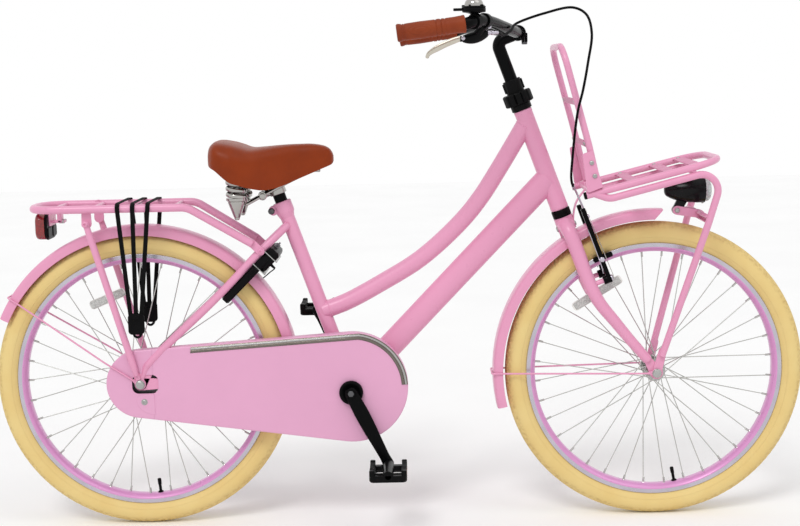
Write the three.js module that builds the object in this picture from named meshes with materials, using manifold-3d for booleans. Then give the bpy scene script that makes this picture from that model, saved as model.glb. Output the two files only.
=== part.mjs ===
// Dutch city bike with 24 inch wheels, a front carrier with a backrest, a rear rack and a chain case.
// Millimetres. The origin is on the ground midway between the axles: +X forward, +Y to the left, +Z up.
// The right side, with the chain case, is the side at negative Y.
import * as THREE from "three";
import { mergeVertices } from "three/addons/utils/BufferGeometryUtils.js";
import Module from "manifold-3d";

const wasm = await Module();
wasm.setup();

// Clearances and overruns
const gap = 0.3;
const overrun = 6;
const weldDistance = 0.0001;

// Wheels
const wheelbase = 1033.4;
const tyreRadius = 300.5;
const tyreWidth = 47;
const tyreWall = 3.5;
const beadThickness = 3.6;
const rimRadius = 258;
const rimWidth = 32;
const rimDepth = 18;
const rimWall = 1.5;
const rimFlangeHeight = 8.3;
const rimNoseWidth = 14;
const valveLength = 30;
const valveRadius = 3.2;
const spokeRadius = 1;
const axleRadius = 4.75;

// Front hub and axle
const frontFlangeRadius = 21;
const frontFlangeSpread = 29;
const frontBarrelRadius = 11;
const frontHubHalf = 40;
const flangeThickness = 4.4;

// Rear hub with a back-pedal brake
const rearFlangeRadius = 34;
const rearFlangeSpread = 28;
const rearBarrelRadius = 25;
const rearHubRight = 39;
const rearHubLeft = 42;
const rearHubNeckRadius = 17;

// Axle nuts and cones
const nutRadius = 9.2;
const nutThickness = 6;
const coneRadius = 8;

// Head tube and steering axis
const headLeanDegrees = 20;
const forkOffset = 62.1;
const axleToHeadTube = 372.2;
const headTubeLength = 212.8;
const headTubeRadius = 18;
const headTubeWall = 1.8;
const steererRadius = 14.3;

// Main frame tubes
const seatLeanDegrees = 19.2;
const bracketAhead = 421.7;
const bracketDrop = 24.5;
const bracketShellRadius = 20;
const bracketShellHalf = 34;
const bracketShellWall = 2.8;
const seatTubeRadius = 14.3;
const seatTubeLength = 403;
const topTubeRadius = 17.5;
const topTubeHeadAlong = 560.6;
const topTubeSeatRise = 132.5;
const downTubeHeight = 50;
const downTubeBreadth = 40;
const downTubeHeadAlong = 438.2;

// Rear triangle
const dropoutInnerRear = 54;
const dropoutThickness = 5;
const dropoutPlateRadius = 13;
const dropoutReach = 78;
const chainStayRadius = 9;
const chainStayTipRadius = 4.6;
const tyreClearance = 3;
const seatStayRadius = 8;
const seatStayTopAhead = 300;
const seatStayTopRise = 309;
const seatStayBridgeRadius = 5;

// Seat post and clamp
const postRadius = 12.7;
const postInsertion = 120;
const postRise = 34;
const clampHeight = 22;
const clampWall = 4.4;
const clampBoltRadius = 4;
const clampBoltLength = 26;
const clampEarReach = 12;

// Saddle
const saddleLength = 246;
const saddleWidth = 192;
const saddleHeight = 98;
const saddleOverhang = 127.8;
const saddleStand = 93.3;
const saddleRailRadius = 3.5;
const saddleRailSpread = 26;
const saddleRailShare = 0.66;
const springCoilRadius = 19.4;
const springWireRadius = 2.6;
const springCurls = 4;
const springPitch = 11.9;
const springSide = 50;
const springRearShare = 0.222;
const springTopShare = 0.66;
const springConeTopRadius = 16.5;
const springConeTipRadius = 5.5;
const springConeHeight = 42;
const cradleBarrelRadius = 9;
const cradleBarrelHalf = 27;

// Chain drive
const chainLine = 45;
const chainHalfWidth = 3.5;
const chainThickness = 5.6;
const chainringTeeth = 36;
const sprocketTeeth = 18;
const chainPitch = 12.7;
const toothDepth = 5;
const discThickness = 3;

// Chain case
const caseFrontRadius = 111;
const caseRearRadius = 69;
const caseFrontAhead = 3;
const caseFrontRise = 9;
const caseWall = 1.5;
const caseInnerSide = 36.5;
const caseWindowRear = 17;
const caseWindowFront = 36;
const caseWindowHalf = 19;
const caseHubHoleRadius = 44;
const caseCrankHoleRadius = 17;
const caseSpindleSleeve = 13;
const caseSeamAhead = 25;
const caseCutClearance = 0.6;
const trimWidth = 13;
const trimThickness = 1;
const trimStartAhead = 120;

// Cranks and pedals
const crankLength = 163;
const crankAngleDegrees = 63.8;
const crankCapRadius = 24;
const crankCapDepth = 9;
const crankArmWidth = 29;
const crankArmThickness = 12;
const crankFlare = 5;
const crankInnerSide = 62;
const cartridgeLip = 2;
const spindleRadius = 8.5;
const pedalSpindleRadius = 6;
const pedalLength = 74;
const pedalWidth = 88;
const pedalHeight = 24;
const pedalRail = 11;
const pedalBarrelRadius = 11;

// Rear mudguard
const rearGuardRadius = 317;
const rearGuardHalf = 28;
const rearGuardDepth = 21;
const guardThickness = 1.2;
const guardWireRadius = 1.8;
const eyeThickness = 1.8;
const rearGuardFromDegrees = 3;
const rearGuardToDegrees = 155;
const rearStayDegrees = 146.5;
const rearStayClear = 84;

// Front mudguard
const frontGuardRadius = 326;
const frontGuardHalf = 27.5;
const frontGuardDepth = 20;
const frontGuardFromDegrees = 88.6;
const frontGuardToDegrees = 193;
const frontStayDegrees = 180;
const frontStayClear = 30;

// Rear rack
const rackTubeRadius = 8;
const rackHeight = 354;
const rackHalfWidth = 65;
const rackTipBack = 206;
const rackBendAhead = 108;
const rackFrontAhead = 232;
const rackFrontRise = 278;
const rackFrontHalf = 52;
const rackCornerRadius = 52;
const rackBendRadius = 45;
const rackBarRadius = 4.5;
const strutPlateReach = 21;
const rackBarShares = [0.153, 0.398, 0.653, 0.911];
const strutRadius = 7;
const strutTopBack = 92.3;
const strutTopRise = 325.5;
const strutSide = 68.4;
const lugThickness = 3;
const lugWidth = 20;
const boltHeadRadius = 4.5;
const boltHeadHeight = 3;

// Tail lamp
const tailLampBack = 176;
const tailLampLength = 26;
const tailLensLength = 20;
const tailLampHeight = 54;
const tailLampHalf = 40;
const tailLampRise = 318;

// Luggage straps
const strapWidth = 9;
const strapThickness = 2;
const strapLift = 1.6;
const strapSpread = 30;
const strapMiddleAhead = 2;
const strapFootAhead = 0;
const strapFootRise = 122;
const strapFootSpread = 9;
const hookHeight = 48;
const hookWidth = 33;
const hookThickness = 9;

// Ring lock
const lockLength = 145;
const lockStart = 20;
const lockTopDepth = 26;
const lockLowDepth = 17;
const lockHalf = 50;
const lockSlotHalf = 31;
const lockSlotLength = 84;
const lockKnobLength = 22;
const lockKnobDepth = 9;
const lockKnobHeight = 12;
const lockCordRadius = 1.2;
const lockBootRadius = 2.8;
const lockBootLength = 12;
const lockKeyRadius = 5;
const lockKeyLength = 9;

// Fork
const dropoutInnerFront = 46;
const forkPlateThickness = 4;
const bladeTopRadius = 14.5;
const bladeTipRadius = 9.6;
const bladeSide = 44;
const crownAlong = 348;
const crownFloor = 328;
const bladeEndAlong = 31;
const raceRadius = 19;
const lowerRingRadius = 19;
const crownTop = 356;
const crownHalfDepth = 15;
const crownHalf = 30;
const steererTop = 620;
const brakePostAlong = 212;
const brakePostRadius = 5;
const brakePostAhead = 50;
const crownBoltAlong = 335;

// Head locknut, collar, stem and bar
const cupHeight = 12;
const cupRadius = 20.5;
const knurlHeight = 24;
const knurlRadius = 29;
const knurlLobes = 12;
const knurlGrooveDepth = 2.6;
const collarHeight = 27;
const collarRadius = 18;
const quillRadius = 12.7;
const quillBottomAlong = 500;
const stemTopAlong = 729.5;
const stemReach = 44.5;
const stemClampRadius = 15.5;
const stemClampHalf = 19;
const stemBendRadius = 18;
const barRadius = 11.1;
const barHalfWidth = 275;
const barSweep = 232;
const barRise = 19;
const gripRadius = 15.5;
const gripCapThickness = 4;
const gripRingRise = 1.2;
const gripStart = 2;
const gripRingShares = [0];

// Brake lever
const leverBracketDrop = 30.5;
const leverBracketLength = 52;
const leverBracketWidth = 16;
const leverPivotRadius = 3;
const leverReach = 66;
const leverDrop = 31;
const leverWidth = 12;
const leverThickness = 5;
const clampBandThickness = 3;
const clampBandWidth = 12;

// Bell
const bellBaseRadius = 21.5;
const bellBaseHeight = 11;
const bellDomeRadius = 17.5;
const bellDomeHeight = 15;
const bellStalkRadius = 7;
const bellStalkHeight = 6;
const bellTabLength = 18;
const bellTabWidth = 8;
const bellTabHeight = 5;
const bellSides = 10;

// Front carrier
const carrierTubeRadius = 7;
const carrierHalfWidth = 110;
const carrierRearAlong = 391.4;
const carrierRearAhead = 49.5;
const carrierFrontAlong = 361.4;
const carrierFrontAhead = 318;
const carrierCornerRadius = 60;
const carrierSlatWidth = 26;
const carrierSlatThickness = 3;
const carrierRearBarAhead = 66;
const carrierRearBarRadius = 6;
const carrierSlatShares = [0.365, 0.63, 0.82];
// Height of a slat's top above the rail's middle, as a share of the rail's radius
const carrierSlatTopShare = 0.55;
const legTopAhead = 66;
const legRailRise = 24;
const legKneeShare = 0.3;
const legBendAlong = 345;
const legBendAhead = 320;
const legBendRadius = 34;
const legFootAlong = 31;
const legFootAhead = 84;
const legFootSide = 57.5;
const legPlateThickness = 3;
const legPlateWidth = 16;
const legStrapWidth = 12;
const legStrapThickness = 3;

// Backrest of the front carrier
const hoopTubeRadius = 6.5;
const hoopTopAlong = 676;
const hoopTopAhead = 107;
const hoopFootAhead = 78;
const hoopCornerRadius = 42;
const hoopPlateLow = 396;
const hoopPlateHigh = 470;
const hoopPlateWidth = 25;
const hoopPlateThickness = 3;
const hoopSlatWidth = 18;
const hoopKneeAlong = 480;
const hoopKneeAhead = 89;
const hoopKneeRadius = 300;
const hoopSlatShares = [
  [0.03, 0.05],
  [0.45, 0.6],
];

// Headlamp and its bracket
const lampRadius = 26;
const lampTailRadius = 11;
const lampLength = 80;
const lampLensLength = 14;
const lampLensRadius = 23.5;
const lampCentreAlong = 318;
const lampCentreAhead = 245;
const lampPivotAlong = 285.5;
const lampPivotAhead = 217.3;
const lampEarHalf = 5;
const lampEarRadius = 9;
const lampBracketAlong = 262;
const lampBracketRadius = 5;
const lampTongueThickness = 4;

// Brake arms
const armLength = 144;
const armWidth = 12;
const armThickness = 9;
const armAhead = 40;
const armTopSide = 38.6;
const armBossRadius = 8.5;
const armBossDepth = 8;
const padAlong = 253.4;
const padAhead = 45;
const padLength = 40;
const padHeight = 10;
const padThickness = 9;
const padClearance = 2.2;

// Cables
const cableRadius = 2.5;

// Reflectors
const reflectorHeight = 18;
const reflectorThickness = 4;
const frontReflectorStand = 1.58;
const rearReflectorStand = 1.1;
const frontReflectorShares = [
  [-0.627, 0.498],
  [-0.251, 0.727],
];
const rearReflectorShares = [
  [-0.4, 0.595],
  [-0.125, 0.707],
];

// Valves, measured forward from straight down
const frontValveDegrees = 10.4;
const rearValveDegrees = 4.9;

// Reaction arm of the back-pedal brake
const brakeArmLength = 150;
const brakeArmWidth = 18;
const brakeArmThickness = 3;

// Shares of the sizes above
const topTubeShares = [
  [0, 0],
  [0.176, 0.053],
  [0.304, 0.087],
  [0.415, 0.103],
  [0.609, 0.102],
  [0.776, 0.07],
  [0.916, 0.034],
  [1, 0],
];
const barShares = [
  [0, 0, 0],
  [0.218, 0.057, 0.159],
  [0.473, 0.162, 0.551],
  [0.709, 0.276, 0.932],
  [0.858, 0.359, 1.004],
  [0.945, 0.426, 0.871],
  [0.985, 0.475, 0.699],
];
const chainStayShares = [
  [0.82, 0.75, 0.88],
  [0.66, 0.55, 1.04],
  [0.42, 0.3, 1.2],
];
const bladeShares = [
  [0.99, -0.06, 0.45],
  [0.955, -0.02, 0.82],
  [0.915, 0, 0.97],
  [0.82, 0, 1],
  [0.64, 0, 1.01],
  [0.5, 0.085, 1.04],
  [0.366, 0.33, 1.07],
  [0.223, 0.6, 1.09],
];
const guardSectionShares = [
  [1, 1],
  [1, 0.24],
  [0.78, 0.06],
  [0, 0],
];
const saddleShares = [
  [0, 0.28, 0.42, 0.5, 1],
  [0.026, 0.071, 0.5, 0.78, 0.9],
  [0.071, 0, 0.56, 0.92, 0.75],
  [0.177, 0.04, 0.776, 1, 0.6],
  [0.258, 0.092, 0.857, 0.97, 0.55],
  [0.339, 0.163, 0.93, 0.88, 0.5],
  [0.437, 0.148, 0.995, 0.7, 0.48],
  [0.535, 0.133, 0.97, 0.52, 0.5],
  [0.636, 0.117, 0.89, 0.38, 0.55],
  [0.722, 0.112, 0.8, 0.3, 0.6],
  [0.827, 0.112, 0.694, 0.26, 0.7],
  [0.92, 0.153, 0.6, 0.22, 0.85],
  [0.978, 0.255, 0.55, 0.16, 1],
  [1, 0.347, 0.49, 0.08, 1],
];
const cableShares = [
  [1.979, 0.019, 0.6],
  [1.987, 0.07, 0.484],
  [2.008, 0.106, 0.382],
  [2.005, 0.275, 0.255],
  [1.979, 0.423, 0.218],
  [1.923, 0.471, 0.255],
  [1.823, 0.457, 0.345],
  [1.693, 0.381, 0.429],
  [1.571, 0.305, 0.465],
  [1.475, 0.24, 0.465],
  [1.26, 0.14, 0.364],
  [1.135, 0.1, 0.218],
  [1.055, 0.11, 0.09],
  [0.968, 0.117, 0.055],
];
const saddleSectionShares = [
  [0, 0],
  [0.45, 0.02],
  [0.74, 0.1],
  [0.93, 0.29],
  [1, 0.6],
  [0.96, 1],
];

// Finishes
const finishes = {
  frame_paint: { color: 0xe8a6c6, roughness: 0.42, metalness: 0.1 },
  rim_paint: { color: 0xd68cc4, roughness: 0.35, metalness: 0.3 },
  tyre_cream: { color: 0xe0c480, roughness: 0.85, metalness: 0 },
  saddle_brown: { color: 0x96421a, roughness: 0.5, metalness: 0 },
  grip_brown: { color: 0xaa543a, roughness: 0.6, metalness: 0 },
  black_metal: { color: 0x141416, roughness: 0.35, metalness: 0.2 },
  black_plastic: { color: 0x101012, roughness: 0.5, metalness: 0 },
  strap_black: { color: 0x0c0c0e, roughness: 0.9, metalness: 0 },
  chrome: { color: 0xc8c8c4, roughness: 0.15, metalness: 1 },
  steel: { color: 0xa8a8a6, roughness: 0.35, metalness: 0.9 },
  red_lens: { color: 0x8c1418, roughness: 0.2, metalness: 0 },
  clear_lens: { color: 0xdcdcd8, roughness: 0.1, metalness: 0 },
};

// Places worked out from the sizes
const axleHeight = tyreRadius;
const frontAxleX = wheelbase / 2;
const rearAxleX = -wheelbase / 2;
const headLean = THREE.MathUtils.degToRad(headLeanDegrees);
const seatLean = THREE.MathUtils.degToRad(seatLeanDegrees);
const alongAxis = new THREE.Vector3(-Math.sin(headLean), 0, Math.cos(headLean));
const aheadAxis = new THREE.Vector3(Math.cos(headLean), 0, Math.sin(headLean));
const sideAxis = new THREE.Vector3(0, 1, 0);
const frontAxle = new THREE.Vector3(frontAxleX, 0, axleHeight);
const steeringFoot = frontAxle.clone().addScaledVector(aheadAxis, -forkOffset);
const bracket = new THREE.Vector3(rearAxleX + bracketAhead, 0, axleHeight - bracketDrop);
const seatAxis = new THREE.Vector3(-Math.sin(seatLean), 0, Math.cos(seatLean));
const headTop = axleToHeadTube + headTubeLength;

// Where the stacks of plates on the two axles end, and where the stay eyes begin
const stackOf = (dropoutOuter, plate) => dropoutOuter + gap + plate + gap;
const rearEyeInner = stackOf(dropoutInnerRear + dropoutThickness, lugThickness);
const rearStackOuter = rearEyeInner + eyeThickness;
const frontEyeInner = stackOf(dropoutInnerFront + forkPlateThickness, legPlateThickness);
const frontStackOuter = frontEyeInner + eyeThickness;
const sprocketOuterSide = chainLine + discThickness / 2;

// A point given along and ahead of the steering axis, and to the left.
function steer(along, ahead, side = 0) {
  return steeringFoot
    .clone()
    .addScaledVector(alongAxis, along)
    .addScaledVector(aheadAxis, ahead)
    .addScaledVector(sideAxis, side);
}

// A point given forward of and above the rear axle, and to the left.
function rear(ahead, rise, side = 0) {
  return new THREE.Vector3(rearAxleX + ahead, side, axleHeight + rise);
}

// A point up the seat tube from the bottom bracket.
function upSeat(distance, ahead = 0, side = 0) {
  const across = new THREE.Vector3(Math.cos(seatLean), 0, Math.sin(seatLean));
  return bracket
    .clone()
    .addScaledVector(seatAxis, distance)
    .addScaledVector(across, ahead)
    .addScaledVector(sideAxis, side);
}

// Solids from geometries
function toSolid(geometry) {
  const bare = new THREE.BufferGeometry();
  bare.setAttribute("position", geometry.getAttribute("position"));
  if (geometry.index) bare.setIndex(geometry.index);
  const merged = mergeVertices(bare, weldDistance);
  const corners = merged.index.array;
  const faces = [];
  for (let i = 0; i < corners.length; i += 3) {
    const [a, b, c] = [corners[i], corners[i + 1], corners[i + 2]];
    if (a !== b && b !== c && c !== a) faces.push([a, b, c]);
  }
  const build = (turn) =>
    new wasm.Manifold(
      new wasm.Mesh({
        numProp: 3,
        vertProperties: new Float32Array(merged.getAttribute("position").array),
        triVerts: new Uint32Array(faces.flatMap(([a, b, c]) => (turn ? [a, c, b] : [a, b, c]))),
      }),
    );
  const made = build(false);
  return made.volume() < 0 ? build(true) : made;
}

function join(...solids) {
  return solids.flat().reduce((whole, next) => whole.add(next));
}

function cut(base, ...tools) {
  return tools.flat().reduce((left, tool) => left.subtract(tool), base);
}

function moved(solid, matrix) {
  return solid.transform(Array.from(matrix.elements));
}

// The same solid on the other side of the bike.
function mirrored(solid) {
  return solid.mirror([0, 1, 0]);
}

// Round bar between two points, with another radius at its end if one is given.
function rod(from, to, radius, sides = 12, endRadius = radius) {
  const axis = new THREE.Vector3().subVectors(to, from);
  const geometry = new THREE.CylinderGeometry(endRadius, radius, axis.length(), sides);
  const turn = new THREE.Quaternion().setFromUnitVectors(sideAxis, axis.clone().normalize());
  geometry.applyQuaternion(turn);
  const middle = new THREE.Vector3().addVectors(from, to).multiplyScalar(0.5);
  geometry.translate(middle.x, middle.y, middle.z);
  return toSolid(geometry);
}

// A line through stations, which a tube follows with one ring at each station.
class Route extends THREE.Curve {
  constructor(stations) {
    super();
    this.stations = stations;
  }
  getPoint(share, target = new THREE.Vector3()) {
    const last = this.stations.length - 1;
    const place = Math.min(Math.max(share, 0), 1) * last;
    const index = Math.min(Math.floor(place), last - 1);
    return target.lerpVectors(this.stations[index], this.stations[index + 1], place - index);
  }
  getPointAt(share, target) {
    return this.getPoint(share, target);
  }
  getTangentAt(share, target) {
    return this.getTangent(share, target);
  }
}

// Stations along straight runs with their corners rounded.
function rounded(corners, radius, steps = 4) {
  const stations = [corners[0]];
  for (let i = 1; i < corners.length - 1; i += 1) {
    const back = new THREE.Vector3().subVectors(corners[i - 1], corners[i]).normalize();
    const on = new THREE.Vector3().subVectors(corners[i + 1], corners[i]).normalize();
    const half = back.angleTo(on) / 2;
    const bend = Array.isArray(radius) ? radius[i - 1] : radius;
    const reach = bend / Math.tan(half);
    const middle = back.clone().add(on).normalize();
    const centre = corners[i].clone().addScaledVector(middle, bend / Math.sin(half));
    const start = corners[i].clone().addScaledVector(back, reach).sub(centre);
    const turnAxis = new THREE.Vector3().crossVectors(back, on).normalize();
    for (let k = 0; k <= steps; k += 1) {
      const angle = -((Math.PI - 2 * half) * k) / steps;
      stations.push(start.clone().applyAxisAngle(turnAxis, angle).add(centre));
    }
  }
  stations.push(corners[corners.length - 1]);
  return stations;
}

// Evenly spaced stations on a smooth curve through points.
function smooth(points, steps) {
  return new THREE.CatmullRomCurve3(points, false, "centripetal").getSpacedPoints(steps);
}

function polygon(radius, sides, squash = 1) {
  const shape = new THREE.Shape();
  for (let i = 0; i < sides; i += 1) {
    const angle = ((i + 0.5) * 2 * Math.PI) / sides;
    const x = radius * Math.cos(angle);
    const y = radius * squash * Math.sin(angle);
    if (i) shape.lineTo(x, y);
    else shape.moveTo(x, y);
  }
  return shape;
}

// Section carried along stations. Its x lies across the bike and its y in the plane of the route.
function swept(shape, stations) {
  const extrudePath = new Route(stations);
  const steps = stations.length - 1;
  return toSolid(new THREE.ExtrudeGeometry(shape, { steps, extrudePath, bevelEnabled: false }));
}

function tube(stations, radius, sides = 10) {
  return swept(polygon(radius, sides), stations);
}

// Closed skin over rings of equal length.
function lofted(rings) {
  const count = rings[0].length;
  const corners = [];
  const add = (a, b, c) => corners.push(a, b, c);
  for (let r = 0; r < rings.length - 1; r += 1)
    for (let i = 0; i < count; i += 1) {
      const j = (i + 1) % count;
      add(rings[r][i], rings[r][j], rings[r + 1][i]);
      add(rings[r][j], rings[r + 1][j], rings[r + 1][i]);
    }
  for (const [ring, turn] of [
    [rings[0], true],
    [rings[rings.length - 1], false],
  ]) {
    const middle = ring
      .reduce((sum, point) => sum.add(point), new THREE.Vector3())
      .multiplyScalar(1 / count);
    for (let i = 0; i < count; i += 1) {
      const [a, b] = [ring[i], ring[(i + 1) % count]];
      if (turn) add(b, a, middle);
      else add(a, b, middle);
    }
  }
  return toSolid(new THREE.BufferGeometry().setFromPoints(corners));
}

// Tube whose radius changes from station to station.
function taperedTube(stations, radii, sides = 10, squash = 1) {
  const route = new Route(stations);
  const frames = route.computeFrenetFrames(stations.length - 1, false);
  const rings = stations.map((station, s) =>
    polygon(radii[s], sides, squash)
      .getPoints()
      .slice(0, sides)
      .map((point) =>
        station
          .clone()
          .addScaledVector(frames.normals[s], point.x)
          .addScaledVector(frames.binormals[s], point.y),
      ),
  );
  return lofted(rings);
}

// Solid of revolution about an axis that starts at a place. Profile points are [radius, distance].
function turned(profile, origin, direction, sides = 24) {
  const points = profile.map(([radius, distance]) => new THREE.Vector2(radius, distance));
  const geometry = new THREE.LatheGeometry(points, sides);
  geometry.applyQuaternion(
    new THREE.Quaternion().setFromUnitVectors(sideAxis, direction.clone().normalize()),
  );
  geometry.translate(origin.x, origin.y, origin.z);
  return toSolid(geometry);
}

function ring(inner, outer, low, high) {
  return [
    [inner, low],
    [outer, low],
    [outer, high],
    [inner, high],
    [inner, low],
  ];
}

// Flat plate with its outline in the plane of the bike, given as [x, z] points.
function sidePlate(outline, lowSide, highSide) {
  const shape = new THREE.Shape(outline.map(([x, z]) => new THREE.Vector2(x, z)));
  const depth = highSide - lowSide;
  const geometry = new THREE.ExtrudeGeometry(shape, { depth, bevelEnabled: false });
  geometry.rotateX(Math.PI / 2);
  geometry.translate(0, highSide, 0);
  return toSolid(geometry);
}

// Box with its faces square to three directions.
function block(centre, size, first = new THREE.Vector3(1, 0, 0), second = sideAxis) {
  const third = new THREE.Vector3().crossVectors(first, second);
  const matrix = new THREE.Matrix4().makeBasis(first, second, third).setPosition(centre);
  return moved(toSolid(new THREE.BoxGeometry(...size)), matrix);
}

function arc(x, z, radius, from, to, steps) {
  const points = [];
  for (let i = 0; i <= steps; i += 1) {
    const angle = from + ((to - from) * i) / steps;
    points.push([x + radius * Math.cos(angle), z + radius * Math.sin(angle)]);
  }
  return points;
}

// Outline round two circles and the lines that touch both.
function beltOutline(first, firstRadius, second, secondRadius, steps) {
  const span = Math.hypot(second.x - first.x, second.z - first.z);
  const heading = Math.atan2(second.z - first.z, second.x - first.x);
  const spread = Math.acos((firstRadius - secondRadius) / span);
  const full = 2 * Math.PI;
  return [
    ...arc(first.x, first.z, firstRadius, heading + spread, heading + full - spread, steps),
    ...arc(second.x, second.z, secondRadius, heading - spread, heading + spread, steps),
  ];
}

// Plate between two round ends in the plane of the bike.
function link(from, to, fromRadius, toRadius, lowSide, highSide, steps = 3) {
  return sidePlate(beltOutline(from, fromRadius, to, toRadius, steps), lowSide, highSide);
}

function flipSide(point) {
  return new THREE.Vector3(point.x, -point.y, point.z);
}

function across(place, side) {
  return new THREE.Vector3(place.x, side, place.z);
}

// Radius of a hole whose flats clear a shaft.
function boreFor(radius, sides, clearance = gap) {
  return (radius + clearance) / Math.cos(Math.PI / sides);
}

const bike = new THREE.Group();
bike.name = "dutch_city_bike";

function addPiece(name, solid, finish, group = bike) {
  const mesh = solid.getMesh();
  const geometry = new THREE.BufferGeometry();
  const places = new Float32Array(mesh.triVerts.length * 3);
  mesh.triVerts.forEach((vertex, i) => {
    for (let k = 0; k < 3; k += 1)
      places[3 * i + k] = mesh.vertProperties[vertex * mesh.numProp + k];
  });
  geometry.setAttribute("position", new THREE.BufferAttribute(places, 3));
  geometry.computeVertexNormals();
  const piece = new THREE.Mesh(geometry, new THREE.MeshStandardMaterial(finishes[finish]));
  piece.name = name;
  group.add(piece);
}

// Wheels
const wheelSides = 28;
const hubShellSides = 10;
const hubSides = 8;
const origin = new THREE.Vector3();

function tyreSolid() {
  const centre = tyreRadius - tyreWidth / 2;
  const outer = tyreWidth / 2;
  const inner = outer - tyreWall;
  const seat = rimRadius + gap;
  const outerStart = Math.acos((centre - seat) / outer);
  const bead = rimWidth / 2 - rimWall - gap;
  const beadInner = bead - beadThickness;
  const innerStart = Math.asin(beadInner / inner);
  const foot = rimRadius - rimFlangeHeight + gap;
  const wall = (radius, from, steps) =>
    arc(centre, 0, radius, Math.PI - from, -Math.PI + from, steps);
  return turned(
    [
      [foot, bead],
      ...wall(outer, outerStart, 4),
      [foot, -bead],
      [foot, -beadInner],
      ...wall(inner, innerStart, 2).reverse(),
      [foot, beadInner],
      [foot, bead],
    ],
    origin,
    sideAxis,
    wheelSides,
  );
}

function rimSolid(valveLeanDegrees) {
  const half = rimWidth / 2;
  const nose = rimNoseWidth / 2;
  const inside = rimRadius - rimDepth;
  const shoulder = rimRadius - rimFlangeHeight;
  const section = [
    [rimRadius, -half],
    [shoulder - rimWall, -half],
    [inside, -nose],
    [inside, nose],
    [shoulder - rimWall, half],
    [rimRadius, half],
    [rimRadius, half - rimWall],
    [shoulder, half - rimWall],
    [inside + 2 * rimWall, 0],
    [shoulder, rimWall - half],
    [rimRadius, rimWall - half],
    [rimRadius, -half],
  ];
  const lean = THREE.MathUtils.degToRad(valveLeanDegrees);
  const down = new THREE.Vector3(Math.sin(lean), 0, -Math.cos(lean));
  const valve = rod(
    down.clone().multiplyScalar(inside - valveLength),
    down.clone().multiplyScalar(inside + rimWall),
    valveRadius,
    8,
  );
  return join(turned(section, origin, sideAxis, wheelSides), valve);
}

// Hub shell with its laced spokes: 18 a side, crossing three times.
const spokeCount = 36;
const spokeCrossingDegrees = 60;

function hubSolid(hub, valveLeanDegrees) {
  const half = flangeThickness / 2;
  const bore = boreFor(axleRadius, hubShellSides);
  const shell = turned(
    [
      [bore, -hub.right],
      [hub.neck, -hub.right],
      [hub.neck, -hub.spread - half],
      [hub.flange, -hub.spread - half],
      [hub.flange, -hub.spread + half],
      [hub.barrel, -hub.spread + half],
      [hub.barrel, hub.spread - half],
      [hub.flange, hub.spread - half],
      [hub.flange, hub.spread + half],
      [hub.neck, hub.spread + half],
      [hub.neck, hub.left],
      [bore, hub.left],
      [bore, -hub.right],
    ],
    origin,
    sideAxis,
    hubShellSides,
  );
  const spokeEnd = (rimRadius - rimDepth) * Math.cos(Math.PI / wheelSides) - gap;
  const holeCircle = hub.flange - flangeThickness;
  const onCircle = (radius, degrees, side) => {
    const angle = THREE.MathUtils.degToRad(degrees);
    return new THREE.Vector3(radius * Math.sin(angle), side, radius * Math.cos(angle));
  };
  const spokes = [];
  for (let i = 0; i < spokeCount; i += 1) {
    const side = i % 2 ? 1 : -1;
    const leading = Math.floor(i / 2) % 2 ? 1 : -1;
    const degrees = ((i + 0.5) * 360) / spokeCount - valveLeanDegrees;
    const offset = leading * spokeRadius * 1.05;
    spokes.push(
      rod(
        onCircle(holeCircle, degrees + leading * spokeCrossingDegrees, side * (hub.spread + offset)),
        onCircle(spokeEnd, degrees, side * spokeRadius * 2.6 + side * offset),
        spokeRadius,
        3,
      ),
    );
  }
  return join(shell, spokes);
}

function buildWheel(name, axleX, hub, valveLeanDegrees, hubFinish) {
  const wheel = new THREE.Group();
  wheel.position.set(axleX, 0, axleHeight);
  addPiece(name + "_tyre", tyreSolid(), "tyre_cream", wheel);
  addPiece(name + "_rim", rimSolid(valveLeanDegrees), "rim_paint", wheel);
  addPiece(name + "_hub_and_spokes", hubSolid(hub, valveLeanDegrees), hubFinish, wheel);
  bike.add(wheel);
}

// Threaded axle with its cones and nuts. Sides are measured outwards from the middle of the wheel.
function axleSolid(centre, hubRight, hubLeft, dropoutInner, stackOuter) {
  const end = stackOuter + nutThickness;
  const shaft = rod(across(centre, -end), across(centre, end), axleRadius, hubSides);
  const parts = [shaft];
  for (const [sign, hubEnd] of [
    [-1, hubRight],
    [1, hubLeft],
  ]) {
    const coneStart = across(centre, sign * (hubEnd + gap));
    const coneEnd = across(centre, sign * (dropoutInner - gap));
    parts.push(rod(coneStart, coneEnd, coneRadius, hubSides));
    const nutStart = across(centre, sign * (stackOuter + gap));
    parts.push(rod(nutStart, across(centre, sign * end), nutRadius, 6));
  }
  return join(parts);
}

// Main frame: head tube, top tube, down tube, seat tube and bottom bracket shell in one weldment
function topTubeStations() {
  const start = steer(topTubeHeadAlong, 0);
  const seatDistance = (topTubeSeatRise + bracketDrop) / Math.cos(seatLean);
  const end = upSeat(seatDistance);
  const chord = new THREE.Vector3().subVectors(end, start);
  const below = new THREE.Vector3(-chord.z, 0, chord.x);
  const points = topTubeShares.map(([share, dropShare]) =>
    start.clone().addScaledVector(chord, share).addScaledVector(below, dropShare),
  );
  return smooth(points, 8);
}

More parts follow.
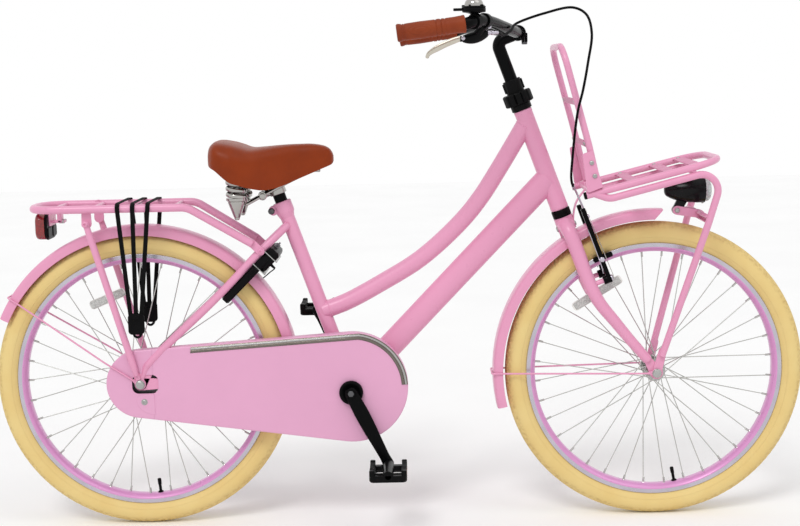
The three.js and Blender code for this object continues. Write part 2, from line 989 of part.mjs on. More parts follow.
function mainFrameSolid() {
  const headLow = steer(axleToHeadTube, 0);
  const headHigh = steer(headTop, 0);
  const shellRight = across(bracket, -bracketShellHalf);
  const shellLeft = across(bracket, bracketShellHalf);
  const squash = downTubeHeight / downTubeBreadth;
  const downStations = [bracket, steer(downTubeHeadAlong, 0)];
  const down = swept(polygon(downTubeBreadth / 2, 12, squash), downStations);
  const welded = join(
    rod(headLow, headHigh, headTubeRadius, 12),
    tube(topTubeStations(), topTubeRadius, 10),
    down,
    rod(bracket, upSeat(seatTubeLength), seatTubeRadius, 12),
    rod(shellRight, shellLeft, bracketShellRadius, 12),
  );
  const past = overrun;
  return cut(
    welded,
    rod(
      steer(axleToHeadTube - past, 0),
      steer(headTop + past, 0),
      headTubeRadius - headTubeWall,
      12,
    ),
    rod(
      across(bracket, -bracketShellHalf - past),
      across(bracket, bracketShellHalf + past),
      bracketShellRadius - bracketShellWall,
      12,
    ),
    rod(
      upSeat(seatTubeLength - postInsertion - overrun),
      upSeat(seatTubeLength + past),
      boreFor(postRadius, 12),
      12,
    ),
  );
}

// Chain stay and seat stay of one side, in stations from front to back.
const dropoutOuterRear = dropoutInnerRear + dropoutThickness;
const dropoutMiddleRear = dropoutInnerRear + dropoutThickness / 2;
const stayTyreSide = tyreWidth / 2 + chainStayRadius + tyreClearance;
const seatStayFootSide = chainLine + chainHalfWidth + caseCutClearance + seatStayRadius;

function chainStayStations(side) {
  const shellReach = bracketShellRadius * 0.8;
  return smooth(
    [
      rear(bracketAhead - shellReach, -bracketDrop, side * (bracketShellHalf - chainStayRadius - gap)),
      ...chainStayShares.map(([aheadShare, dropShare, sideShare]) =>
        rear(bracketAhead * aheadShare, -bracketDrop * dropShare, side * stayTyreSide * sideShare),
      ),
      rear(dropoutReach, 0, side * (dropoutMiddleRear - chainStayTipRadius * 0.6)),
      rear(dropoutReach * 0.7, 0, side * dropoutMiddleRear),
    ],
    7,
  );
}

const seatStayShares = [
  [1, 1, 0.2],
  [0.937, 0.944, 0.45],
  [0.819, 0.837, 0.68],
  [0.486, 0.516, 0.86],
  [0.136, 0.209, 0.98],
  [0.043, 0.117, 1],
];

function seatStayStations(side) {
  return smooth(
    seatStayShares.map(([aheadShare, riseShare, sideShare]) =>
      rear(
        seatStayTopAhead * aheadShare,
        seatStayTopRise * riseShare,
        side * seatStayFootSide * sideShare,
      ),
    ),
    8,
  );
}

function chainStaySolid(side, extra = 0) {
  const stations = chainStayStations(side);
  const last = stations.length - 1;
  const radii = stations.map((_, i) => {
    const share = Math.max(0, i / last - 0.55) / 0.45;
    return extra + THREE.MathUtils.lerp(chainStayRadius, chainStayTipRadius, share);
  });
  return taperedTube(stations, radii, 8);
}

function seatStaySolid(side, extra = 0) {
  return tube(seatStayStations(side), seatStayRadius + extra, 8);
}

function dropoutSolid(side) {
  const [low, high] =
    side < 0 ? [-dropoutOuterRear, -dropoutInnerRear] : [dropoutInnerRear, dropoutOuterRear];
  const axle = rear(0, 0);
  const tongue = link(
    axle,
    rear(dropoutReach, 0),
    dropoutPlateRadius,
    dropoutPlateRadius * 0.6,
    low,
    high,
    4,
  );
  const ear = link(
    axle,
    rear(seatStayTopAhead * 0.1, seatStayTopRise * 0.16),
    dropoutPlateRadius,
    dropoutPlateRadius * 0.6,
    low,
    high,
    4,
  );
  return join(tongue, ear);
}

function rearTriangleSolid() {
  const axle = rear(0, 0);
  const bridgePlace = stayPoint(rearGuardRadius + gap + seatStayBridgeRadius);
  const bridge = rod(
    across(bridgePlace, -bridgePlace.y),
    bridgePlace,
    seatStayBridgeRadius,
    8,
  );
  const parts = [bridge];
  for (const side of [-1, 1])
    parts.push(chainStaySolid(side), seatStaySolid(side), dropoutSolid(side));
  const outer = dropoutOuterRear + overrun;
  return cut(
    join(parts),
    rod(across(axle, -outer), across(axle, outer), boreFor(axleRadius, hubSides), hubSides),
    rod(
      across(bracket, -bracketShellHalf - overrun),
      across(bracket, bracketShellHalf + overrun),
      boreFor(bracketShellRadius, 12),
      12,
    ),
    rod(upSeat(0), upSeat(seatTubeLength), boreFor(seatTubeRadius, 12), 12),
    coneSpace(),
  );
}

// Room for the axle's cones between the dropouts.
function coneSpace() {
  const axle = rear(0, 0);
  return rod(
    across(axle, -dropoutInnerRear),
    across(axle, dropoutInnerRear),
    coneRadius + gap,
    hubSides,
  );
}

// Point of the left seat stay's middle line at a distance from the rear axle.
function stayPoint(distance) {
  const axle = rear(0, 0);
  const line = new THREE.CatmullRomCurve3(seatStayStations(1));
  const steps = 400;
  let best = line.getPoint(0);
  for (let i = 0; i <= steps; i += 1) {
    const point = line.getPoint(i / steps);
    const off = Math.abs(Math.hypot(point.x - axle.x, point.z - axle.z) - distance);
    const bestOff = Math.abs(Math.hypot(best.x - axle.x, best.z - axle.z) - distance);
    if (off < bestOff) best = point;
  }
  return best;
}

// Seat clamp, its ears and its bolt
function seatClampSolid() {
  const low = seatTubeLength - clampHeight;
  const outer = seatTubeRadius + clampWall;
  const reach = outer + clampEarReach;
  const middle = upSeat(seatTubeLength - clampHeight / 2, -reach / 2);
  const acrossSeat = new THREE.Vector3(Math.cos(seatLean), 0, Math.sin(seatLean));
  const ears = block(middle, [reach, clampEarReach, clampHeight], acrossSeat);
  const boltPlace = upSeat(seatTubeLength - clampHeight / 2, clampBoltRadius - reach);
  const bolt = rod(
    across(boltPlace, -clampBoltLength / 2),
    across(boltPlace, clampBoltLength / 2),
    clampBoltRadius,
    6,
  );
  return cut(
    join(rod(upSeat(low), upSeat(seatTubeLength), outer, 12), ears, bolt),
    rod(
      upSeat(low - overrun),
      upSeat(seatTubeLength + overrun),
      boreFor(seatTubeRadius, 12),
      12,
    ),
  );
}

// Seat post, saddle frame, springs and cushion
const postTop = seatTubeLength + postRise;
const saddleRearX = upSeat(postTop).x - saddleOverhang;
const saddleTopZ = upSeat(postTop).z + saddleStand;

function seatpostSolid() {
  return rod(upSeat(seatTubeLength - postInsertion), upSeat(postTop), postRadius, 12);
}

const springX = saddleRearX + saddleLength * springRearShare;
const springTopZ = saddleTopZ - saddleHeight * springTopShare;
const springFootZ = springTopZ - springPitch * springCurls - springConeHeight;

function cradleSolid() {
  const clampPlace = upSeat(postTop - cradleBarrelRadius, -postRadius - cradleBarrelRadius * 1.8);
  const ringLow = upSeat(postTop - 2 * cradleBarrelRadius);
  const noseX = saddleRearX + saddleLength * 0.88;
  const railTopZ = saddleTopZ - saddleHeight * saddleRailShare;
  const rail = (sign) =>
    tube(
      smooth(
        [
          new THREE.Vector3(noseX, 0, railTopZ),
          new THREE.Vector3(noseX - saddleRailSpread / 2, sign * saddleRailSpread * 0.3, railTopZ),
          across(clampPlace, sign * saddleRailSpread * 0.9),
          new THREE.Vector3(
            springX + springConeTopRadius + saddleRailRadius / 2,
            sign * springSide * 0.9,
            springFootZ + springConeHeight * 0.66,
          ),
        ],
        6,
      ),
      saddleRailRadius,
      6,
    );
  const collar = cut(
    join(
      rod(ringLow, upSeat(postTop), postRadius + clampWall, 12),
      rod(upSeat(postTop - cradleBarrelRadius), clampPlace, cradleBarrelRadius * 0.8, 8),
    ),
    rod(
      upSeat(seatTubeLength),
      upSeat(postTop + overrun),
      boreFor(postRadius, 12),
      12,
    ),
  );
  const barrel = rod(
    across(clampPlace, -cradleBarrelHalf),
    across(clampPlace, cradleBarrelHalf),
    cradleBarrelRadius,
    12,
  );
  return join(collar, barrel, rail(1), rail(-1));
}

// Middle line of one conical spring's coil, eight points to a curl.
function coilPoints(side) {
  const count = Math.round(springCurls * 8);
  const points = [];
  for (let i = 0; i <= count; i += 1) {
    const angle = (i * Math.PI) / 4;
    const rise = springConeHeight + springWireRadius * 0.6 + (springPitch * i) / 8;
    points.push(
      new THREE.Vector3(
        springX + springCoilRadius * Math.cos(angle),
        side * (springSide + springCoilRadius * Math.sin(angle)),
        springFootZ + rise,
      ),
    );
  }
  return points;
}

function leastCoilGap(points) {
  let least = Infinity;
  points.forEach((point, i) =>
    points.slice(i + 5).forEach((other) => {
      least = Math.min(least, point.distanceTo(other));
    }),
  );
  return least - 2 * springWireRadius;
}

function springSolid(side) {
  const foot = new THREE.Vector3(springX, side * springSide, springFootZ);
  const up = new THREE.Vector3(0, 0, 1);
  const plateRadius = springCoilRadius + springWireRadius * 0.4;
  const cone = turned(
    [
      [0, 0],
      [springConeTipRadius, 0],
      [springConeTopRadius, springConeHeight * 0.6],
      [springConeTopRadius, springConeHeight * 0.85],
      [plateRadius, springConeHeight * 0.88],
      [plateRadius, springConeHeight + springWireRadius * 0.2],
      [0, springConeHeight + springWireRadius * 0.2],
    ],
    foot,
    up,
    10,
  );
  const points = coilPoints(side);
  const top = points[points.length - 1].z;
  const cap = turned(
    [
      [0, top - springFootZ],
      [plateRadius, top - springFootZ],
      [plateRadius, top - springFootZ + 2 * springWireRadius],
      [0, top - springFootZ + 2 * springWireRadius],
    ],
    foot,
    up,
    10,
  );
  return join(cone, tube(points, springWireRadius, 5), cap);
}

function saddleSolid() {
  const rings = saddleShares.map(([placeShare, topShare, lowShare, widthShare, archShare]) => {
    const x = saddleRearX + saddleLength * placeShare;
    const high = saddleTopZ - saddleHeight * topShare;
    const low = saddleTopZ - saddleHeight * lowShare;
    const half = (saddleWidth / 2) * widthShare;
    const outer = saddleSectionShares.map(([sideShare, fallShare]) => [
      half * sideShare,
      high - (high - low) * fallShare,
    ]);
    const arch = high - (high - low) * archShare;
    const inner = [
      [half * 0.9, low],
      [half * 0.84, THREE.MathUtils.lerp(low, arch, 0.75)],
      [half * 0.4, arch],
    ];
    const sides = [...outer, ...inner];
    const left = sides.slice(1).map(([y, z]) => new THREE.Vector3(x, y, z));
    const right = sides.map(([y, z]) => new THREE.Vector3(x, -y, z)).reverse();
    return [...right, ...left];
  });
  return lofted(rings);
}

// Rear rack, its struts, the straps and the tail lamp
function rackSolid() {
  const parts = [];
  const side = (sign) => [
    rear(rackFrontAhead, rackFrontRise, sign * rackFrontHalf),
    rear(rackBendAhead, rackHeight, sign * rackHalfWidth),
    rear(-rackTipBack, rackHeight, sign * rackHalfWidth),
  ];
  const corners = [...side(-1), ...side(1).reverse()];
  const bends = [rackBendRadius, rackCornerRadius, rackCornerRadius, rackBendRadius];
  parts.push(tube(rounded(corners, bends, 3), rackTubeRadius, 6));
  for (const barShare of rackBarShares) {
    const place = THREE.MathUtils.lerp(-rackTipBack, rackBendAhead, barShare);
    parts.push(
      rod(
        rear(place, rackHeight, -rackHalfWidth),
        rear(place, rackHeight, rackHalfWidth),
        rackBarRadius,
        6,
      ),
    );
  }
  const stay = stayPoint(Math.hypot(rackFrontAhead, rackFrontRise));
  for (const sign of [-1, 1]) {
    const plateLow = stay.y + seatStayRadius + 4 * gap;
    const plateSides = [plateLow, plateLow + lugThickness];
    const [low, high] = sign < 0 ? [-plateSides[1], -plateSides[0]] : plateSides;
    const front = rear(rackFrontAhead, rackFrontRise);
    parts.push(link(stay, front, lugWidth * 0.4, lugWidth * 0.4, low, high, 3));
    const headStart = sign * plateLow;
    const headEnd = sign * (plateSides[1] + boltHeadHeight);
    parts.push(rod(across(stay, headStart), across(stay, headEnd), boltHeadRadius, 6));
    const strutTop = rear(-strutTopBack, strutTopRise);
    const rail = rear(-strutTopBack, rackHeight);
    const lugInner = strutSide - strutRadius - gap - lugThickness;
    const [lugLow, lugHigh] =
      sign < 0 ? [-lugInner - lugThickness, -lugInner] : [lugInner, lugInner + lugThickness];
    parts.push(link(strutTop, rail, lugWidth / 2, lugWidth / 2, lugLow, lugHigh, 3));
  }
  return join(parts);
}

function strutSolid(sign) {
  const axle = rear(0, 0);
  const top = rear(-strutTopBack, strutTopRise);
  const run = new THREE.Vector3().subVectors(top, axle).normalize();
  const plateInner = dropoutOuterRear + gap;
  const plateOuter = plateInner + lugThickness;
  const [low, high] = sign < 0 ? [-plateOuter, -plateInner] : [plateInner, plateOuter];
  const start = axle.clone().addScaledVector(run, strutPlateReach);
  const end = axle.clone().addScaledVector(run, strutPlateReach * 0.6);
  const tubeSolid = rod(across(start, sign * strutSide), across(top, sign * strutSide), strutRadius, 8);
  const plate = link(axle, end, dropoutPlateRadius * 0.85, lugWidth / 4, low, high, 4);
  const neck = block(
    across(end.clone().lerp(start, 0.5), sign * (strutSide - strutRadius * 0.7)),
    [strutPlateReach * 0.6, strutRadius * 0.6, lugWidth / 5],
    run,
  );
  const boltStart = sign * (strutSide - strutRadius);
  const boltEnd = sign * (strutSide + strutRadius + boltHeadHeight);
  const bolt = rod(across(top, boltStart), across(top, boltEnd), boltHeadRadius, 6);
  const outer = strutSide + strutRadius + overrun;
  return cut(
    join(tubeSolid, plate, neck, bolt),
    rod(across(axle, -outer), across(axle, outer), boreFor(axleRadius, hubSides), hubSides),
    nutRoom(rearEyeInner - gap / 2, boreFor(nutRadius, hubSides)),
  );
}

// Room for the two nuts of the rear axle
function nutRoom(stackOuter, radius) {
  const axle = rear(0, 0);
  const end = stackOuter + nutThickness + overrun;
  return join(
    rod(across(axle, stackOuter), across(axle, end), radius, hubSides),
    rod(across(axle, -stackOuter), across(axle, -end), radius, hubSides),
  );
}

// Flat band along stations, with its width along one direction.
function ribbon(stations, halfWidth, halfThickness, widthAxis) {
  const rings = stations.map((station, i) => {
    const before = stations[Math.max(i - 1, 0)];
    const after = stations[Math.min(i + 1, stations.length - 1)];
    const run = new THREE.Vector3().subVectors(after, before).normalize();
    const normal = new THREE.Vector3().crossVectors(run, widthAxis).normalize();
    const corner = (w, t) =>
      station.clone().addScaledVector(widthAxis, w).addScaledVector(normal, t);
    return [
      corner(halfWidth, halfThickness),
      corner(-halfWidth, halfThickness),
      corner(-halfWidth, -halfThickness),
      corner(halfWidth, -halfThickness),
    ];
  });
  return lofted(rings);
}

function strapSolid() {
  const parts = [];
  const lift = rackTubeRadius + strapLift + strapThickness / 2;
  for (const place of [-1, 0, 1]) {
    const topAhead = strapMiddleAhead + place * strapSpread;
    const footAhead = strapFootAhead + place * strapFootSpread;
    const bend = (sign) => {
      const points = [rear(footAhead, strapFootRise, sign * (rackHalfWidth + lift))];
      for (const turnShare of [0.1, 0.9]) {
        const angle = (turnShare * Math.PI) / 2;
        points.push(
          rear(
            topAhead,
            rackHeight + lift * Math.sin(angle),
            sign * (rackHalfWidth + lift * Math.cos(angle)),
          ),
        );
      }
      return points;
    };
    const stations = [...bend(-1), ...bend(1).reverse()];
    parts.push(ribbon(stations, strapWidth / 2, strapThickness / 2, new THREE.Vector3(1, 0, 0)));
  }
  for (const sign of [-1, 1])
    parts.push(
      block(rear(strapFootAhead, strapFootRise, sign * (rackHalfWidth + lift)), [
        hookWidth,
        hookThickness,
        hookHeight,
      ]),
    );
  return join(parts);
}

function roundedOutline(width, height, corner, steps = 2) {
  const [w, h] = [width / 2 - corner, height / 2 - corner];
  const quarter = Math.PI / 2;
  return [
    ...arc(w, h, corner, 0, quarter, steps),
    ...arc(-w, h, corner, quarter, 2 * quarter, steps),
    ...arc(-w, -h, corner, 2 * quarter, 3 * quarter, steps),
    ...arc(w, -h, corner, 3 * quarter, 4 * quarter, steps),
  ];
}

// Flat plate of any outline, centred at a place, with its outline along two directions.
function slab(outline, thickness, centre, first, second) {
  const shape = new THREE.Shape(outline.map(([a, b]) => new THREE.Vector2(a, b)));
  const geometry = new THREE.ExtrudeGeometry(shape, { depth: thickness, bevelEnabled: false });
  geometry.translate(0, 0, -thickness / 2);
  const third = new THREE.Vector3().crossVectors(first, second);
  const matrix = new THREE.Matrix4().makeBasis(first, second, third).setPosition(centre);
  return moved(toSolid(geometry), matrix);
}

const upAxis = new THREE.Vector3(0, 0, 1);
const forwardAxis = new THREE.Vector3(1, 0, 0);

function tailLampSlab(fromBack, toBack, shrink) {
  const outline = roundedOutline(
    2 * (tailLampHalf - shrink),
    tailLampHeight - 2 * shrink,
    tailLampHeight / 3,
  );
  const centre = rear(-(fromBack + toBack) / 2, tailLampRise);
  return slab(outline, Math.abs(toBack - fromBack), centre, sideAxis, upAxis);
}

function tailLampSolid() {
  const housingBack = tailLampBack + tailLampLength - tailLensLength;
  const barBack = THREE.MathUtils.lerp(rackTipBack, -rackBendAhead, rackBarShares[0]);
  const barFloor = rackHeight - rackBarRadius - gap;
  const shelf = tailLampRise + tailLampHeight * 0.15;
  const outline = [
    [-tailLampBack - lugThickness, shelf - lugThickness],
    [-barBack + rackBarRadius, shelf - lugThickness],
    [-barBack + rackBarRadius, barFloor],
    [-barBack - rackBarRadius, barFloor],
    [-barBack - rackBarRadius, shelf + lugThickness],
    [-tailLampBack - lugThickness, shelf + lugThickness],
  ].map(([ahead, rise]) => [rearAxleX + ahead, axleHeight + rise]);
  return join(
    tailLampSlab(tailLampBack, housingBack, 0),
    sidePlate(outline, -lugWidth / 2, lugWidth / 2),
    rod(
      rear(lugWidth / 2 - barBack, shelf, 0),
      rear(-barBack, shelf, 0),
      boltHeadRadius,
      6,
    ),
  );
}

function tailLensSolid() {
  const start = tailLampBack + tailLampLength - tailLensLength + gap;
  return tailLampSlab(start, tailLampBack + tailLampLength, 2 * gap);
}

// Mudguards: a curved channel swept round the wheel, with wire stays
function guardSection(half, depth) {
  const outer = guardSectionShares.map(([sideShare, fallShare]) => [
    half * sideShare,
    -depth * fallShare,
  ]);
  const inner = guardSectionShares.map(([sideShare, fallShare]) => [
    (half - guardThickness) * sideShare,
    -guardThickness - (depth - guardThickness) * fallShare,
  ]);
  inner[0][1] = outer[0][1];
  const whole = [
    ...outer,
    ...outer.slice(0, -1).reverse().map(([y, z]) => [-y, z]),
    ...inner.slice(0, -1).map(([y, z]) => [-y, z]),
    ...inner.slice().reverse(),
  ];
  return new THREE.Shape(whole.map(([y, z]) => new THREE.Vector2(y, z)));
}

function guardSolid(centre, radius, half, depth, fromDegrees, toDegrees, steps) {
  const from = THREE.MathUtils.degToRad(fromDegrees);
  const to = THREE.MathUtils.degToRad(toDegrees);
  const stations = arc(centre.x, centre.z, radius, from, to, steps).map(
    ([x, z]) => new THREE.Vector3(x, 0, z),
  );
  return swept(guardSection(half, depth), stations);
}

// Wire stay: from an eye on one end of the axle, over the mudguard, to the other end.
function guardStaySolid(centre, eyeInner, radius, half, depth, degrees, clearReach) {
  const angle = THREE.MathUtils.degToRad(degrees);
  const out = new THREE.Vector3(Math.cos(angle), 0, Math.sin(angle));
  const place = (distance, side) => across(centre.clone().addScaledVector(out, distance), side);
  const side = half + guardWireRadius + gap;
  const eyeOuter = eyeInner + eyeThickness;
  const wireSide = eyeInner + guardWireRadius;
  const start = dropoutPlateRadius;
  const over = radius + guardWireRadius + gap;
  const under = radius - depth - 2 * guardWireRadius;
  const right = [start, clearReach].map((reach) => place(reach, -wireSide));
  right.push(place(under, -side), place(over, -side));
  const left = right.map(flipSide).reverse();
  const bend = 3 * guardWireRadius;
  const bends = [8 * bend, bend, bend, bend, bend, 8 * bend];
  const wire = tube(rounded([...right, ...left], bends, 1), guardWireRadius, 5);
  const parts = [wire];
  for (const sign of [-1, 1]) {
    const [low, high] = sign < 0 ? [-eyeOuter, -eyeInner] : [eyeInner, eyeOuter];
    const tongueEnd = place(start + 2 * guardWireRadius, 0);
    parts.push(link(centre, tongueEnd, nutRadius * 0.8, guardWireRadius * 1.4, low, high, 3));
  }
  const outer = eyeOuter + overrun;
  return cut(
    join(parts),
    rod(across(centre, -outer), across(centre, outer), boreFor(axleRadius, hubSides), hubSides),
  );
}

// Ring lock on the seat stays, ahead of them
const stayRun = new THREE.Vector3().subVectors(
  rear(
    seatStayTopAhead * seatStayShares[2][0],
    seatStayTopRise * seatStayShares[2][1],
  ),
  rear(
    seatStayTopAhead * seatStayShares[3][0],
    seatStayTopRise * seatStayShares[3][1],
  ),
);
stayRun.normalize();
const stayAhead = new THREE.Vector3(stayRun.z, 0, -stayRun.x);

function lockPoint(up, ahead, side = 0) {
  return rear(
    seatStayTopAhead * seatStayShares[3][0],
    seatStayTopRise * seatStayShares[3][1],
    side,
  )
    .addScaledVector(stayRun, up)
    .addScaledVector(stayAhead, ahead);
}

function lockSolid() {
  const seat = seatStayRadius + gap;
  const end = lockStart + lockLength;
  const slotEnd = lockStart + lockSlotLength;
  const corner = lockHalf - lockSlotHalf;
  const outline = [
    [lockHalf - corner * 0.5, lockStart],
    [lockHalf, lockStart + corner * 0.5],
    [lockHalf, end - corner * 1.6],
    [lockHalf - corner, end],
    [-lockHalf + corner, end],
    [-lockHalf, end - corner * 1.6],
    [-lockHalf, lockStart + corner * 0.5],
    [-lockHalf + corner * 0.5, lockStart],
    [-lockSlotHalf - corner * 0.2, lockStart],
    [-lockSlotHalf, lockStart + corner * 0.3],
    [-lockSlotHalf, slotEnd - corner * 0.2],
    [-lockSlotHalf + corner * 0.2, slotEnd],
    [lockSlotHalf - corner * 0.2, slotEnd],
    [lockSlotHalf, slotEnd - corner * 0.2],
    [lockSlotHalf, lockStart + corner * 0.3],
    [lockSlotHalf + corner * 0.2, lockStart],
  ];
  const ring = slab(
    outline,
    lockLowDepth,
    lockPoint(0, seat + lockLowDepth / 2),
    sideAxis,
    stayRun,
  );
  const coverHeight = end - slotEnd - 2 * overrun;
  const cover = slab(
    roundedOutline(2 * (lockHalf - corner * 0.4), coverHeight, coverHeight / 4),
    lockTopDepth,
    lockPoint(slotEnd + overrun + coverHeight / 2, seat + lockTopDepth / 2),
    sideAxis,
    stayRun,
  );
  const key = rod(
    lockPoint(end - coverHeight / 3, seat + lockTopDepth / 3),
    lockPoint(end + lockKeyLength, seat + lockTopDepth / 3),
    lockKeyRadius,
    10,
  );
  const bootTop = lockPoint(slotEnd + overrun + coverHeight / 3, seat + lockTopDepth * 0.9);
  const bootFoot = bootTop.clone().addScaledVector(stayAhead, lockBootLength);
  const toAxle = new THREE.Vector3().subVectors(rear(0, 0), bootFoot).setY(0);
  const cordLength = toAxle.length() - rearGuardRadius - gap - lockCordRadius;
  const cordFoot = bootFoot.clone().addScaledVector(toAxle.normalize(), cordLength);
  return cut(
    join(
      ring,
      cover,
      key,
      rod(bootTop, bootFoot, lockBootRadius, 8),
      tube([bootTop, bootFoot, cordFoot], lockCordRadius, 5),
    ),
    seatStaySolid(1, gap),
    seatStaySolid(-1, gap),
  );
}

function lockLeverSolid() {
  const seat = seatStayRadius + gap;
  const centre = lockPoint(
    lockStart + lockSlotLength,
    seat + lockLowDepth * 0.55,
    -(lockHalf + gap + lockKnobDepth / 2),
  );
  const shape = roundedOutline(lockKnobHeight, lockKnobLength, lockKnobHeight / 3, 2);
  return slab(shape, lockKnobDepth, centre, stayAhead, stayRun);
}

// Chain, sprocket and chainring
function chainSolid() {
  const ringRadius = (chainringTeeth * chainPitch) / (2 * Math.PI);
  const sprocketRadius = (sprocketTeeth * chainPitch) / (2 * Math.PI);
  const half = chainThickness / 2;
  const axle = rear(0, 0);
  const low = -chainLine - chainHalfWidth;
  const high = -chainLine + chainHalfWidth;
  const band = (extra, from, to) =>
    sidePlate(
      beltOutline(bracket, ringRadius + extra, axle, sprocketRadius + extra, 10),
      from,
      to,
    );
  return cut(band(half, low, high), band(-half, low - overrun, high + overrun));
}

function toothedDisc(teeth, low, high, centre) {
  const tip = ((teeth * chainPitch) / (2 * Math.PI) - chainThickness / 2) * 0.975;
  const outline = [];
  for (let i = 0; i < teeth; i += 1) {
    const angle = (i * 2 * Math.PI) / teeth;
    const step = (2 * Math.PI) / teeth;
    for (const [turnShare, radius] of [
      [0, tip - toothDepth],
      [0.5, tip],
    ])
      outline.push([
        centre.x + radius * Math.cos(angle + step * turnShare),
        centre.z + radius * Math.sin(angle + step * turnShare),
      ]);
  }
  return sidePlate(outline, low, high);
}

function chainringSolid() {
  const low = -chainLine - discThickness / 2;
  const high = -chainLine + discThickness / 2;
  const outer = -crankInnerSide + gap;
  const sleeve = rod(across(bracket, high), across(bracket, outer), caseSpindleSleeve, 10);
  const bore = rod(
    across(bracket, high + overrun),
    across(bracket, outer - overrun),
    boreFor(spindleRadius, hubSides),
    hubSides,
  );
  return cut(join(toothedDisc(chainringTeeth, low, high, bracket), sleeve), bore);
}

function sprocketSolid() {
  const low = -chainLine - discThickness / 2;
  const high = -chainLine + discThickness / 2;
  const axle = rear(0, 0);
  const driver = rod(across(axle, low), across(axle, -rearHubRight - gap), rearHubNeckRadius, 12);
  const bore = rod(
    across(axle, low - overrun),
    across(axle, overrun),
    boreFor(coneRadius, hubSides),
    hubSides,
  );
  return cut(join(toothedDisc(sprocketTeeth, low, high, axle), driver), bore);
}

// Chain case: a hollow shell round the drive, split at its tail, with a bright trim strip
const caseInner = -caseInnerSide;
const caseOuter = -(dropoutOuterRear + 2 * gap + caseWall);
const caseFront = new THREE.Vector3(bracket.x + caseFrontAhead, 0, bracket.z + caseFrontRise);

function caseBelt(extra, low, high) {
  return sidePlate(
    beltOutline(caseFront, caseFrontRadius + extra, rear(0, 0), caseRearRadius + extra, 16),
    low,
    high,
  );
}

function caseShell() {
  const axle = rear(0, 0);
  const hole = (centre, radius, from, to, sides = 12) =>
    rod(across(centre, from), across(centre, to), radius, sides);
  const innerOut = caseInner + overrun;
  const cavitySides = [caseOuter + caseWall, caseInner - caseWall];
  const windowOutline = [
    [-caseWindowRear, -caseWindowHalf],
    [caseWindowFront, -caseWindowHalf],
    [caseWindowFront, caseWindowHalf],
    [-caseWindowRear, caseWindowHalf],
  ].map(([ahead, rise]) => [rearAxleX + ahead, axleHeight + rise]);
  return cut(
    caseBelt(0, caseOuter, caseInner),
    caseBelt(-caseWall, cavitySides[0], cavitySides[1]),
    hole(axle, caseHubHoleRadius, cavitySides[1] - gap, innerOut),
    hole(bracket, bracketShellRadius + 2 * gap, cavitySides[1] - gap, innerOut),
    hole(bracket, caseCrankHoleRadius, caseOuter - overrun, cavitySides[0] + gap),
    sidePlate(windowOutline, caseOuter - overrun, cavitySides[0] + gap),
    chainStaySolid(-1, caseCutClearance),
    seatStaySolid(-1, caseCutClearance),
    caseMouths(),
  );
}

// Ways through the case's inner skin and its edge for the dropout and the ends of the stays
function caseMouths() {
  const swell = caseCutClearance;
  const low = -dropoutOuterRear - gap;
  const high = -dropoutInnerRear + gap;
  const ear = link(
    rear(0, 0),
    rear(seatStayTopAhead * 0.12, seatStayTopRise * 0.2),
    dropoutPlateRadius + swell,
    dropoutPlateRadius * 0.6 + swell,
    low,
    high,
  );
  return ear;
}

function seamHalf(sign) {
  const size = 4 * caseFrontRadius;
  const seam = rear(caseSeamAhead + sign * (gap / 2 + size / 2), 0);
  return block(seam, [size, size, size]);
}

function caseTrimSolid() {
  const shift = caseOuter - gap;
  const inset = trimWidth;
  const band = cut(
    caseBelt(0, shift - trimThickness, shift),
    caseBelt(-inset, shift - trimThickness - overrun, shift + overrun),
  );
  const size = 4 * caseFrontRadius;
  const front = block(rear(trimStartAhead + size / 2, 0), [size, size, size]);
  const heading = Math.atan2(caseFront.z - axleHeight, caseFront.x - rearAxleX);
  const run = new THREE.Vector3(Math.cos(heading), 0, Math.sin(heading));
  const lift = new THREE.Vector3(-run.z, 0, run.x);
  const upper = block(
    caseFront.clone().addScaledVector(lift, size / 2 + caseFrontRadius * 0.08),
    [2 * size, size, size],
    run,
  );
  return band.intersect(front).intersect(upper);
}

// Bottom bracket cartridge inside the shell, cranks and pedals
function cartridgeSolid() {
  const half = bracketShellHalf + cartridgeLip;
  const lipRadius = bracketShellRadius - bracketShellWall * 0.5;
  const inner = boreFor(spindleRadius, hubSides, 2 * gap);
  const body = bracketShellRadius - bracketShellWall - gap - gap;
  return turned(
    [
      [inner, -half],
      [lipRadius, -half],
      [lipRadius, -bracketShellHalf - gap],
      [body, -bracketShellHalf - gap],
      [body, bracketShellHalf + gap],
      [lipRadius, bracketShellHalf + gap],
      [lipRadius, half],
      [inner, half],
      [inner, -half],
    ],
    bracket,
    sideAxis,
    12,
  );
}

function crankSolid(sign) {
  const angle = THREE.MathUtils.degToRad(crankAngleDegrees);
  const run = new THREE.Vector3(Math.cos(angle), 0, -Math.sin(angle)).multiplyScalar(-sign);
  const end = bracket.clone().addScaledVector(run, crankLength);
  const inner = crankInnerSide;
  const capOuter = inner + crankCapDepth;
  const outer = inner + crankFlare + crankArmThickness;
  const sides = (from, to) => (sign < 0 ? [-to, -from] : [from, to]);
  const [armLow, armHigh] = sides(inner + crankFlare, outer);
  const arm = link(bracket, end, crankArmWidth / 2, crankArmWidth * 0.38, armLow, armHigh, 6);
  const cap = rod(across(bracket, sign * inner), across(bracket, sign * capOuter), crankCapRadius, 16);
  const pin = rod(
    across(end, sign * (outer - 1.5 * gap)),
    across(end, sign * (outer + pedalWidth - pedalRail / 2)),
    pedalSpindleRadius,
    hubSides,
  );
  const parts = [arm, cap, pin];
  return join(parts);
}

function spindleSolid() {
  return rod(
    across(bracket, -crankInnerSide - crankCapDepth / 2),
    across(bracket, crankInnerSide + crankCapDepth / 2),
    spindleRadius,
    hubSides,
  );
}

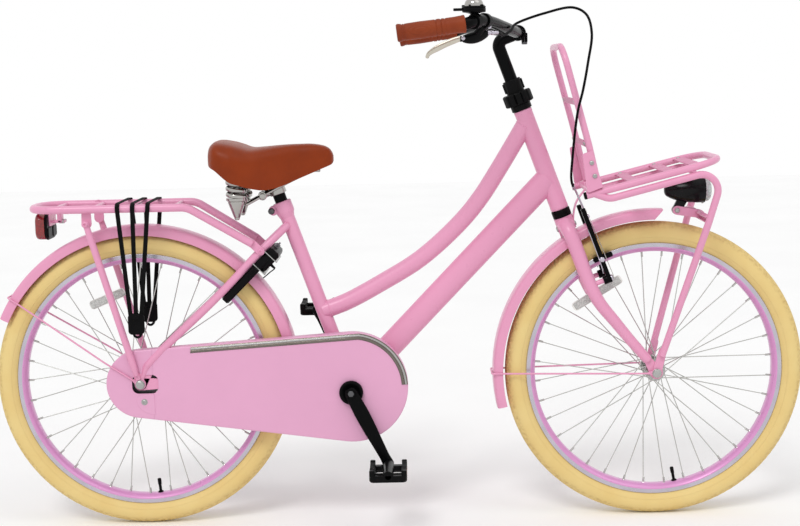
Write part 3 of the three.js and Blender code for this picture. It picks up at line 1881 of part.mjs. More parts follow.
// The left crank carries the spindle, on which the right crank is held.
function crankPiece(sign) {
  if (sign > 0) return join(crankSolid(sign), spindleSolid());
  const bore = rod(
    across(bracket, sign * (crankInnerSide - overrun)),
    across(bracket, sign * (crankInnerSide + crankCapDepth / 2 + gap)),
    boreFor(spindleRadius, hubSides),
    hubSides,
  );
  return cut(crankSolid(sign), bore);
}

function pedalPlace(sign) {
  const angle = THREE.MathUtils.degToRad(crankAngleDegrees);
  const run = new THREE.Vector3(Math.cos(angle), 0, -Math.sin(angle)).multiplyScalar(-sign);
  const side = sign * (crankInnerSide + crankFlare + crankArmThickness + gap + pedalWidth / 2);
  return bracket.clone().addScaledVector(run, crankLength).setY(side);
}

function pedalSolid(sign) {
  const centre = pedalPlace(sign);
  const at = (ahead, side, rise) =>
    centre.clone().add(new THREE.Vector3(ahead, side, rise));
  const halfLength = pedalLength / 2;
  const halfWidth = pedalWidth / 2;
  const parts = [rod(at(0, -halfWidth, 0), at(0, halfWidth, 0), pedalBarrelRadius, hubSides)];
  for (const end of [-1, 1]) {
    parts.push(
      block(at(end * (halfLength - pedalRail / 2), 0, 0), [pedalRail, pedalWidth, pedalHeight]),
    );
    parts.push(
      block(at(0, end * (halfWidth - pedalRail / 4), 0), [
        pedalLength - pedalRail,
        pedalRail / 2,
        pedalHeight * 0.8,
      ]),
    );
  }
  const bore = rod(
    at(0, -halfWidth - overrun, 0),
    at(0, halfWidth + overrun, 0),
    boreFor(pedalSpindleRadius, hubSides),
    hubSides,
  );
  const ends = at(0, sign * halfWidth, 0);
  const cap = rod(ends, at(0, sign * (halfWidth - pedalRail * 0.4), 0), pedalBarrelRadius, hubSides);
  return join(cut(join(parts), bore), cap);
}

// Reaction arm of the back-pedal brake, held under the left chain stay
function reactionArmSolid() {
  const axle = rear(0, 0);
  const low = rearHubLeft + 2 * gap + 1.5 * gap;
  const high = low + brakeArmThickness;
  const end = rear(brakeArmLength, -brakeArmWidth * 2.2);
  const tab = rear(brakeArmLength, -brakeArmWidth * 0.4);
  return cut(
    join(
      link(axle, end, brakeArmWidth * 0.8, brakeArmWidth * 0.45, low, high),
      link(end, tab, brakeArmWidth * 0.45, brakeArmWidth * 0.45, low, high),
    ),
    rod(across(axle, 0), across(axle, high + overrun), boreFor(coneRadius, hubSides), hubSides),
    chainStaySolid(1, gap),
  );
}

// Fork: steerer, crown, blades and dropout plates in one weldment
function bladeStations(sign) {
  return smooth(
    [
      ...bladeShares.map(([alongShare, aheadShare, sideShare]) =>
        steer(crownAlong * alongShare, forkOffset * aheadShare, sign * bladeSide * sideShare),
      ),
      steer(bladeEndAlong, forkOffset * 0.88, sign * (dropoutInnerFront + forkPlateThickness / 2)),
    ],
    9,
  );
}

function forkSolid() {
  const parts = [
    rod(steer(crownFloor, 0), steer(steererTop, 0), steererRadius, 12),
    block(
      steer((crownFloor + crownAlong) / 2, 0),
      [2 * crownHalfDepth, 2 * crownHalf, crownAlong - crownFloor],
      aheadAxis,
    ),
    rod(steer(crownAlong - overrun, 0), steer(crownTop, 0), raceRadius, 12),
  ];
  for (const sign of [-1, 1]) {
    const stations = bladeStations(sign);
    const last = stations.length - 1;
    const radii = stations.map((_, i) =>
      THREE.MathUtils.lerp(bladeTopRadius, bladeTipRadius, Math.max(0, i / last - 0.25) / 0.75),
    );
    parts.push(taperedTube(stations, radii, 8));
    const [low, high] =
      sign < 0
        ? [-dropoutInnerFront - forkPlateThickness, -dropoutInnerFront]
        : [dropoutInnerFront, dropoutInnerFront + forkPlateThickness];
    parts.push(
      link(
        frontAxle,
        stations[last],
        dropoutPlateRadius,
        bladeTipRadius * 0.8,
        low,
        high,
        4,
      ),
    );
    const postFoot = steer(brakePostAlong, 0, sign * bladeSide);
    parts.push(
      rod(postFoot, steer(brakePostAlong, brakePostAhead, sign * bladeSide), brakePostRadius, hubSides),
    );
  }
  const outer = dropoutInnerFront + forkPlateThickness + overrun;
  return cut(
    join(parts),
    rod(steer(crownFloor - overrun, 0), steer(steererTop + overrun, 0), boreFor(quillRadius, 12), 12),
    rod(
      across(frontAxle, -outer),
      across(frontAxle, outer),
      boreFor(axleRadius, hubSides),
      hubSides,
    ),
  );
}

// Bearing rings of the steering
function lowerHeadsetSolid() {
  const bore = boreFor(steererRadius, 12);
  const start = steer(crownTop + gap, 0);
  const height = axleToHeadTube - crownTop - 2 * gap;
  return turned(ring(bore, lowerRingRadius, 0, height), start, alongAxis, 12);
}

function upperHeadsetSolid() {
  const start = steer(headTop + gap, 0);
  const bore = boreFor(steererRadius, 12, 2 * gap);
  const lower = turned(ring(bore, cupRadius, 0, cupHeight + gap), start, alongAxis, 12);
  const knurl = slab(
    lobedOutline(knurlRadius, knurlGrooveDepth, knurlLobes),
    knurlHeight,
    steer(headTop + gap + cupHeight + knurlHeight / 2, 0),
    aheadAxis,
    sideAxis,
  );
  const knurlTop = headTop + gap + cupHeight + knurlHeight;
  const collar = rod(
    steer(knurlTop - gap, 0),
    steer(knurlTop + collarHeight, 0),
    collarRadius,
    12,
  );
  return cut(
    join(lower, knurl, collar),
    rod(steer(headTop, 0), steer(steererTop + gap, 0), bore, 12),
    rod(steer(headTop, 0), steer(knurlTop + collarHeight + overrun, 0), boreFor(quillRadius, 12), 12),
  );
}

function lobedOutline(radius, depth, lobes) {
  const outline = [];
  for (let i = 0; i < lobes; i += 1)
    for (const [turnShare, fall] of [
      [0.2, 0],
      [0.8, 0],
      [1, depth],
    ]) {
      const angle = ((i + turnShare) * 2 * Math.PI) / lobes;
      outline.push([(radius - fall) * Math.cos(angle), (radius - fall) * Math.sin(angle)]);
    }
  return outline;
}

// Stem, handlebar and grips
const barCentre = steer(stemTopAlong, stemReach);

function barStations() {
  const half = barShares.map(([sideShare, sweepShare, riseShare]) =>
    new THREE.Vector3(
      barCentre.x - barSweep * sweepShare,
      barHalfWidth * sideShare,
      barCentre.z + barRise * riseShare,
    ),
  );
  const tip = new THREE.Vector3(
    barCentre.x - barSweep,
    barHalfWidth,
    barCentre.z - barRise * 0.03,
  );
  const curve = smooth([...half.slice(1).reverse().map(flipSide), ...half], 16);
  return [flipSide(tip), ...curve, tip];
}

function barSolid(extra = 0, sides = 8) {
  return tube(barStations(), barRadius + extra, sides);
}

// Point of the right half of the bar, or of the left half, at a distance from the middle plane.
function barPoint(side) {
  const line = barStations();
  for (let i = 1; i < line.length; i += 1) {
    const [a, b] = [line[i - 1], line[i]];
    if (a.y <= side && side <= b.y)
      return a.clone().lerp(b, (side - a.y) / (b.y - a.y));
  }
  return line[line.length - 1].clone();
}

function barRun(side) {
  const reach = barRadius / 2;
  return new THREE.Vector3().subVectors(barPoint(side + reach), barPoint(side - reach)).normalize();
}

function stemSolid() {
  const corners = [
    steer(quillBottomAlong, 0),
    steer(stemTopAlong, 0),
    steer(stemTopAlong, stemReach - barRadius),
  ];
  const clamp = rod(
    across(barCentre, -stemClampHalf),
    across(barCentre, stemClampHalf),
    stemClampRadius,
    14,
  );
  const boltTop = steer(stemTopAlong - stemClampRadius * 0.6, stemReach + stemClampRadius * 0.7);
  const bolt = rod(
    boltTop,
    boltTop.clone().addScaledVector(upAxis, -stemClampRadius * 1.1),
    boltHeadRadius,
    6,
  );
  return cut(
    join(tube(rounded(corners, stemBendRadius, 4), quillRadius, 10), clamp, bolt),
    barSolid(gap),
  );
}

function gripSolid(sign) {
  const line = barStations();
  const tip = line[line.length - 1].clone();
  const start = line[line.length - 2].clone();
  const run = new THREE.Vector3().subVectors(tip, start).normalize();
  const from = start.clone().addScaledVector(run, gripStart);
  const end = tip.clone().addScaledVector(run, gripCapThickness);
  const outer = [rod(from, end, gripRadius, 12)];
  const total = from.distanceTo(end);
  for (const ringShare of gripRingShares) {
    const place = from.clone().addScaledVector(run, total * ringShare);
    outer.push(
      rod(
        place,
        place.clone().addScaledVector(run, gripCapThickness),
        gripRadius + gripRingRise,
        12,
      ),
    );
  }
  const grip = cut(join(outer), barSolid(gap));
  return sign < 0 ? mirrored(grip) : grip;
}

// Brake lever bracket on the bar, its adjuster, and the lever
function clampBand(side, width, radius) {
  const centre = barPoint(side);
  const run = barRun(side);
  return rod(
    centre.clone().addScaledVector(run, -width / 2),
    centre.clone().addScaledVector(run, width / 2),
    radius,
    12,
  );
}

const bracketSide = -barHalfWidth * 0.8;
const leverPivot = barPoint(bracketSide).add(
  new THREE.Vector3(-leverBracketLength * 0.76, -leverBracketWidth * 0.4, -leverBracketDrop),
);

function leverBodyStart() {
  return barPoint(bracketSide).add(
    new THREE.Vector3(leverBracketLength * 0.1, leverBracketWidth, -leverBracketDrop * 0.7),
  );
}

// Where the cable leaves the adjuster, and which way it points there.
function adjusterMouth() {
  const reach = new THREE.Vector3(leverBracketLength * 0.2, leverBracketWidth * 0.35, 0);
  return [leverBodyStart().add(reach), reach.clone().normalize()];
}

function leverBracketSolid() {
  const place = barPoint(bracketSide);
  const bodyEnd = leverPivot.clone();
  const bodyStart = leverBodyStart();
  const onward = new THREE.Vector3().subVectors(bodyEnd, bodyStart).setLength(leverWidth / 2);
  const body = rod(bodyStart, bodyEnd.clone().add(onward), leverBracketWidth / 2, 6);
  const hanger = rod(
    place,
    bodyStart.clone().lerp(bodyEnd, 0.4),
    leverBracketWidth * 0.45,
    6,
  );
  const [adjusterEnd] = adjusterMouth();
  const adjuster = rod(bodyStart, adjusterEnd, leverPivotRadius * 1.5, 8);
  const slot = block(
    leverPivot.clone().add(new THREE.Vector3(-leverWidth / 2, 0, 0)),
    [leverWidth * 2.6, leverThickness + 2 * gap, leverWidth * 2.2],
  );
  const pin = rod(
    across(leverPivot, leverPivot.y - leverBracketWidth * 0.4),
    across(leverPivot, leverPivot.y + leverBracketWidth * 0.4),
    leverPivotRadius * 0.7,
    12,
  );
  const band = clampBand(bracketSide, clampBandWidth, barRadius + clampBandThickness);
  return join(cut(join(body, hanger, adjuster, band), slot, barSolid(gap)), pin);
}

function leverSolid() {
  const low = leverPivot.y - leverThickness / 2;
  const high = leverPivot.y + leverThickness / 2;
  const at = (back, drop) =>
    leverPivot.clone().add(new THREE.Vector3(-back, 0, -drop));
  const blade = [
    [leverPivot, at(leverReach * 0.45, leverDrop * 0.32)],
    [at(leverReach * 0.45, leverDrop * 0.32), at(leverReach * 0.8, leverDrop * 0.62)],
    [at(leverReach * 0.8, leverDrop * 0.62), at(leverReach, leverDrop)],
  ].map(([from, to]) => link(from, to, leverWidth / 2, leverWidth * 0.42, low, high));
  return cut(
    join(blade),
    rod(
      across(leverPivot, low - overrun),
      across(leverPivot, high + overrun),
      boreFor(leverPivotRadius * 0.7, 12),
      12,
    ),
  );
}

// Bell on the bar, with its thumb tab
const bellSide = -barHalfWidth * 0.92;

function bellSolid() {
  const place = barPoint(bellSide);
  const foot = place.clone().add(new THREE.Vector3(0, 0, barRadius * 0.6));
  const baseLow = barRadius * 0.4 + bellStalkHeight;
  const domeLow = baseLow + bellBaseHeight;
  return cut(
    join(
      clampBand(bellSide, clampBandWidth, barRadius + clampBandThickness),
      turned(
        [
          [0, 0],
          [bellStalkRadius, 0],
          [bellStalkRadius, baseLow],
          [bellBaseRadius, baseLow],
          [bellBaseRadius, domeLow],
          [bellDomeRadius, domeLow],
          [bellDomeRadius * 0.85, domeLow + bellDomeHeight * 0.55],
          [bellDomeRadius * 0.5, domeLow + bellDomeHeight * 0.9],
          [0, domeLow + bellDomeHeight],
        ],
        foot,
        upAxis,
        bellSides,
      ),
    ),
    barSolid(gap),
    turned(
      ring(
        (bellBaseRadius - bellTabHeight) * Math.cos(Math.PI / bellSides),
        bellBaseRadius + overrun,
        baseLow + bellBaseHeight * 0.25 - gap,
        baseLow + bellBaseHeight * 0.25 + bellTabHeight + gap,
      ),
      foot,
      upAxis,
      bellSides,
    ),
  );
}

function bellTabSolid() {
  const place = barPoint(bellSide);
  const low = barRadius + bellStalkHeight + bellBaseHeight * 0.25;
  const foot = place.clone().add(new THREE.Vector3(0, 0, low));
  const band = turned(
    ring(bellBaseRadius - bellTabHeight + gap, bellBaseRadius, 0, bellTabHeight),
    foot,
    upAxis,
    bellSides,
  );
  const tabBehind = bellBaseRadius + bellTabLength / 2 - bellTabHeight / 2;
  const tab = block(
    foot.clone().add(new THREE.Vector3(-tabBehind, 0, bellTabHeight / 2)),
    [bellTabLength, bellTabWidth, bellTabHeight],
  );
  return join(band, tab);
}

// Front carrier: rails, under-rails and legs, with flat slats and a strap to the crown
const deckRun = new THREE.Vector3()
  .subVectors(
    steer(carrierFrontAlong, carrierFrontAhead),
    steer(carrierRearAlong, carrierRearAhead),
  )
  .normalize();

function deckPoint(ahead, side = 0) {
  const share = (ahead - carrierRearAhead) / (carrierFrontAhead - carrierRearAhead);
  return steer(THREE.MathUtils.lerp(carrierRearAlong, carrierFrontAlong, share), ahead, side);
}

function legStations(sign) {
  const wide = sign * carrierHalfWidth;
  const railEnd = deckPoint(legTopAhead, wide);
  const bendLow = steer(legBendAlong + legRailRise, legTopAhead + carrierTubeRadius * 3.5, wide * 1.002);
  const corner = steer(legBendAlong, legBendAhead, wide);
  const run = [railEnd, bendLow, corner];
  const share = legKneeShare;
  const knee = steer(
    THREE.MathUtils.lerp(legBendAlong, legFootAlong, share),
    THREE.MathUtils.lerp(legBendAhead, legFootAhead, share),
    wide * 0.97,
  );
  const foot = steer(legFootAlong, legFootAhead, sign * legFootSide);
  return rounded([...run, knee, foot], [legBendRadius, legBendRadius, 5 * legBendRadius], 2);
}

function carrierSolid() {
  const corner = (ahead, sign) => deckPoint(ahead, sign * carrierHalfWidth);
  const loop = [
    corner(carrierRearAhead, -1),
    corner(carrierFrontAhead, -1),
    corner(carrierFrontAhead, 1),
    corner(carrierRearAhead, 1),
  ];
  const parts = [tube(rounded(loop, carrierCornerRadius, 3), carrierTubeRadius, 6)];
  const deckUp = new THREE.Vector3(-deckRun.z, 0, deckRun.x);
  const slatLift = carrierSlatTopShare * carrierTubeRadius - carrierSlatThickness / 2;
  for (const slatShare of carrierSlatShares) {
    const ahead = THREE.MathUtils.lerp(carrierRearAhead, carrierFrontAhead, slatShare);
    const place = deckPoint(ahead).addScaledVector(deckUp, slatLift);
    parts.push(
      block(place, [carrierSlatWidth, 2 * carrierHalfWidth, carrierSlatThickness], deckRun),
    );
  }
  parts.push(
    rod(
      deckPoint(carrierRearBarAhead, -carrierHalfWidth),
      deckPoint(carrierRearBarAhead, carrierHalfWidth),
      carrierRearBarRadius,
      6,
    ),
  );
  const plateInner = dropoutInnerFront + forkPlateThickness + gap;
  const plateOuter = plateInner + legPlateThickness;
  for (const sign of [-1, 1]) {
    const stations = legStations(sign);
    parts.push(tube(stations, carrierTubeRadius, 6));
    const [low, high] = sign < 0 ? [-plateOuter, -plateInner] : [plateInner, plateOuter];
    const foot = steer(legFootAlong, legFootAhead);
    const reach = foot.clone().lerp(frontAxle, -0.2);
    parts.push(link(frontAxle, reach, nutRadius, legPlateWidth / 2, low, high, 3));
  }
  parts.push(...lampBracketParts());
  const strapPoints = [
    [crownFloor, crownHalfDepth + gap],
    [crownFloor + legStrapWidth * 0.8, crownHalfDepth + gap],
    [deckAlong(carrierRearBarAhead) + legStrapThickness, carrierRearBarAhead],
    [deckAlong(carrierRearBarAhead) - legStrapThickness, carrierRearBarAhead],
    [crownFloor + legStrapWidth * 0.5, crownHalfDepth + gap + legStrapThickness],
    [crownFloor, crownHalfDepth + gap + legStrapThickness],
  ].map(([along, ahead]) => {
    const point = steer(along, ahead);
    return [point.x, point.z];
  });
  parts.push(sidePlate(strapPoints, -legStrapWidth / 2, legStrapWidth / 2));
  return cut(
    join(parts),
    rod(
      across(frontAxle, -2 * plateOuter),
      across(frontAxle, 2 * plateOuter),
      boreFor(axleRadius, hubSides),
      hubSides,
    ),
  );
}

function deckAlong(ahead) {
  const share = (ahead - carrierRearAhead) / (carrierFrontAhead - carrierRearAhead);
  return THREE.MathUtils.lerp(carrierRearAlong, carrierFrontAlong, share);
}

// Backrest hoop with its foot plates
function backrestSolid() {
  const foot = (sign) =>
    steer(
      deckAlong(hoopFootAhead) + carrierTubeRadius + 1.5 * gap,
      hoopFootAhead,
      sign * carrierHalfWidth,
    );
  const knee = (sign) => steer(hoopKneeAlong, hoopKneeAhead, sign * carrierHalfWidth);
  const top = (sign) => steer(hoopTopAlong, hoopTopAhead, sign * carrierHalfWidth);
  const corners = [foot(-1), knee(-1), top(-1), top(1), knee(1), foot(1)];
  const bends = [hoopKneeRadius, hoopCornerRadius, hoopCornerRadius, hoopKneeRadius];
  const parts = [tube(rounded(corners, bends, 3), hoopTubeRadius, 6)];
  for (const [alongPlace, share] of hoopSlatShares) {
    const along = THREE.MathUtils.lerp(hoopKneeAlong, hoopTopAlong, alongPlace);
    const ahead = THREE.MathUtils.lerp(hoopKneeAhead, hoopTopAhead, share) - hoopTubeRadius * 0.8;
    parts.push(
      block(
        steer(along, ahead),
        [hoopPlateThickness, 2 * carrierHalfWidth, hoopSlatWidth],
        aheadAxis,
      ),
    );
  }
  for (const sign of [-1, 1]) {
    const inner = carrierHalfWidth + carrierTubeRadius + gap;
    const outer = inner + hoopPlateThickness;
    const near = carrierHalfWidth + hoopTubeRadius * 0.7;
    const [low, high] = sign < 0 ? [-outer, -inner] : [inner, outer];
    const outline = [
      [hoopPlateHigh, hoopFootAhead + hoopPlateWidth * 0.5],
      [hoopPlateHigh, hoopFootAhead - hoopPlateWidth * 0.3],
      [hoopPlateLow, hoopFootAhead - hoopPlateWidth],
      [hoopPlateLow, hoopFootAhead + hoopPlateWidth * 0.3],
    ].map(([along, ahead]) => {
      const point = steer(along, ahead);
      return [point.x, point.z];
    });
    parts.push(sidePlate(outline, low, high));
    for (const boltShare of [0.35, 0.7]) {
      const along = THREE.MathUtils.lerp(hoopPlateLow, hoopPlateHigh, boltShare);
      const ahead = hoopFootAhead + (along - hoopPlateLow) * 0.12;
      parts.push(
        rod(
          steer(along, ahead, sign * near),
          steer(along, ahead, sign * (outer + boltHeadHeight)),
          boltHeadRadius,
          6,
        ),
      );
    }
  }
  return join(parts);
}

// Headlamp, its lens and the bracket between the carrier's legs
const lampCentre = steer(lampCentreAlong, lampCentreAhead);
const lampPivot = steer(lampPivotAlong, lampPivotAhead);

function lampSolid() {
  const start = lampCentre.clone().addScaledVector(forwardAxis, -lampLength / 2);
  const shell = turned(
    [
      [0, 0],
      [lampTailRadius * 0.7, 0],
      [lampTailRadius, lampLength * 0.04],
      [lampRadius * 0.82, lampLength * 0.3],
      [lampRadius * 0.97, lampLength * 0.6],
      [lampRadius, lampLength],
      [0, lampLength],
    ],
    start,
    forwardAxis,
    12,
  );
  const lugTop = lampCentre.clone().addScaledVector(upAxis, -lampRadius * 0.5);
  const lug = link(
    lampPivot,
    lugTop,
    lampEarRadius,
    lampEarRadius * 0.8,
    -lampEarHalf,
    lampEarHalf,
  );
  const bolt = rod(
    across(lampPivot, -lampEarHalf - overrun),
    across(lampPivot, lampEarHalf + overrun),
    boreFor(boltHeadRadius, 8),
    8,
  );
  return cut(join(shell, lug), bolt);
}

function lampLensSolid() {
  const start = lampCentre.clone().addScaledVector(forwardAxis, lampLength / 2 + gap);
  return turned(
    [
      [0, 0],
      [lampLensRadius, 0],
      [lampLensRadius * 0.94, lampLensLength * 0.6],
      [lampLensRadius * 0.72, lampLensLength * 0.93],
      [0, lampLensLength],
    ],
    start,
    forwardAxis,
    12,
  );
}

function lampBracketParts() {
  const legShare = (legBendAlong - lampBracketAlong) / (legBendAlong - legFootAlong);
  const ahead = THREE.MathUtils.lerp(legBendAhead, legFootAhead, legShare);
  const kneeFraction = legShare / legKneeShare;
  const legSide = THREE.MathUtils.lerp(carrierHalfWidth, carrierHalfWidth * 0.97, kneeFraction);
  const reach = legSide - carrierTubeRadius / 2;
  const bar = rod(
    steer(lampBracketAlong, ahead, -reach),
    steer(lampBracketAlong, ahead, reach),
    lampBracketRadius,
    6,
  );
  const parts = [bar];
  const barMiddle = steer(lampBracketAlong, ahead);
  const inner = lampEarHalf + gap;
  const outer = inner + lampTongueThickness;
  for (const [low, high] of [
    [-outer, -inner],
    [inner, outer],
  ])
    parts.push(link(barMiddle, lampPivot, lampEarRadius * 0.9, lampEarRadius, low, high, 3));
  parts.push(
    rod(
      across(lampPivot, -outer - boltHeadHeight),
      across(lampPivot, outer + boltHeadHeight),
      boltHeadRadius,
      8,
    ),
  );
  return parts;
}

// Brake arms with their pads
function brakeArmSolid(sign) {
  const at = (along, ahead, side) => steer(along, ahead, sign * side);
  const armSlab = (from, to, fromRadius, toRadius) => {
    const outline = beltOutline(
      { x: from[0], z: from[1] },
      fromRadius,
      { x: to[0], z: to[1] },
      toRadius,
      3,
    );
    return slab(outline, armThickness, steer(0, armAhead), alongAxis, sideAxis.clone().multiplyScalar(sign));
  };
  const topAlong = brakePostAlong + armLength;
  const arm = armSlab(
    [brakePostAlong, bladeSide],
    [topAlong, armTopSide],
    armWidth * 0.7,
    armWidth / 2,
  );
  const boss = rod(
    at(brakePostAlong, armAhead - armThickness / 2 - armBossDepth, bladeSide),
    at(brakePostAlong, armAhead + armThickness / 2, bladeSide),
    armBossRadius,
    8,
  );
  const padInner = rimWidth / 2 + padClearance;
  const pad = block(
    at(padAlong, padAhead, padInner + padThickness / 2),
    [padLength, padThickness, padHeight],
    aheadAxis,
  );
  const holder = rod(
    at(padAlong, armAhead, padInner + padThickness / 2),
    at(padAlong, armAhead, armSideAt(padAlong)),
    padHeight * 0.4,
    6,
  );
  return cut(
    join(arm, boss, pad, holder),
    rod(
      at(brakePostAlong, 0, bladeSide),
      at(brakePostAlong, brakePostAhead + overrun, bladeSide),
      boreFor(brakePostRadius, hubSides),
      hubSides,
    ),
  );
}

function armSideAt(along) {
  return THREE.MathUtils.lerp(bladeSide, armTopSide, (along - brakePostAlong) / armLength);
}

// Front mudguard with its tab to the crown
function frontGuardSolid() {
  const arched = guardSolid(
    frontAxle,
    frontGuardRadius,
    frontGuardHalf,
    frontGuardDepth,
    frontGuardFromDegrees,
    frontGuardToDegrees,
    11,
  );
  const tabAhead = -crownHalfDepth - gap - guardThickness / 2 - guardThickness * 0.5;
  const tabLow = frontGuardRadius - crownHalfDepth;
  const tab = block(
    steer((tabLow + crownBoltAlong + boltHeadRadius) / 2, tabAhead),
    [2 * guardThickness, 3 * boltHeadRadius, crownBoltAlong + boltHeadRadius - tabLow],
    aheadAxis,
  );
  const bolt = rod(
    steer(crownBoltAlong, tabAhead),
    steer(crownBoltAlong, tabAhead - guardThickness - boltHeadHeight),
    boltHeadRadius,
    6,
  );
  return join(arched, tab, bolt);
}

// Brake cable from the lever's adjuster to the brake arms
function cableRoute() {
  const [start, run] = adjusterMouth();
  const local = cableShares.map(([alongShare, aheadShare, sideShare]) =>
    steer(axleToHeadTube * alongShare, axleToHeadTube * aheadShare, -barHalfWidth * sideShare),
  );
  return [
    start.clone().addScaledVector(run, 5 * gap),
    start.clone().addScaledVector(run, 4 * cableRadius),
    ...local,
  ];
}

function cableSolid() {
  return tube(smooth(cableRoute(), 26), cableRadius, 5);
}

// Reflector bar on the outer side of a wheel's right-hand spokes
function reflectorSolid(hub, fromShares, toShares, stand) {
  const from = new THREE.Vector3(rimRadius * fromShares[0], 0, rimRadius * fromShares[1]);
  const to = new THREE.Vector3(rimRadius * toShares[0], 0, rimRadius * toShares[1]);
  const run = new THREE.Vector3().subVectors(to, from);
  const length = run.length();
  run.normalize();
  const middle = from.clone().lerp(to, 0.5);
  const innermost = middle.length() - reflectorHeight / 2;
  const share = (innermost - hub.flange) / (rimRadius - rimDepth - hub.flange);
  const near = THREE.MathUtils.lerp(hub.spread + flangeThickness / 2, 2 * spokeRadius, share);
  middle.y = -(near + stand + reflectorThickness / 2);
  return block(middle, [length, reflectorThickness, reflectorHeight], run);
}

// Hubs of the two wheels
const frontHub = {
  flange: frontFlangeRadius,
  spread: frontFlangeSpread,
  barrel: frontBarrelRadius,
  neck: frontBarrelRadius,
  right: frontHubHalf,
  left: frontHubHalf,
};
const rearHub = {
  flange: rearFlangeRadius,
  spread: rearFlangeSpread,
  barrel: rearBarrelRadius,
  neck: rearHubNeckRadius,
  right: rearHubRight,
  left: rearHubLeft,
};

// The frame and what is fixed to it
addPiece("main_frame", mainFrameSolid(), "frame_paint");
addPiece("rear_triangle", rearTriangleSolid(), "frame_paint");
addPiece("seat_clamp", seatClampSolid(), "frame_paint");
addPiece("rear_rack", rackSolid(), "frame_paint");
addPiece("rack_strut_right", strutSolid(-1), "frame_paint");
addPiece("rack_strut_left", strutSolid(1), "frame_paint");
addPiece("tail_lamp", tailLampSolid(), "black_plastic");
addPiece("tail_lamp_lens", tailLensSolid(), "red_lens");
addPiece("luggage_straps", strapSolid(), "strap_black");
const shell = caseShell();
addPiece("chaincase", shell.intersect(seamHalf(1)), "frame_paint");
addPiece("chaincase_tail", shell.intersect(seamHalf(-1)), "frame_paint");
addPiece("chaincase_trim", caseTrimSolid(), "chrome");
addPiece("chain", chainSolid(), "steel");
addPiece(
  "rear_mudguard",
  guardSolid(
    rear(0, 0),
    rearGuardRadius,
    rearGuardHalf,
    rearGuardDepth,
    rearGuardFromDegrees,
    rearGuardToDegrees,
    16,
  ),
  "frame_paint",
);
addPiece(
  "rear_mudguard_stay",
  guardStaySolid(
    rear(0, 0),
    rearEyeInner,
    rearGuardRadius,
    rearGuardHalf,
    rearGuardDepth,
    rearStayDegrees,
    rearStayClear,
  ),
  "black_metal",
);
addPiece("ring_lock", lockSolid(), "black_plastic");
addPiece("lock_lever", lockLeverSolid(), "black_plastic");
addPiece("bottom_bracket", cartridgeSolid(), "steel");
addPiece(
  "rear_axle",
  axleSolid(rear(0, 0), sprocketOuterSide, rearHubLeft, dropoutInnerRear, rearStackOuter),
  "steel",
);
addPiece("back_pedal_brake_arm", reactionArmSolid(), "steel");
addPiece("headset_lower", lowerHeadsetSolid(), "black_metal");

// The seat
addPiece("seatpost", seatpostSolid(), "black_metal");
addPiece("saddle_frame", cradleSolid(), "chrome");
addPiece("saddle", saddleSolid(), "saddle_brown");
addPiece("saddle_spring_right", springSolid(-1), "chrome");
addPiece("saddle_spring_left", springSolid(1), "chrome");
console.log("least gap between curls of a saddle spring:", leastCoilGap(coilPoints(1)).toFixed(2));

// The steering
addPiece("fork", forkSolid(), "frame_paint");
addPiece("stem", stemSolid(), "black_metal");
addPiece("handlebar", barSolid(), "black_metal");
addPiece("grip_right", gripSolid(-1), "grip_brown");
addPiece("grip_left", gripSolid(1), "grip_brown");
addPiece("headset_upper", upperHeadsetSolid(), "black_metal");
addPiece(
  "front_axle",
  axleSolid(frontAxle, frontHubHalf, frontHubHalf, dropoutInnerFront, frontStackOuter),
  "steel",
);
addPiece("front_carrier", carrierSolid(), "frame_paint");
addPiece("carrier_backrest", backrestSolid(), "frame_paint");
addPiece("headlamp", lampSolid(), "black_plastic");
addPiece("headlamp_lens", lampLensSolid(), "clear_lens");
addPiece("front_mudguard", frontGuardSolid(), "frame_paint");
addPiece(
  "front_mudguard_stay",
  guardStaySolid(
    frontAxle,
    frontEyeInner,
    frontGuardRadius,
    frontGuardHalf,
    frontGuardDepth,
    frontStayDegrees,
    frontStayClear,
  ),
  "black_metal",
);
addPiece("brake_cable", cableSolid(), "black_plastic");
addPiece("lever_bracket", leverBracketSolid(), "black_plastic");
addPiece("brake_lever", leverSolid(), "steel");
addPiece("brake_arm_right", brakeArmSolid(-1), "black_metal");
addPiece("brake_arm_left", brakeArmSolid(1), "black_metal");
addPiece("bell", bellSolid(), "black_metal");
addPiece("bell_tab", bellTabSolid(), "black_plastic");

// The wheels, the drive and the pedals
buildWheel("front", frontAxleX, frontHub, frontValveDegrees, "steel");
buildWheel("rear", rearAxleX, rearHub, rearValveDegrees, "steel");
const frontReflector = new THREE.Group();
frontReflector.position.copy(frontAxle);
addPiece(
  "front_reflector",
  reflectorSolid(frontHub, frontReflectorShares[0], frontReflectorShares[1], frontReflectorStand),
  "clear_lens",
  frontReflector,
);
bike.add(frontReflector);
const rearReflector = new THREE.Group();
rearReflector.position.copy(rear(0, 0));
addPiece(
  "rear_reflector",
  reflectorSolid(rearHub, rearReflectorShares[0], rearReflectorShares[1], rearReflectorStand),
  "clear_lens",
  rearReflector,
);
bike.add(rearReflector);
addPiece("sprocket", sprocketSolid(), "steel");
addPiece("chainring", chainringSolid(), "steel");
addPiece("crank_right", crankPiece(-1), "black_metal");
addPiece("crank_left", crankPiece(1), "black_metal");
addPiece("pedal_right", pedalSolid(-1), "black_plastic");
addPiece("pedal_left", pedalSolid(1), "black_plastic");

export default bike;
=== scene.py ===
from math import acos, asin, atan2, copysign, cos, exp, hypot, pi, radians, sin, tan

import bmesh
import bpy
from mathutils import Matrix, Vector
from mathutils.geometry import tessellate_polygon


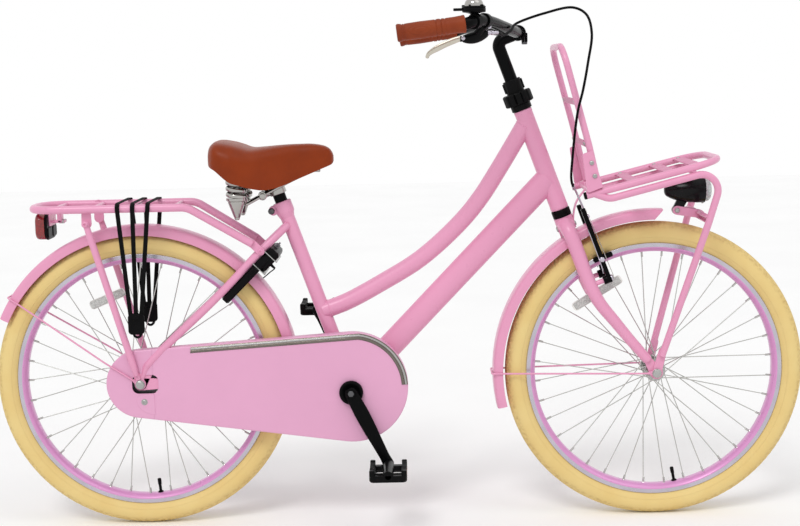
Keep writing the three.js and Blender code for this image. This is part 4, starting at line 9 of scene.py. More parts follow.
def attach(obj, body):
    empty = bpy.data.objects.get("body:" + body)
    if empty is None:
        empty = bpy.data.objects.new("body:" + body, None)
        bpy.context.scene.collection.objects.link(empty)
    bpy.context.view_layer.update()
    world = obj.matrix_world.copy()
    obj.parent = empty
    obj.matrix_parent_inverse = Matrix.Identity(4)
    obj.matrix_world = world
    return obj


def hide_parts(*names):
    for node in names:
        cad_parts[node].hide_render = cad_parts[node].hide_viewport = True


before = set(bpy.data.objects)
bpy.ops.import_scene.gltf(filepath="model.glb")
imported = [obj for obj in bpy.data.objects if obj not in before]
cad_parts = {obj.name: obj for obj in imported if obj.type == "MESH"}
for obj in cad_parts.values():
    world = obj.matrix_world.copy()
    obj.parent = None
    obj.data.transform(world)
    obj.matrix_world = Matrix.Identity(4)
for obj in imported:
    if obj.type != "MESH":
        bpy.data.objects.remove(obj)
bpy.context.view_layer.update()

# Dutch city bike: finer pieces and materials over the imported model.
# Lengths are in millimetres here and become metres when a piece is made.

MM = 0.001
X = Vector((1, 0, 0))
Y = Vector((0, 1, 0))
Z = Vector((0, 0, 1))


# Camera at the photograph's place, its focal length in pixels of a picture of PHOTO_WIDTH
CAMERA_PLACE = Vector((44.8, -2993.3, 916.1))
PITCH, YAW, ROLL = 0.1294, -0.0124, -0.0231
FOCAL_PIXELS, PHOTO_WIDTH, SENSOR = 1494.9, 800, 36


def make_camera():
    level = cos(PITCH)
    ahead = Vector((sin(YAW) * level, cos(YAW) * level, -sin(PITCH)))
    right = Vector((cos(YAW), -sin(YAW), 0))
    up = right.cross(ahead)
    turned_right = cos(ROLL) * right + sin(ROLL) * up
    turned_up = -sin(ROLL) * right + cos(ROLL) * up
    basis = Matrix((turned_right, turned_up, -ahead)).transposed().to_4x4()
    data = bpy.data.cameras.new("camera")
    camera = bpy.data.objects.new("camera", data)
    bpy.context.scene.collection.objects.link(camera)
    camera.matrix_world = Matrix.Translation(CAMERA_PLACE * MM) @ basis
    data.sensor_width = SENSOR
    data.lens = SENSOR * FOCAL_PIXELS / PHOTO_WIDTH
    data.clip_start = 0.05
    bpy.context.scene.camera = camera


make_camera()

# Places and axes shared by the pieces
WHEEL_TOP = 300.5
FRONT_X, REAR_X = 516.7, -516.7
LEAN, SEAT_LEAN = radians(20), radians(19.2)
ALONG = Vector((-sin(LEAN), 0, cos(LEAN)))
AHEAD = Vector((cos(LEAN), 0, sin(LEAN)))
FRONT_AXLE = Vector((FRONT_X, 0, WHEEL_TOP))
REAR_AXLE = Vector((REAR_X, 0, WHEEL_TOP))
FORK_OFFSET = 62.1
STEER_FOOT = FRONT_AXLE - AHEAD * FORK_OFFSET
BRACKET_AHEAD, BRACKET_DROP = 421.7, 24.5
BRACKET = Vector((REAR_X + BRACKET_AHEAD, 0, WHEEL_TOP - BRACKET_DROP))
SEAT_UP = Vector((-sin(SEAT_LEAN), 0, cos(SEAT_LEAN)))
SEAT_ACROSS = Vector((cos(SEAT_LEAN), 0, sin(SEAT_LEAN)))
HEAD_TOP, HEAD_CUP = 585.0, 356
SEAT_TUBE = 403.0
SIDES = ((-1, "right"), (1, "left"))


def steer(along, ahead=0.0, side=0.0):
    return STEER_FOOT + ALONG * along + AHEAD * ahead + Y * side


def rear(ahead, rise, side=0.0):
    return Vector((REAR_X + ahead, side, WHEEL_TOP + rise))


def seat(distance, ahead=0.0, side=0.0):
    return BRACKET + SEAT_UP * distance + SEAT_ACROSS * ahead + Y * side


def mix(a, b, share):
    return a + (b - a) * share


def at_side(place, side):
    return Vector((place.x, side, place.z))


def flipped(points):
    return [at_side(p, -p.y) for p in points]


def and_back(half):
    """A line from one side of the bike and back along its mirror image."""
    return half + flipped(half)[::-1]


def mirrored(half, *middle):
    """A section's half, its middle, and the half's mirror image backwards."""
    return half + list(middle) + [(a, -b) for a, b in half[::-1]]


def upright(pairs):
    return [Vector((x, 0, z)) for x, z in pairs]


def flat(points):
    return [(p.x, p.z) for p in points]


def circling(angle, first=X, second=Z):
    """Direction at an angle in radians, from the first direction towards the second."""
    return first * cos(angle) + second * sin(angle)


def loop_round(centre, first, second, sides):
    """Circle or oval through the ends of two arms."""
    turns = [2 * pi * i / sides for i in range(sides)]
    return [centre + first * cos(a) + second * sin(a) for a in turns]


# Curves
def smooth(points, count):
    """Evenly spaced points on a smooth curve through the given ones."""
    pts = [Vector(p) for p in points]
    pts = [pts[0] * 2 - pts[1]] + pts + [pts[-1] * 2 - pts[-2]]
    dense = []
    for i in range(1, len(pts) - 2):
        p0, p1, p2, p3 = pts[i - 1:i + 3]
        t0 = 0.0
        t1 = t0 + max((p1 - p0).length, 1e-6) ** 0.5
        t2 = t1 + max((p2 - p1).length, 1e-6) ** 0.5
        t3 = t2 + max((p3 - p2).length, 1e-6) ** 0.5
        for k in range(24):
            t = t1 + (t2 - t1) * k / 24
            a1 = p0 * ((t1 - t) / (t1 - t0)) + p1 * ((t - t0) / (t1 - t0))
            a2 = p1 * ((t2 - t) / (t2 - t1)) + p2 * ((t - t1) / (t2 - t1))
            a3 = p2 * ((t3 - t) / (t3 - t2)) + p3 * ((t - t2) / (t3 - t2))
            b1 = a1 * ((t2 - t) / (t2 - t0)) + a2 * ((t - t0) / (t2 - t0))
            b2 = a2 * ((t3 - t) / (t3 - t1)) + a3 * ((t - t1) / (t3 - t1))
            dense.append(b1 * ((t2 - t) / (t2 - t1)) + b2 * ((t - t1) / (t2 - t1)))
    dense.append(pts[-2])
    return spaced(dense, count)


def spaced(line, count):
    """The same line with count + 1 evenly spaced points."""
    total = [0.0]
    for a, b in zip(line, line[1:]):
        total.append(total[-1] + (b - a).length)
    out, k = [], 0
    for i in range(count + 1):
        want = total[-1] * i / count
        while k < len(total) - 2 and total[k + 1] < want:
            k += 1
        span = total[k + 1] - total[k]
        out.append(mix(line[k], line[k + 1], (want - total[k]) / span if span else 0.0))
    return out


def rounded(corners, radii, steps):
    """Straight runs whose corners are arcs of circles."""
    corners = [Vector(c) for c in corners]
    if not isinstance(radii, (list, tuple)):
        radii = [radii] * (len(corners) - 2)
    out = [corners[0]]
    for i in range(1, len(corners) - 1):
        here = corners[i]
        back = (corners[i - 1] - here).normalized()
        on = (corners[i + 1] - here).normalized()
        half = back.angle(on) / 2
        if abs(half - pi / 2) < 1e-3:
            out.append(here)
            continue
        radius = radii[i - 1]
        reach = radius / tan(half)
        most = 0.48 * min((corners[i - 1] - here).length, (corners[i + 1] - here).length)
        if reach > most:
            reach, radius = most, most * tan(half)
        centre = here + (back + on).normalized() * (radius / sin(half))
        first = here + back * reach - centre
        last = here + on * reach - centre
        sweep = first.angle(last)
        for k in range(steps + 1):
            share = k / steps
            turned = (first * sin((1 - share) * sweep) + last * sin(share * sweep)) / sin(sweep)
            out.append(centre + turned)
    out.append(corners[-1])
    return out


def arc2(cx, cy, radius, start, end, steps):
    turns = [start + (end - start) * i / steps for i in range(steps + 1)]
    return [(cx + radius * cos(a), cy + radius * sin(a)) for a in turns]


def rounded_box(width, height, corner, steps=6):
    w, h, q = width / 2 - corner, height / 2 - corner, pi / 2
    out = []
    for k, (sx, sy) in enumerate(((1, 1), (-1, 1), (-1, -1), (1, -1))):
        out += arc2(sx * w, sy * h, corner, k * q, (k + 1) * q, steps)
    return out


def belt(first, r1, second, r2, steps):
    """Outline round two circles and the lines that touch both, in the bike's plane."""
    span = hypot(second[0] - first[0], second[1] - first[1])
    heading = atan2(second[1] - first[1], second[0] - first[0])
    spread = acos((r1 - r2) / span)
    behind = arc2(*first, r1, heading + spread, heading + 2 * pi - spread, steps)
    return behind + arc2(*second, r2, heading - spread, heading + spread, steps)


# Solids of one piece, gathered as vertices and faces with a material number each
class Shape:
    def __init__(self):
        self.verts, self.faces, self.slots = [], [], []

    def add(self, verts, faces, slot=0):
        base = len(self.verts)
        self.verts += [Vector(v) for v in verts]
        self.faces += [tuple(base + i for i in face) for face in faces]
        self.slots += [slot] * len(faces)
        return self

    def mirror(self):
        """The same shape again on the other side of the bike."""
        base = len(self.verts)
        self.verts += flipped(self.verts[:base])
        self.faces += [tuple(base + i for i in reversed(face)) for face in self.faces[:]]
        self.slots += self.slots[:]
        return self

    def flip(self):
        self.verts = flipped(self.verts)
        self.faces = [tuple(reversed(face)) for face in self.faces]
        return self


def rings(shape, loops, slot=0, closed=False, caps=True):
    """Skin over loops of equal length."""
    n, m = len(loops[0]), len(loops)
    verts = [p for loop in loops for p in loop]
    faces = []
    for r in range(m if closed else m - 1):
        s = (r + 1) % m
        for i in range(n):
            j = (i + 1) % n
            faces.append((r * n + i, r * n + j, s * n + j, s * n + i))
    if caps and not closed:
        faces.append(tuple(reversed(range(n))))
        faces.append(tuple(range((m - 1) * n, m * n)))
    return shape.add(verts, faces, slot)


def frames(points, hint=None):
    """Unit vectors across a line that don't twist along it."""
    points = [Vector(p) for p in points]
    tangents = []
    for i in range(len(points)):
        tangents.append((points[min(i + 1, len(points) - 1)] - points[max(i - 1, 0)]).normalized())
    start = Vector(hint) if hint else (Y if abs(tangents[0].dot(Y)) < 0.9 else Z)
    normal = (start - tangents[0] * start.dot(tangents[0])).normalized()
    out = []
    for i, t in enumerate(tangents):
        if i:
            normal = tangents[i - 1].rotation_difference(t) @ normal
            normal = (normal - t * normal.dot(t)).normalized()
        out.append((normal, t.cross(normal)))
    return out


def tube(shape, points, radius, sides=20, oval=1.0, slot=0, hint=None, dome=0.0):
    """Round or oval tube. Radius is one number or one for each point, oval the share across it."""
    points = [Vector(p) for p in points]
    radii = list(radius) if isinstance(radius, (list, tuple)) else [radius] * len(points)
    cross = frames(points, hint)
    loops = [loop_round(p, a * r, b * r * oval, sides) for p, r, (a, b) in zip(points, radii, cross)]
    if dome:
        for end, inner in ((0, 1), (-1, -2)):
            run = (points[end] - points[inner]).normalized()
            middle, edge = points[end], loops[end]
            extra = [
                [middle + (v - middle) * cos(a) + run * dome * sin(a) for v in edge]
                for a in (0.5, 0.95, 1.3)
            ]
            loops = extra[::-1] + loops if end == 0 else loops + extra
    return rings(shape, loops, slot)


def rod(shape, start, end, radius, sides=20, slot=0, bevel=0.0):
    """Round bar with bevelled ends."""
    start, end = Vector(start), Vector(end)
    run = (end - start).normalized()
    if not bevel:
        return tube(shape, [start, end], radius, sides, slot=slot)
    points = [start, start + run * bevel, end - run * bevel, end]
    return tube(shape, points, [radius - bevel, radius, radius, radius - bevel], sides, slot=slot)


def lathe(shape, profile, origin, direction, sides=64, slot=0, closed=False):
    """Profile of (radius, distance) turned about an axis. A closed one is a ring's section."""
    direction = Vector(direction).normalized()
    side = Y if abs(direction.dot(Y)) < 0.9 else X
    u = (side - direction * side.dot(direction)).normalized()
    w = direction.cross(u)
    turns = [circling(2 * pi * i / sides, u, w) for i in range(sides)]
    loops = [[Vector(origin) + direction * d + turn * max(r, 0.001) for turn in turns] for r, d in profile]
    return rings(shape, loops, slot, closed=closed, caps=not closed)


def disc(shape, place, direction, radius, height, slot):
    return lathe(shape, [(0, 0), (radius, 0), (radius, height), (0, height)], place, direction, 28, slot)


def plate(shape, outline, thickness, centre, first, second, bevel=0.4, slot=0):
    """Flat plate of any outline, with bevelled edges, its outline along two directions."""
    first, second = Vector(first), Vector(second)
    third = first.cross(second).normalized()
    n = len(outline)
    area = sum(a[0] * b[1] - b[0] * a[1] for a, b in zip(outline, outline[1:] + outline[:1]))
    if area < 0:
        outline = outline[::-1]
    inset = []
    for i in range(n):
        (ax, ay), (bx, by), (cx, cy) = outline[i - 1], outline[i], outline[(i + 1) % n]
        d1 = Vector((bx - ax, by - ay))
        d2 = Vector((cx - bx, cy - by))
        d1 = d1.normalized() if d1.length > 1e-9 else d2.normalized()
        d2 = d2.normalized() if d2.length > 1e-9 else d1
        inward = Vector((-d1.y - d2.y, d1.x + d2.x))
        inward = inward.normalized() if inward.length > 1e-6 else Vector((-d1.y, d1.x))
        inset.append((bx + inward.x * bevel, by + inward.y * bevel))
    half = thickness / 2
    levels = [(inset, -half), (outline, -half + bevel), (outline, half - bevel), (inset, half)]
    loops = [[Vector(centre) + first * a + second * b + third * h for a, b in line] for line, h in levels]
    return rings(shape, loops, slot)


def side_plate(shape, outline, low, high, bevel):
    """Plate in the plane of the bike, its outline in (x, z), between two sides in any order."""
    low, high = min(low, high), max(low, high)
    return plate(shape, [(x, -z) for x, z in outline], high - low, (0, (low + high) / 2, 0), X, -Z, bevel)


def pierced(shape, outline, holes, low, high):
    """Two faces in the plane of the bike with holes through them, walled at the holes only."""
    loops = [outline] + holes
    corners = [p for loop in loops for p in loop]
    n = len(corners)
    level = [[Vector((x, z, 0)) for x, z in loop] for loop in loops]
    faces = [tuple(t) for t in tessellate_polygon(level)]
    faces += [tuple(i + n for i in reversed(t)) for t in faces]
    base = len(outline)
    for hole in holes:
        for i in range(len(hole)):
            a, b = base + i, base + (i + 1) % len(hole)
            faces.append((a, b, b + n, a + n))
        base += len(hole)
    verts = [(x, low, z) for x, z in corners] + [(x, high, z) for x, z in corners]
    return shape.add(verts, faces)


def halved(shape, x, ahead):
    """What lies ahead of an upright plane across the bike, or behind it."""
    made = bmesh.new()
    verts = [made.verts.new(v) for v in shape.verts]
    for face, slot in zip(shape.faces, shape.slots):
        try:
            made.faces.new([verts[i] for i in face]).material_index = slot
        except ValueError:
            continue
    geometry = made.verts[:] + made.edges[:] + made.faces[:]
    bmesh.ops.bisect_plane(
        made, geom=geometry, plane_co=(x, 0, 0), plane_no=(1, 0, 0), clear_inner=ahead, clear_outer=not ahead
    )
    made.verts.index_update()
    out = Shape()
    out.verts = [v.co.copy() for v in made.verts]
    out.faces = [tuple(v.index for v in f.verts) for f in made.faces]
    out.slots = [f.material_index for f in made.faces]
    made.free()
    return out


def link(shape, start, end, r1, r2, low, high, bevel):
    return side_plate(shape, belt((start.x, start.z), r1, (end.x, end.z), r2, 12), low, high, bevel)


def box(shape, centre, size, first=X, second=Y, bevel=0.6, corner=None, slot=0):
    corner = corner if corner is not None else bevel
    outline = rounded_box(size[0], size[1], max(corner, 0.01), 4)
    return plate(shape, outline, size[2], centre, first, second, bevel, slot)


def hexagon(shape, place, direction, radius, height, slot=0):
    """Hexagon head or nut that stands on a place, chamfered at its outer face."""
    direction = Vector(direction).normalized()
    side = X if abs(direction.dot(X)) < 0.9 else Z
    u = (side - direction * side.dot(direction)).normalized()
    w = direction.cross(u)
    loops = []
    for r, h, roundness in ((1.0, 0, 0), (1.0, 0.82, 0), (0.93, 0.93, 0.5), (0.82, 1.0, 1.0)):
        loop = []
        for i in range(24):
            a = 2 * pi * i / 24
            edge = cos(pi / 6) / cos(a % (pi / 3) - pi / 6)
            reach = radius * (r * mix(edge, cos(pi / 6), roundness) if h > 0.9 else r * edge)
            loop.append(Vector(place) + direction * height * h + circling(a, u, w) * reach)
        loops.append(loop)
    return rings(shape, loops, slot)


# Section of a screw head with a socket, in shares of its radius and height
BUTTON = [(0, 0), (1, 0), (1, 0.35), (0.92, 0.7), (0.7, 0.93), (0.46, 1), (0.42, 0.5), (0, 0.45)]


def button(shape, place, direction, radius, height, slot=0):
    return lathe(shape, [(radius * r, height * h) for r, h in BUTTON], place, direction, 20, slot)


def piece(name, shape, body, materials, replaces=None, origin=(0, 0, 0), angle=38):
    """Makes the object in metres, about an origin in millimetres, and lets it ride on its body."""
    base = Vector(origin)
    mesh = bpy.data.meshes.new(name)
    mesh.from_pydata([tuple((v - base) * MM) for v in shape.verts], [], shape.faces)
    for material in materials if isinstance(materials, (list, tuple)) else [materials]:
        mesh.materials.append(material)
    mesh.polygons.foreach_set("material_index", shape.slots)
    mesh.polygons.foreach_set("use_smooth", [True] * len(mesh.polygons))
    mesh.validate()
    made = bmesh.new()
    made.from_mesh(mesh)
    bmesh.ops.remove_doubles(made, verts=made.verts, dist=2e-6)
    bmesh.ops.recalc_face_normals(made, faces=made.faces)
    made.to_mesh(mesh)
    made.free()
    mesh.set_sharp_from_angle(angle=radians(angle))
    obj = bpy.data.objects.new(name, mesh)
    bpy.context.scene.collection.objects.link(obj)
    obj.location = base * MM
    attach(obj, body)
    if replaces:
        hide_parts(replaces)
    return obj


# Materials
def linear(r, g, b):
    out = []
    for value in (r, g, b):
        c = value / 255
        out.append(c / 12.92 if c <= 0.04045 else ((c + 0.055) / 1.055) ** 2.4)
    return (*out, 1.0)


class Nodes:
    """Short ways to add nodes to a tree."""

    def __init__(self, tree):
        self.tree = tree

    def node(self, kind, **settings):
        made = self.tree.nodes.new(kind)
        for key, value in settings.items():
            setattr(made, key, value)
        return made

    def join(self, source, target):
        self.tree.links.new(source, target)

    def math(self, operation, a, b=None, clamp=False):
        made = self.node("ShaderNodeMath", operation=operation, use_clamp=clamp)
        for i, value in enumerate((a, b)):
            if value is None:
                continue
            if isinstance(value, (int, float)):
                made.inputs[i].default_value = value
            else:
                self.join(value, made.inputs[i])
        return made.outputs[0]

    def span(self, value, low, high, to_low=0.0, to_high=1.0):
        made = self.node("ShaderNodeMapRange")
        self.join(value, made.inputs["Value"])
        for name, number in (("From Min", low), ("From Max", high), ("To Min", to_low), ("To Max", to_high)):
            made.inputs[name].default_value = number
        return made.outputs[0]


class Look(Nodes):
    """A material with its principled shader."""

    def __init__(self, name, colour, rough, metal=0.0, coat=0.0, specular=0.5, transmission=0.0, sheen=0.0):
        self.material = bpy.data.materials.new(name)
        self.material.use_nodes = True
        super().__init__(self.material.node_tree)
        self.shader = self.tree.nodes["Principled BSDF"]
        self.colour = colour
        self.set("Base Color", colour)
        self.set("Roughness", rough)
        self.set("Metallic", metal)
        self.set("Coat Weight", coat)
        self.set("Coat Roughness", 0.12)
        self.set("Specular IOR Level", specular)
        self.set("Transmission Weight", transmission)
        self.set("Sheen Weight", sheen)
        self.places = self.node("ShaderNodeTexCoord").outputs["Object"]
        self.height = None

    def set(self, socket, value):
        self.shader.inputs[socket].default_value = value

    def noise(self, scale, detail=2.0, rough=0.5, stretch=None):
        made = self.node("ShaderNodeTexNoise")
        made.inputs["Scale"].default_value = scale
        made.inputs["Detail"].default_value = detail
        made.inputs["Roughness"].default_value = rough
        source = self.places
        if stretch:
            mapping = self.node("ShaderNodeMapping")
            mapping.inputs["Scale"].default_value = stretch
            self.join(self.places, mapping.inputs["Vector"])
            source = mapping.outputs[0]
        self.join(source, made.inputs["Vector"])
        return made.outputs["Fac"]

    def cells(self, scale):
        made = self.node("ShaderNodeTexVoronoi", feature="F1")
        made.inputs["Scale"].default_value = scale
        self.join(self.places, made.inputs["Vector"])
        return made.outputs["Distance"]

    def axes(self):
        made = self.node("ShaderNodeSeparateXYZ")
        self.join(self.places, made.inputs[0])
        return made.outputs

    def tint(self, amount, other, onto=None):
        """Mixes another colour in by an amount from 0 to 1, onto the plain colour or onto a made one."""
        made = self.node("ShaderNodeMix", data_type="RGBA")
        self.join(amount, made.inputs["Factor"])
        if onto is None:
            made.inputs["A"].default_value = self.colour
        else:
            self.join(onto, made.inputs["A"])
        made.inputs["B"].default_value = other
        self.join(made.outputs["Result"], self.shader.inputs["Base Color"])
        return made.outputs["Result"]

    def roughen(self, value, low, high):
        self.join(self.span(value, 0.25, 0.75, low, high), self.shader.inputs["Roughness"])

    def bump(self, height, distance, strength=1.0):
        made = self.node("ShaderNodeBump")
        made.inputs["Strength"].default_value = strength
        made.inputs["Distance"].default_value = distance
        self.join(height, made.inputs["Height"])
        if self.height is not None:
            self.join(self.height, made.inputs["Normal"])
        self.height = made.outputs["Normal"]
        self.join(self.height, self.shader.inputs["Normal"])


def shade(colour, amount):
    return tuple(min(1.0, c * amount) for c in colour[:3]) + (1.0,)


def paint(name, colour, rough=0.3, coat=0.35, specular=0.5, metal=0.0):
    """Sprayed and lacquered paint: a faint orange peel, and a slight change of shade from place to place."""
    look = Look(name, colour, rough, metal, coat, specular)
    look.tint(look.span(look.noise(9, 3), 0.35, 0.65, 0.0, 0.5), shade(colour, 0.94))
    look.roughen(look.noise(60, 3), rough * 0.85, rough * 1.2)
    look.bump(look.noise(650, 2), 0.000006, 0.5)
    return look.material


def moulded(name, colour, rough=0.5, specular=0.35, grain=0.00005):
    look = Look(name, colour, rough, 0.0, 0.0, specular)
    look.tint(look.span(look.noise(30, 3), 0.4, 0.7), shade(colour, 1.5))
    look.roughen(look.noise(200, 2), rough * 0.85, rough * 1.15)
    look.bump(look.noise(1500, 2), grain, 0.6)
    return look.material


def metal(name, colour, rough=0.25, stretch=(60, 900, 60), scratch=0.00002):
    look = Look(name, colour, rough, 1.0)
    lines = look.noise(1.0, 3, 0.6, stretch)
    look.tint(look.span(look.noise(25, 3), 0.35, 0.7, 0, 0.6), shade(colour, 0.8))
    look.roughen(lines, rough * 0.75, rough * 1.35)
    look.bump(lines, scratch, 0.5)
    return look.material


pink = paint("pink_paint", linear(229, 156, 189), 0.3, 0.12, 0.4)
case_pink = paint("case_paint", linear(226, 166, 199), 0.4, 0.08, 0.4)
rim_pink = paint("rim_paint", linear(214, 146, 198), 0.3, 0.4, metal=0.15)
# Slats: the frame's pink made darker as painted shade, with less shine
slat_pink_painted_shade = paint("slat_paint", linear(214, 138, 172), 0.45, 0.0, 0.12)
black_paint = paint("black_paint", linear(8, 8, 9), 0.22, 0.0, 0.06)
black_plastic = moulded("black_plastic", linear(9, 9, 10), 0.34, 0.08)
rubber = moulded("black_rubber", linear(12, 12, 13), 0.6, 0.06, 0.0001)
cable_black = moulded("cable_black", linear(9, 9, 10), 0.5, 0.05, 0.000004)
chrome = metal("chrome", linear(176, 174, 170), 0.12, (20, 20, 20), 0.000005)
steel = metal("steel", linear(178, 178, 176), 0.3)
dark_steel = metal("dark_steel", linear(96, 96, 98), 0.36)
aluminium = metal("brake_track", linear(198, 193, 204), 0.26, (40, 40, 40), 0.00001)
# Case trim: its dark colour is painted reflection
trim_metal = metal("trim_metal", linear(120, 113, 106), 0.24, (30, 30, 30), 0.00001)
grey_plastic = moulded("grey_plastic", linear(120, 120, 124), 0.4)


def tyre_material():
    """Cream rubber: ribbed shoulders, a ring line on the wall, and a tread with a little dust."""
    colour = linear(229, 203, 137)
    look = Look("cream_tyre", colour, 0.72, specular=0.3)
    x, _, z = look.axes()
    radius = look.math("SQRT", look.math("ADD", look.math("MULTIPLY", x, x), look.math("MULTIPLY", z, z)))
    angle = look.math("ARCTAN2", z, x)
    shoulder = look.span(radius, 0.2865, 0.2925)
    fold = look.math("PINGPONG", look.math("MULTIPLY", angle, 150 / (2 * pi)), 0.5)
    ribs = look.math("MULTIPLY", look.span(fold, 0.1, 0.2), shoulder, clamp=True)
    line = look.math("ABSOLUTE", look.math("SUBTRACT", radius, 0.2695))
    ring = look.span(line, 0.0003, 0.0009, 1.0, 0.0)
    tone = look.tint(look.span(look.noise(16, 4), 0.35, 0.7, 0.0, 0.55), linear(222, 190, 120))
    dust = look.span(look.noise(140, 4), 0.42, 0.75, 0.0, 0.5)
    look.tint(look.math("MULTIPLY", shoulder, dust, clamp=True), linear(176, 140, 84), tone)
    look.bump(look.noise(900, 3), 0.00012, 0.7)
    look.bump(ring, 0.0005, 0.8)
    look.bump(ribs, 0.0006, 0.6)
    return look.material


def saddle_material():
    """Brown cover with a fine leather grain, a little darker where it has been handled less."""
    colour = linear(142, 54, 12)
    look = Look("saddle_leather", colour, 0.38, specular=0.17)
    look.tint(look.span(look.noise(14, 4), 0.35, 0.7, 0.0, 0.7), linear(118, 42, 9))
    grain = look.cells(1100)
    fine = look.noise(420, 4)
    look.roughen(fine, 0.28, 0.44)
    look.bump(grain, 0.00022, 0.55)
    look.bump(fine, 0.00012, 0.5)
    return look.material


def grip_material():
    colour = linear(140, 60, 28)
    look = Look("grip_leather", colour, 0.45, specular=0.18)
    look.tint(look.span(look.noise(30, 4), 0.35, 0.7, 0.0, 0.8), linear(120, 46, 21))
    look.roughen(look.noise(300, 3), 0.42, 0.6)
    look.bump(look.cells(1300), 0.00018, 0.6)
    return look.material


def webbing_material():
    """Woven elastic: cords along the band and a fine weave across it."""
    look = Look("strap_webbing", linear(12, 12, 12), 0.8, specular=0.06, sheen=0.04)
    x, y, z = look.axes()
    cords = look.math("SINE", look.math("MULTIPLY", x, 2 * pi / 0.0013))
    across = look.math("SINE", look.math("MULTIPLY", look.math("ADD", y, z), 2 * pi / 0.0009))
    look.tint(look.span(cords, -1, 1, 0.0, 0.5), linear(22, 22, 23))
    look.bump(look.math("ADD", cords, across), 0.00012, 0.7)
    return look.material


def lens_material(name, colour, cell, rough=0.12, depth=0.0004, transmission=0.0):
    """Moulded lens with a grid of small prisms."""
    look = Look(name, colour, rough, coat=0.5, specular=0.6, transmission=transmission)
    grid = look.cells(1 / cell)
    look.tint(look.span(grid, 0.1, 0.75), shade(colour, 0.6))
    look.bump(grid, depth, 0.8)
    return look.material


tyre_cream = tyre_material()
saddle_brown = saddle_material()
grip_brown = grip_material()
webbing = webbing_material()
red_lens = lens_material("red_lens", linear(150, 16, 20), 0.0042)
clear_lens = lens_material("clear_reflector", linear(212, 214, 210), 0.0026, 0.2)
lamp_glass = lens_material("lamp_glass", linear(226, 230, 230), 0.005, 0.08, 0.0003, 0.55)
spoke_steel = metal("spoke_steel", linear(188, 188, 184), 0.22, (300, 300, 300))
amber = lens_material("amber_lens", linear(196, 92, 20), 0.003)
clear_back = moulded("reflector_back", linear(206, 206, 202), 0.35)
lever_silver = metal("lever_silver", linear(206, 200, 186), 0.34, (40, 40, 40), 0.00001)
black_gloss = moulded("black_gloss", linear(10, 10, 11), 0.24, 0.16, 0.00001)


# Wheels
SPOKES = 36
TYRE_CENTRE, TYRE_HALF = 277.0, 23.5
RIM_TOP, RIM_BED, HOLE_SIDE = 258, 240.5, 2.6
FRONT_VALVE, REAR_VALVE = 10.4, 4.9


def make_tyre(name, body, axle, node):
    """Open ring of rubber, with a ribbed shoulder and small blocks on its tread."""
    steps, count = 480, 30
    bead, wall, lip, hollow = 250.2, 14.1, 10.6, 20
    seat_angle = acos((TYRE_CENTRE - 258.3) / TYRE_HALF)
    section = [(bead, wall)]
    for i in range(count + 1):
        a = pi - seat_angle - (pi - seat_angle) * 2 * i / count
        section.append((TYRE_CENTRE + TYRE_HALF * cos(a), TYRE_HALF * 0.985 * sin(a), a))
    section += [(bead, -wall), (bead, -lip)]
    turn = pi - asin(lip / hollow)
    for i in range(11):
        a = -turn + 2 * turn * i / 10
        section.append((TYRE_CENTRE + hollow * cos(a), hollow * sin(a)))
    section.append((bead, lip))
    loops = []
    for k in range(steps):
        direction = circling(2 * pi * k / steps)
        block = k % 4 < 2
        ring = []
        for radius, side, *tread in section:
            if tread:
                a = abs(tread[0])
                drop = 0.0
                if a < 0.85:
                    rib = int((a + 0.09) / 0.26)
                    high = (block != (rib % 2 == 1)) or rib == 0
                    drop = 0.0 if high else 1.3
                elif a < 1.05:
                    drop = 0.0 if block else 0.8
                radius -= drop * cos(tread[0])
                side -= drop * sin(tread[0])
            ring.append(axle + direction * radius + Y * side)
        loops.append(ring)
    shape = rings(Shape(), loops, 0, closed=True, caps=False)
    piece(name, shape, body, tyre_cream, node, axle, 30)


def spoke_way(degrees):
    """Direction from an axle, in degrees from straight up."""
    a = radians(degrees)
    return X * sin(a) + Z * cos(a)


def make_rim(name, body, axle, node, valve_degrees):
    """Painted rim with a bare brake track, spoke nipples and a valve."""
    shape = Shape()
    bed = mirrored([(249.5, -16), (247.4, -15.7), (244.5, -13.4), (240.8, -8.6), (240, -6)])
    wall = [(249.5, 16), (257.3, 16), (258.0, 15.5), (258.0, 14.9), (257.2, 14.5)]
    well = mirrored([(257.2, 14.5), (250.0, 14.5), (247.0, 11.5)], (243.2, 0))
    sections = [(0, bed), (1, wall), (0, well), (1, [(r, -d) for r, d in wall[::-1]])]
    steps = 240
    turns = [circling(2 * pi * k / steps) for k in range(steps)]
    for slot, section in sections:
        rings(shape, [[axle + turn * r + Y * s for turn in turns] for r, s in section], slot, caps=False)
    nipple = [(0, -1), (2.6, -1), (2.6, 0.6), (2.1, 1.4), (2.1, 10.5), (1.5, 11.6), (0, 11.7)]
    for i in range(SPOKES):
        out = spoke_way((i + 0.5) * 360 / SPOKES - valve_degrees)
        side = HOLE_SIDE if i % 2 else -HOLE_SIDE
        foot = axle + out * 240.6 + Y * side
        lathe(shape, nipple, foot, -out, 10, 2)
    lean = radians(valve_degrees)
    down = X * sin(lean) - Z * cos(lean)
    top = axle + down * RIM_BED
    lathe(shape, [(0, 0), (5.6, 0), (5.6, 2.2), (4.4, 3), (3.0, 3.4), (3.0, 17)], top, -down, 20, 3)
    lathe(shape, [(3.0, 16.5), (3.7, 17), (3.9, 27), (3.3, 29.2), (0, 29.4)], top, -down, 20, 3)
    piece(name, shape, body, [rim_pink, aluminium, spoke_steel, rubber], node, axle, 30)


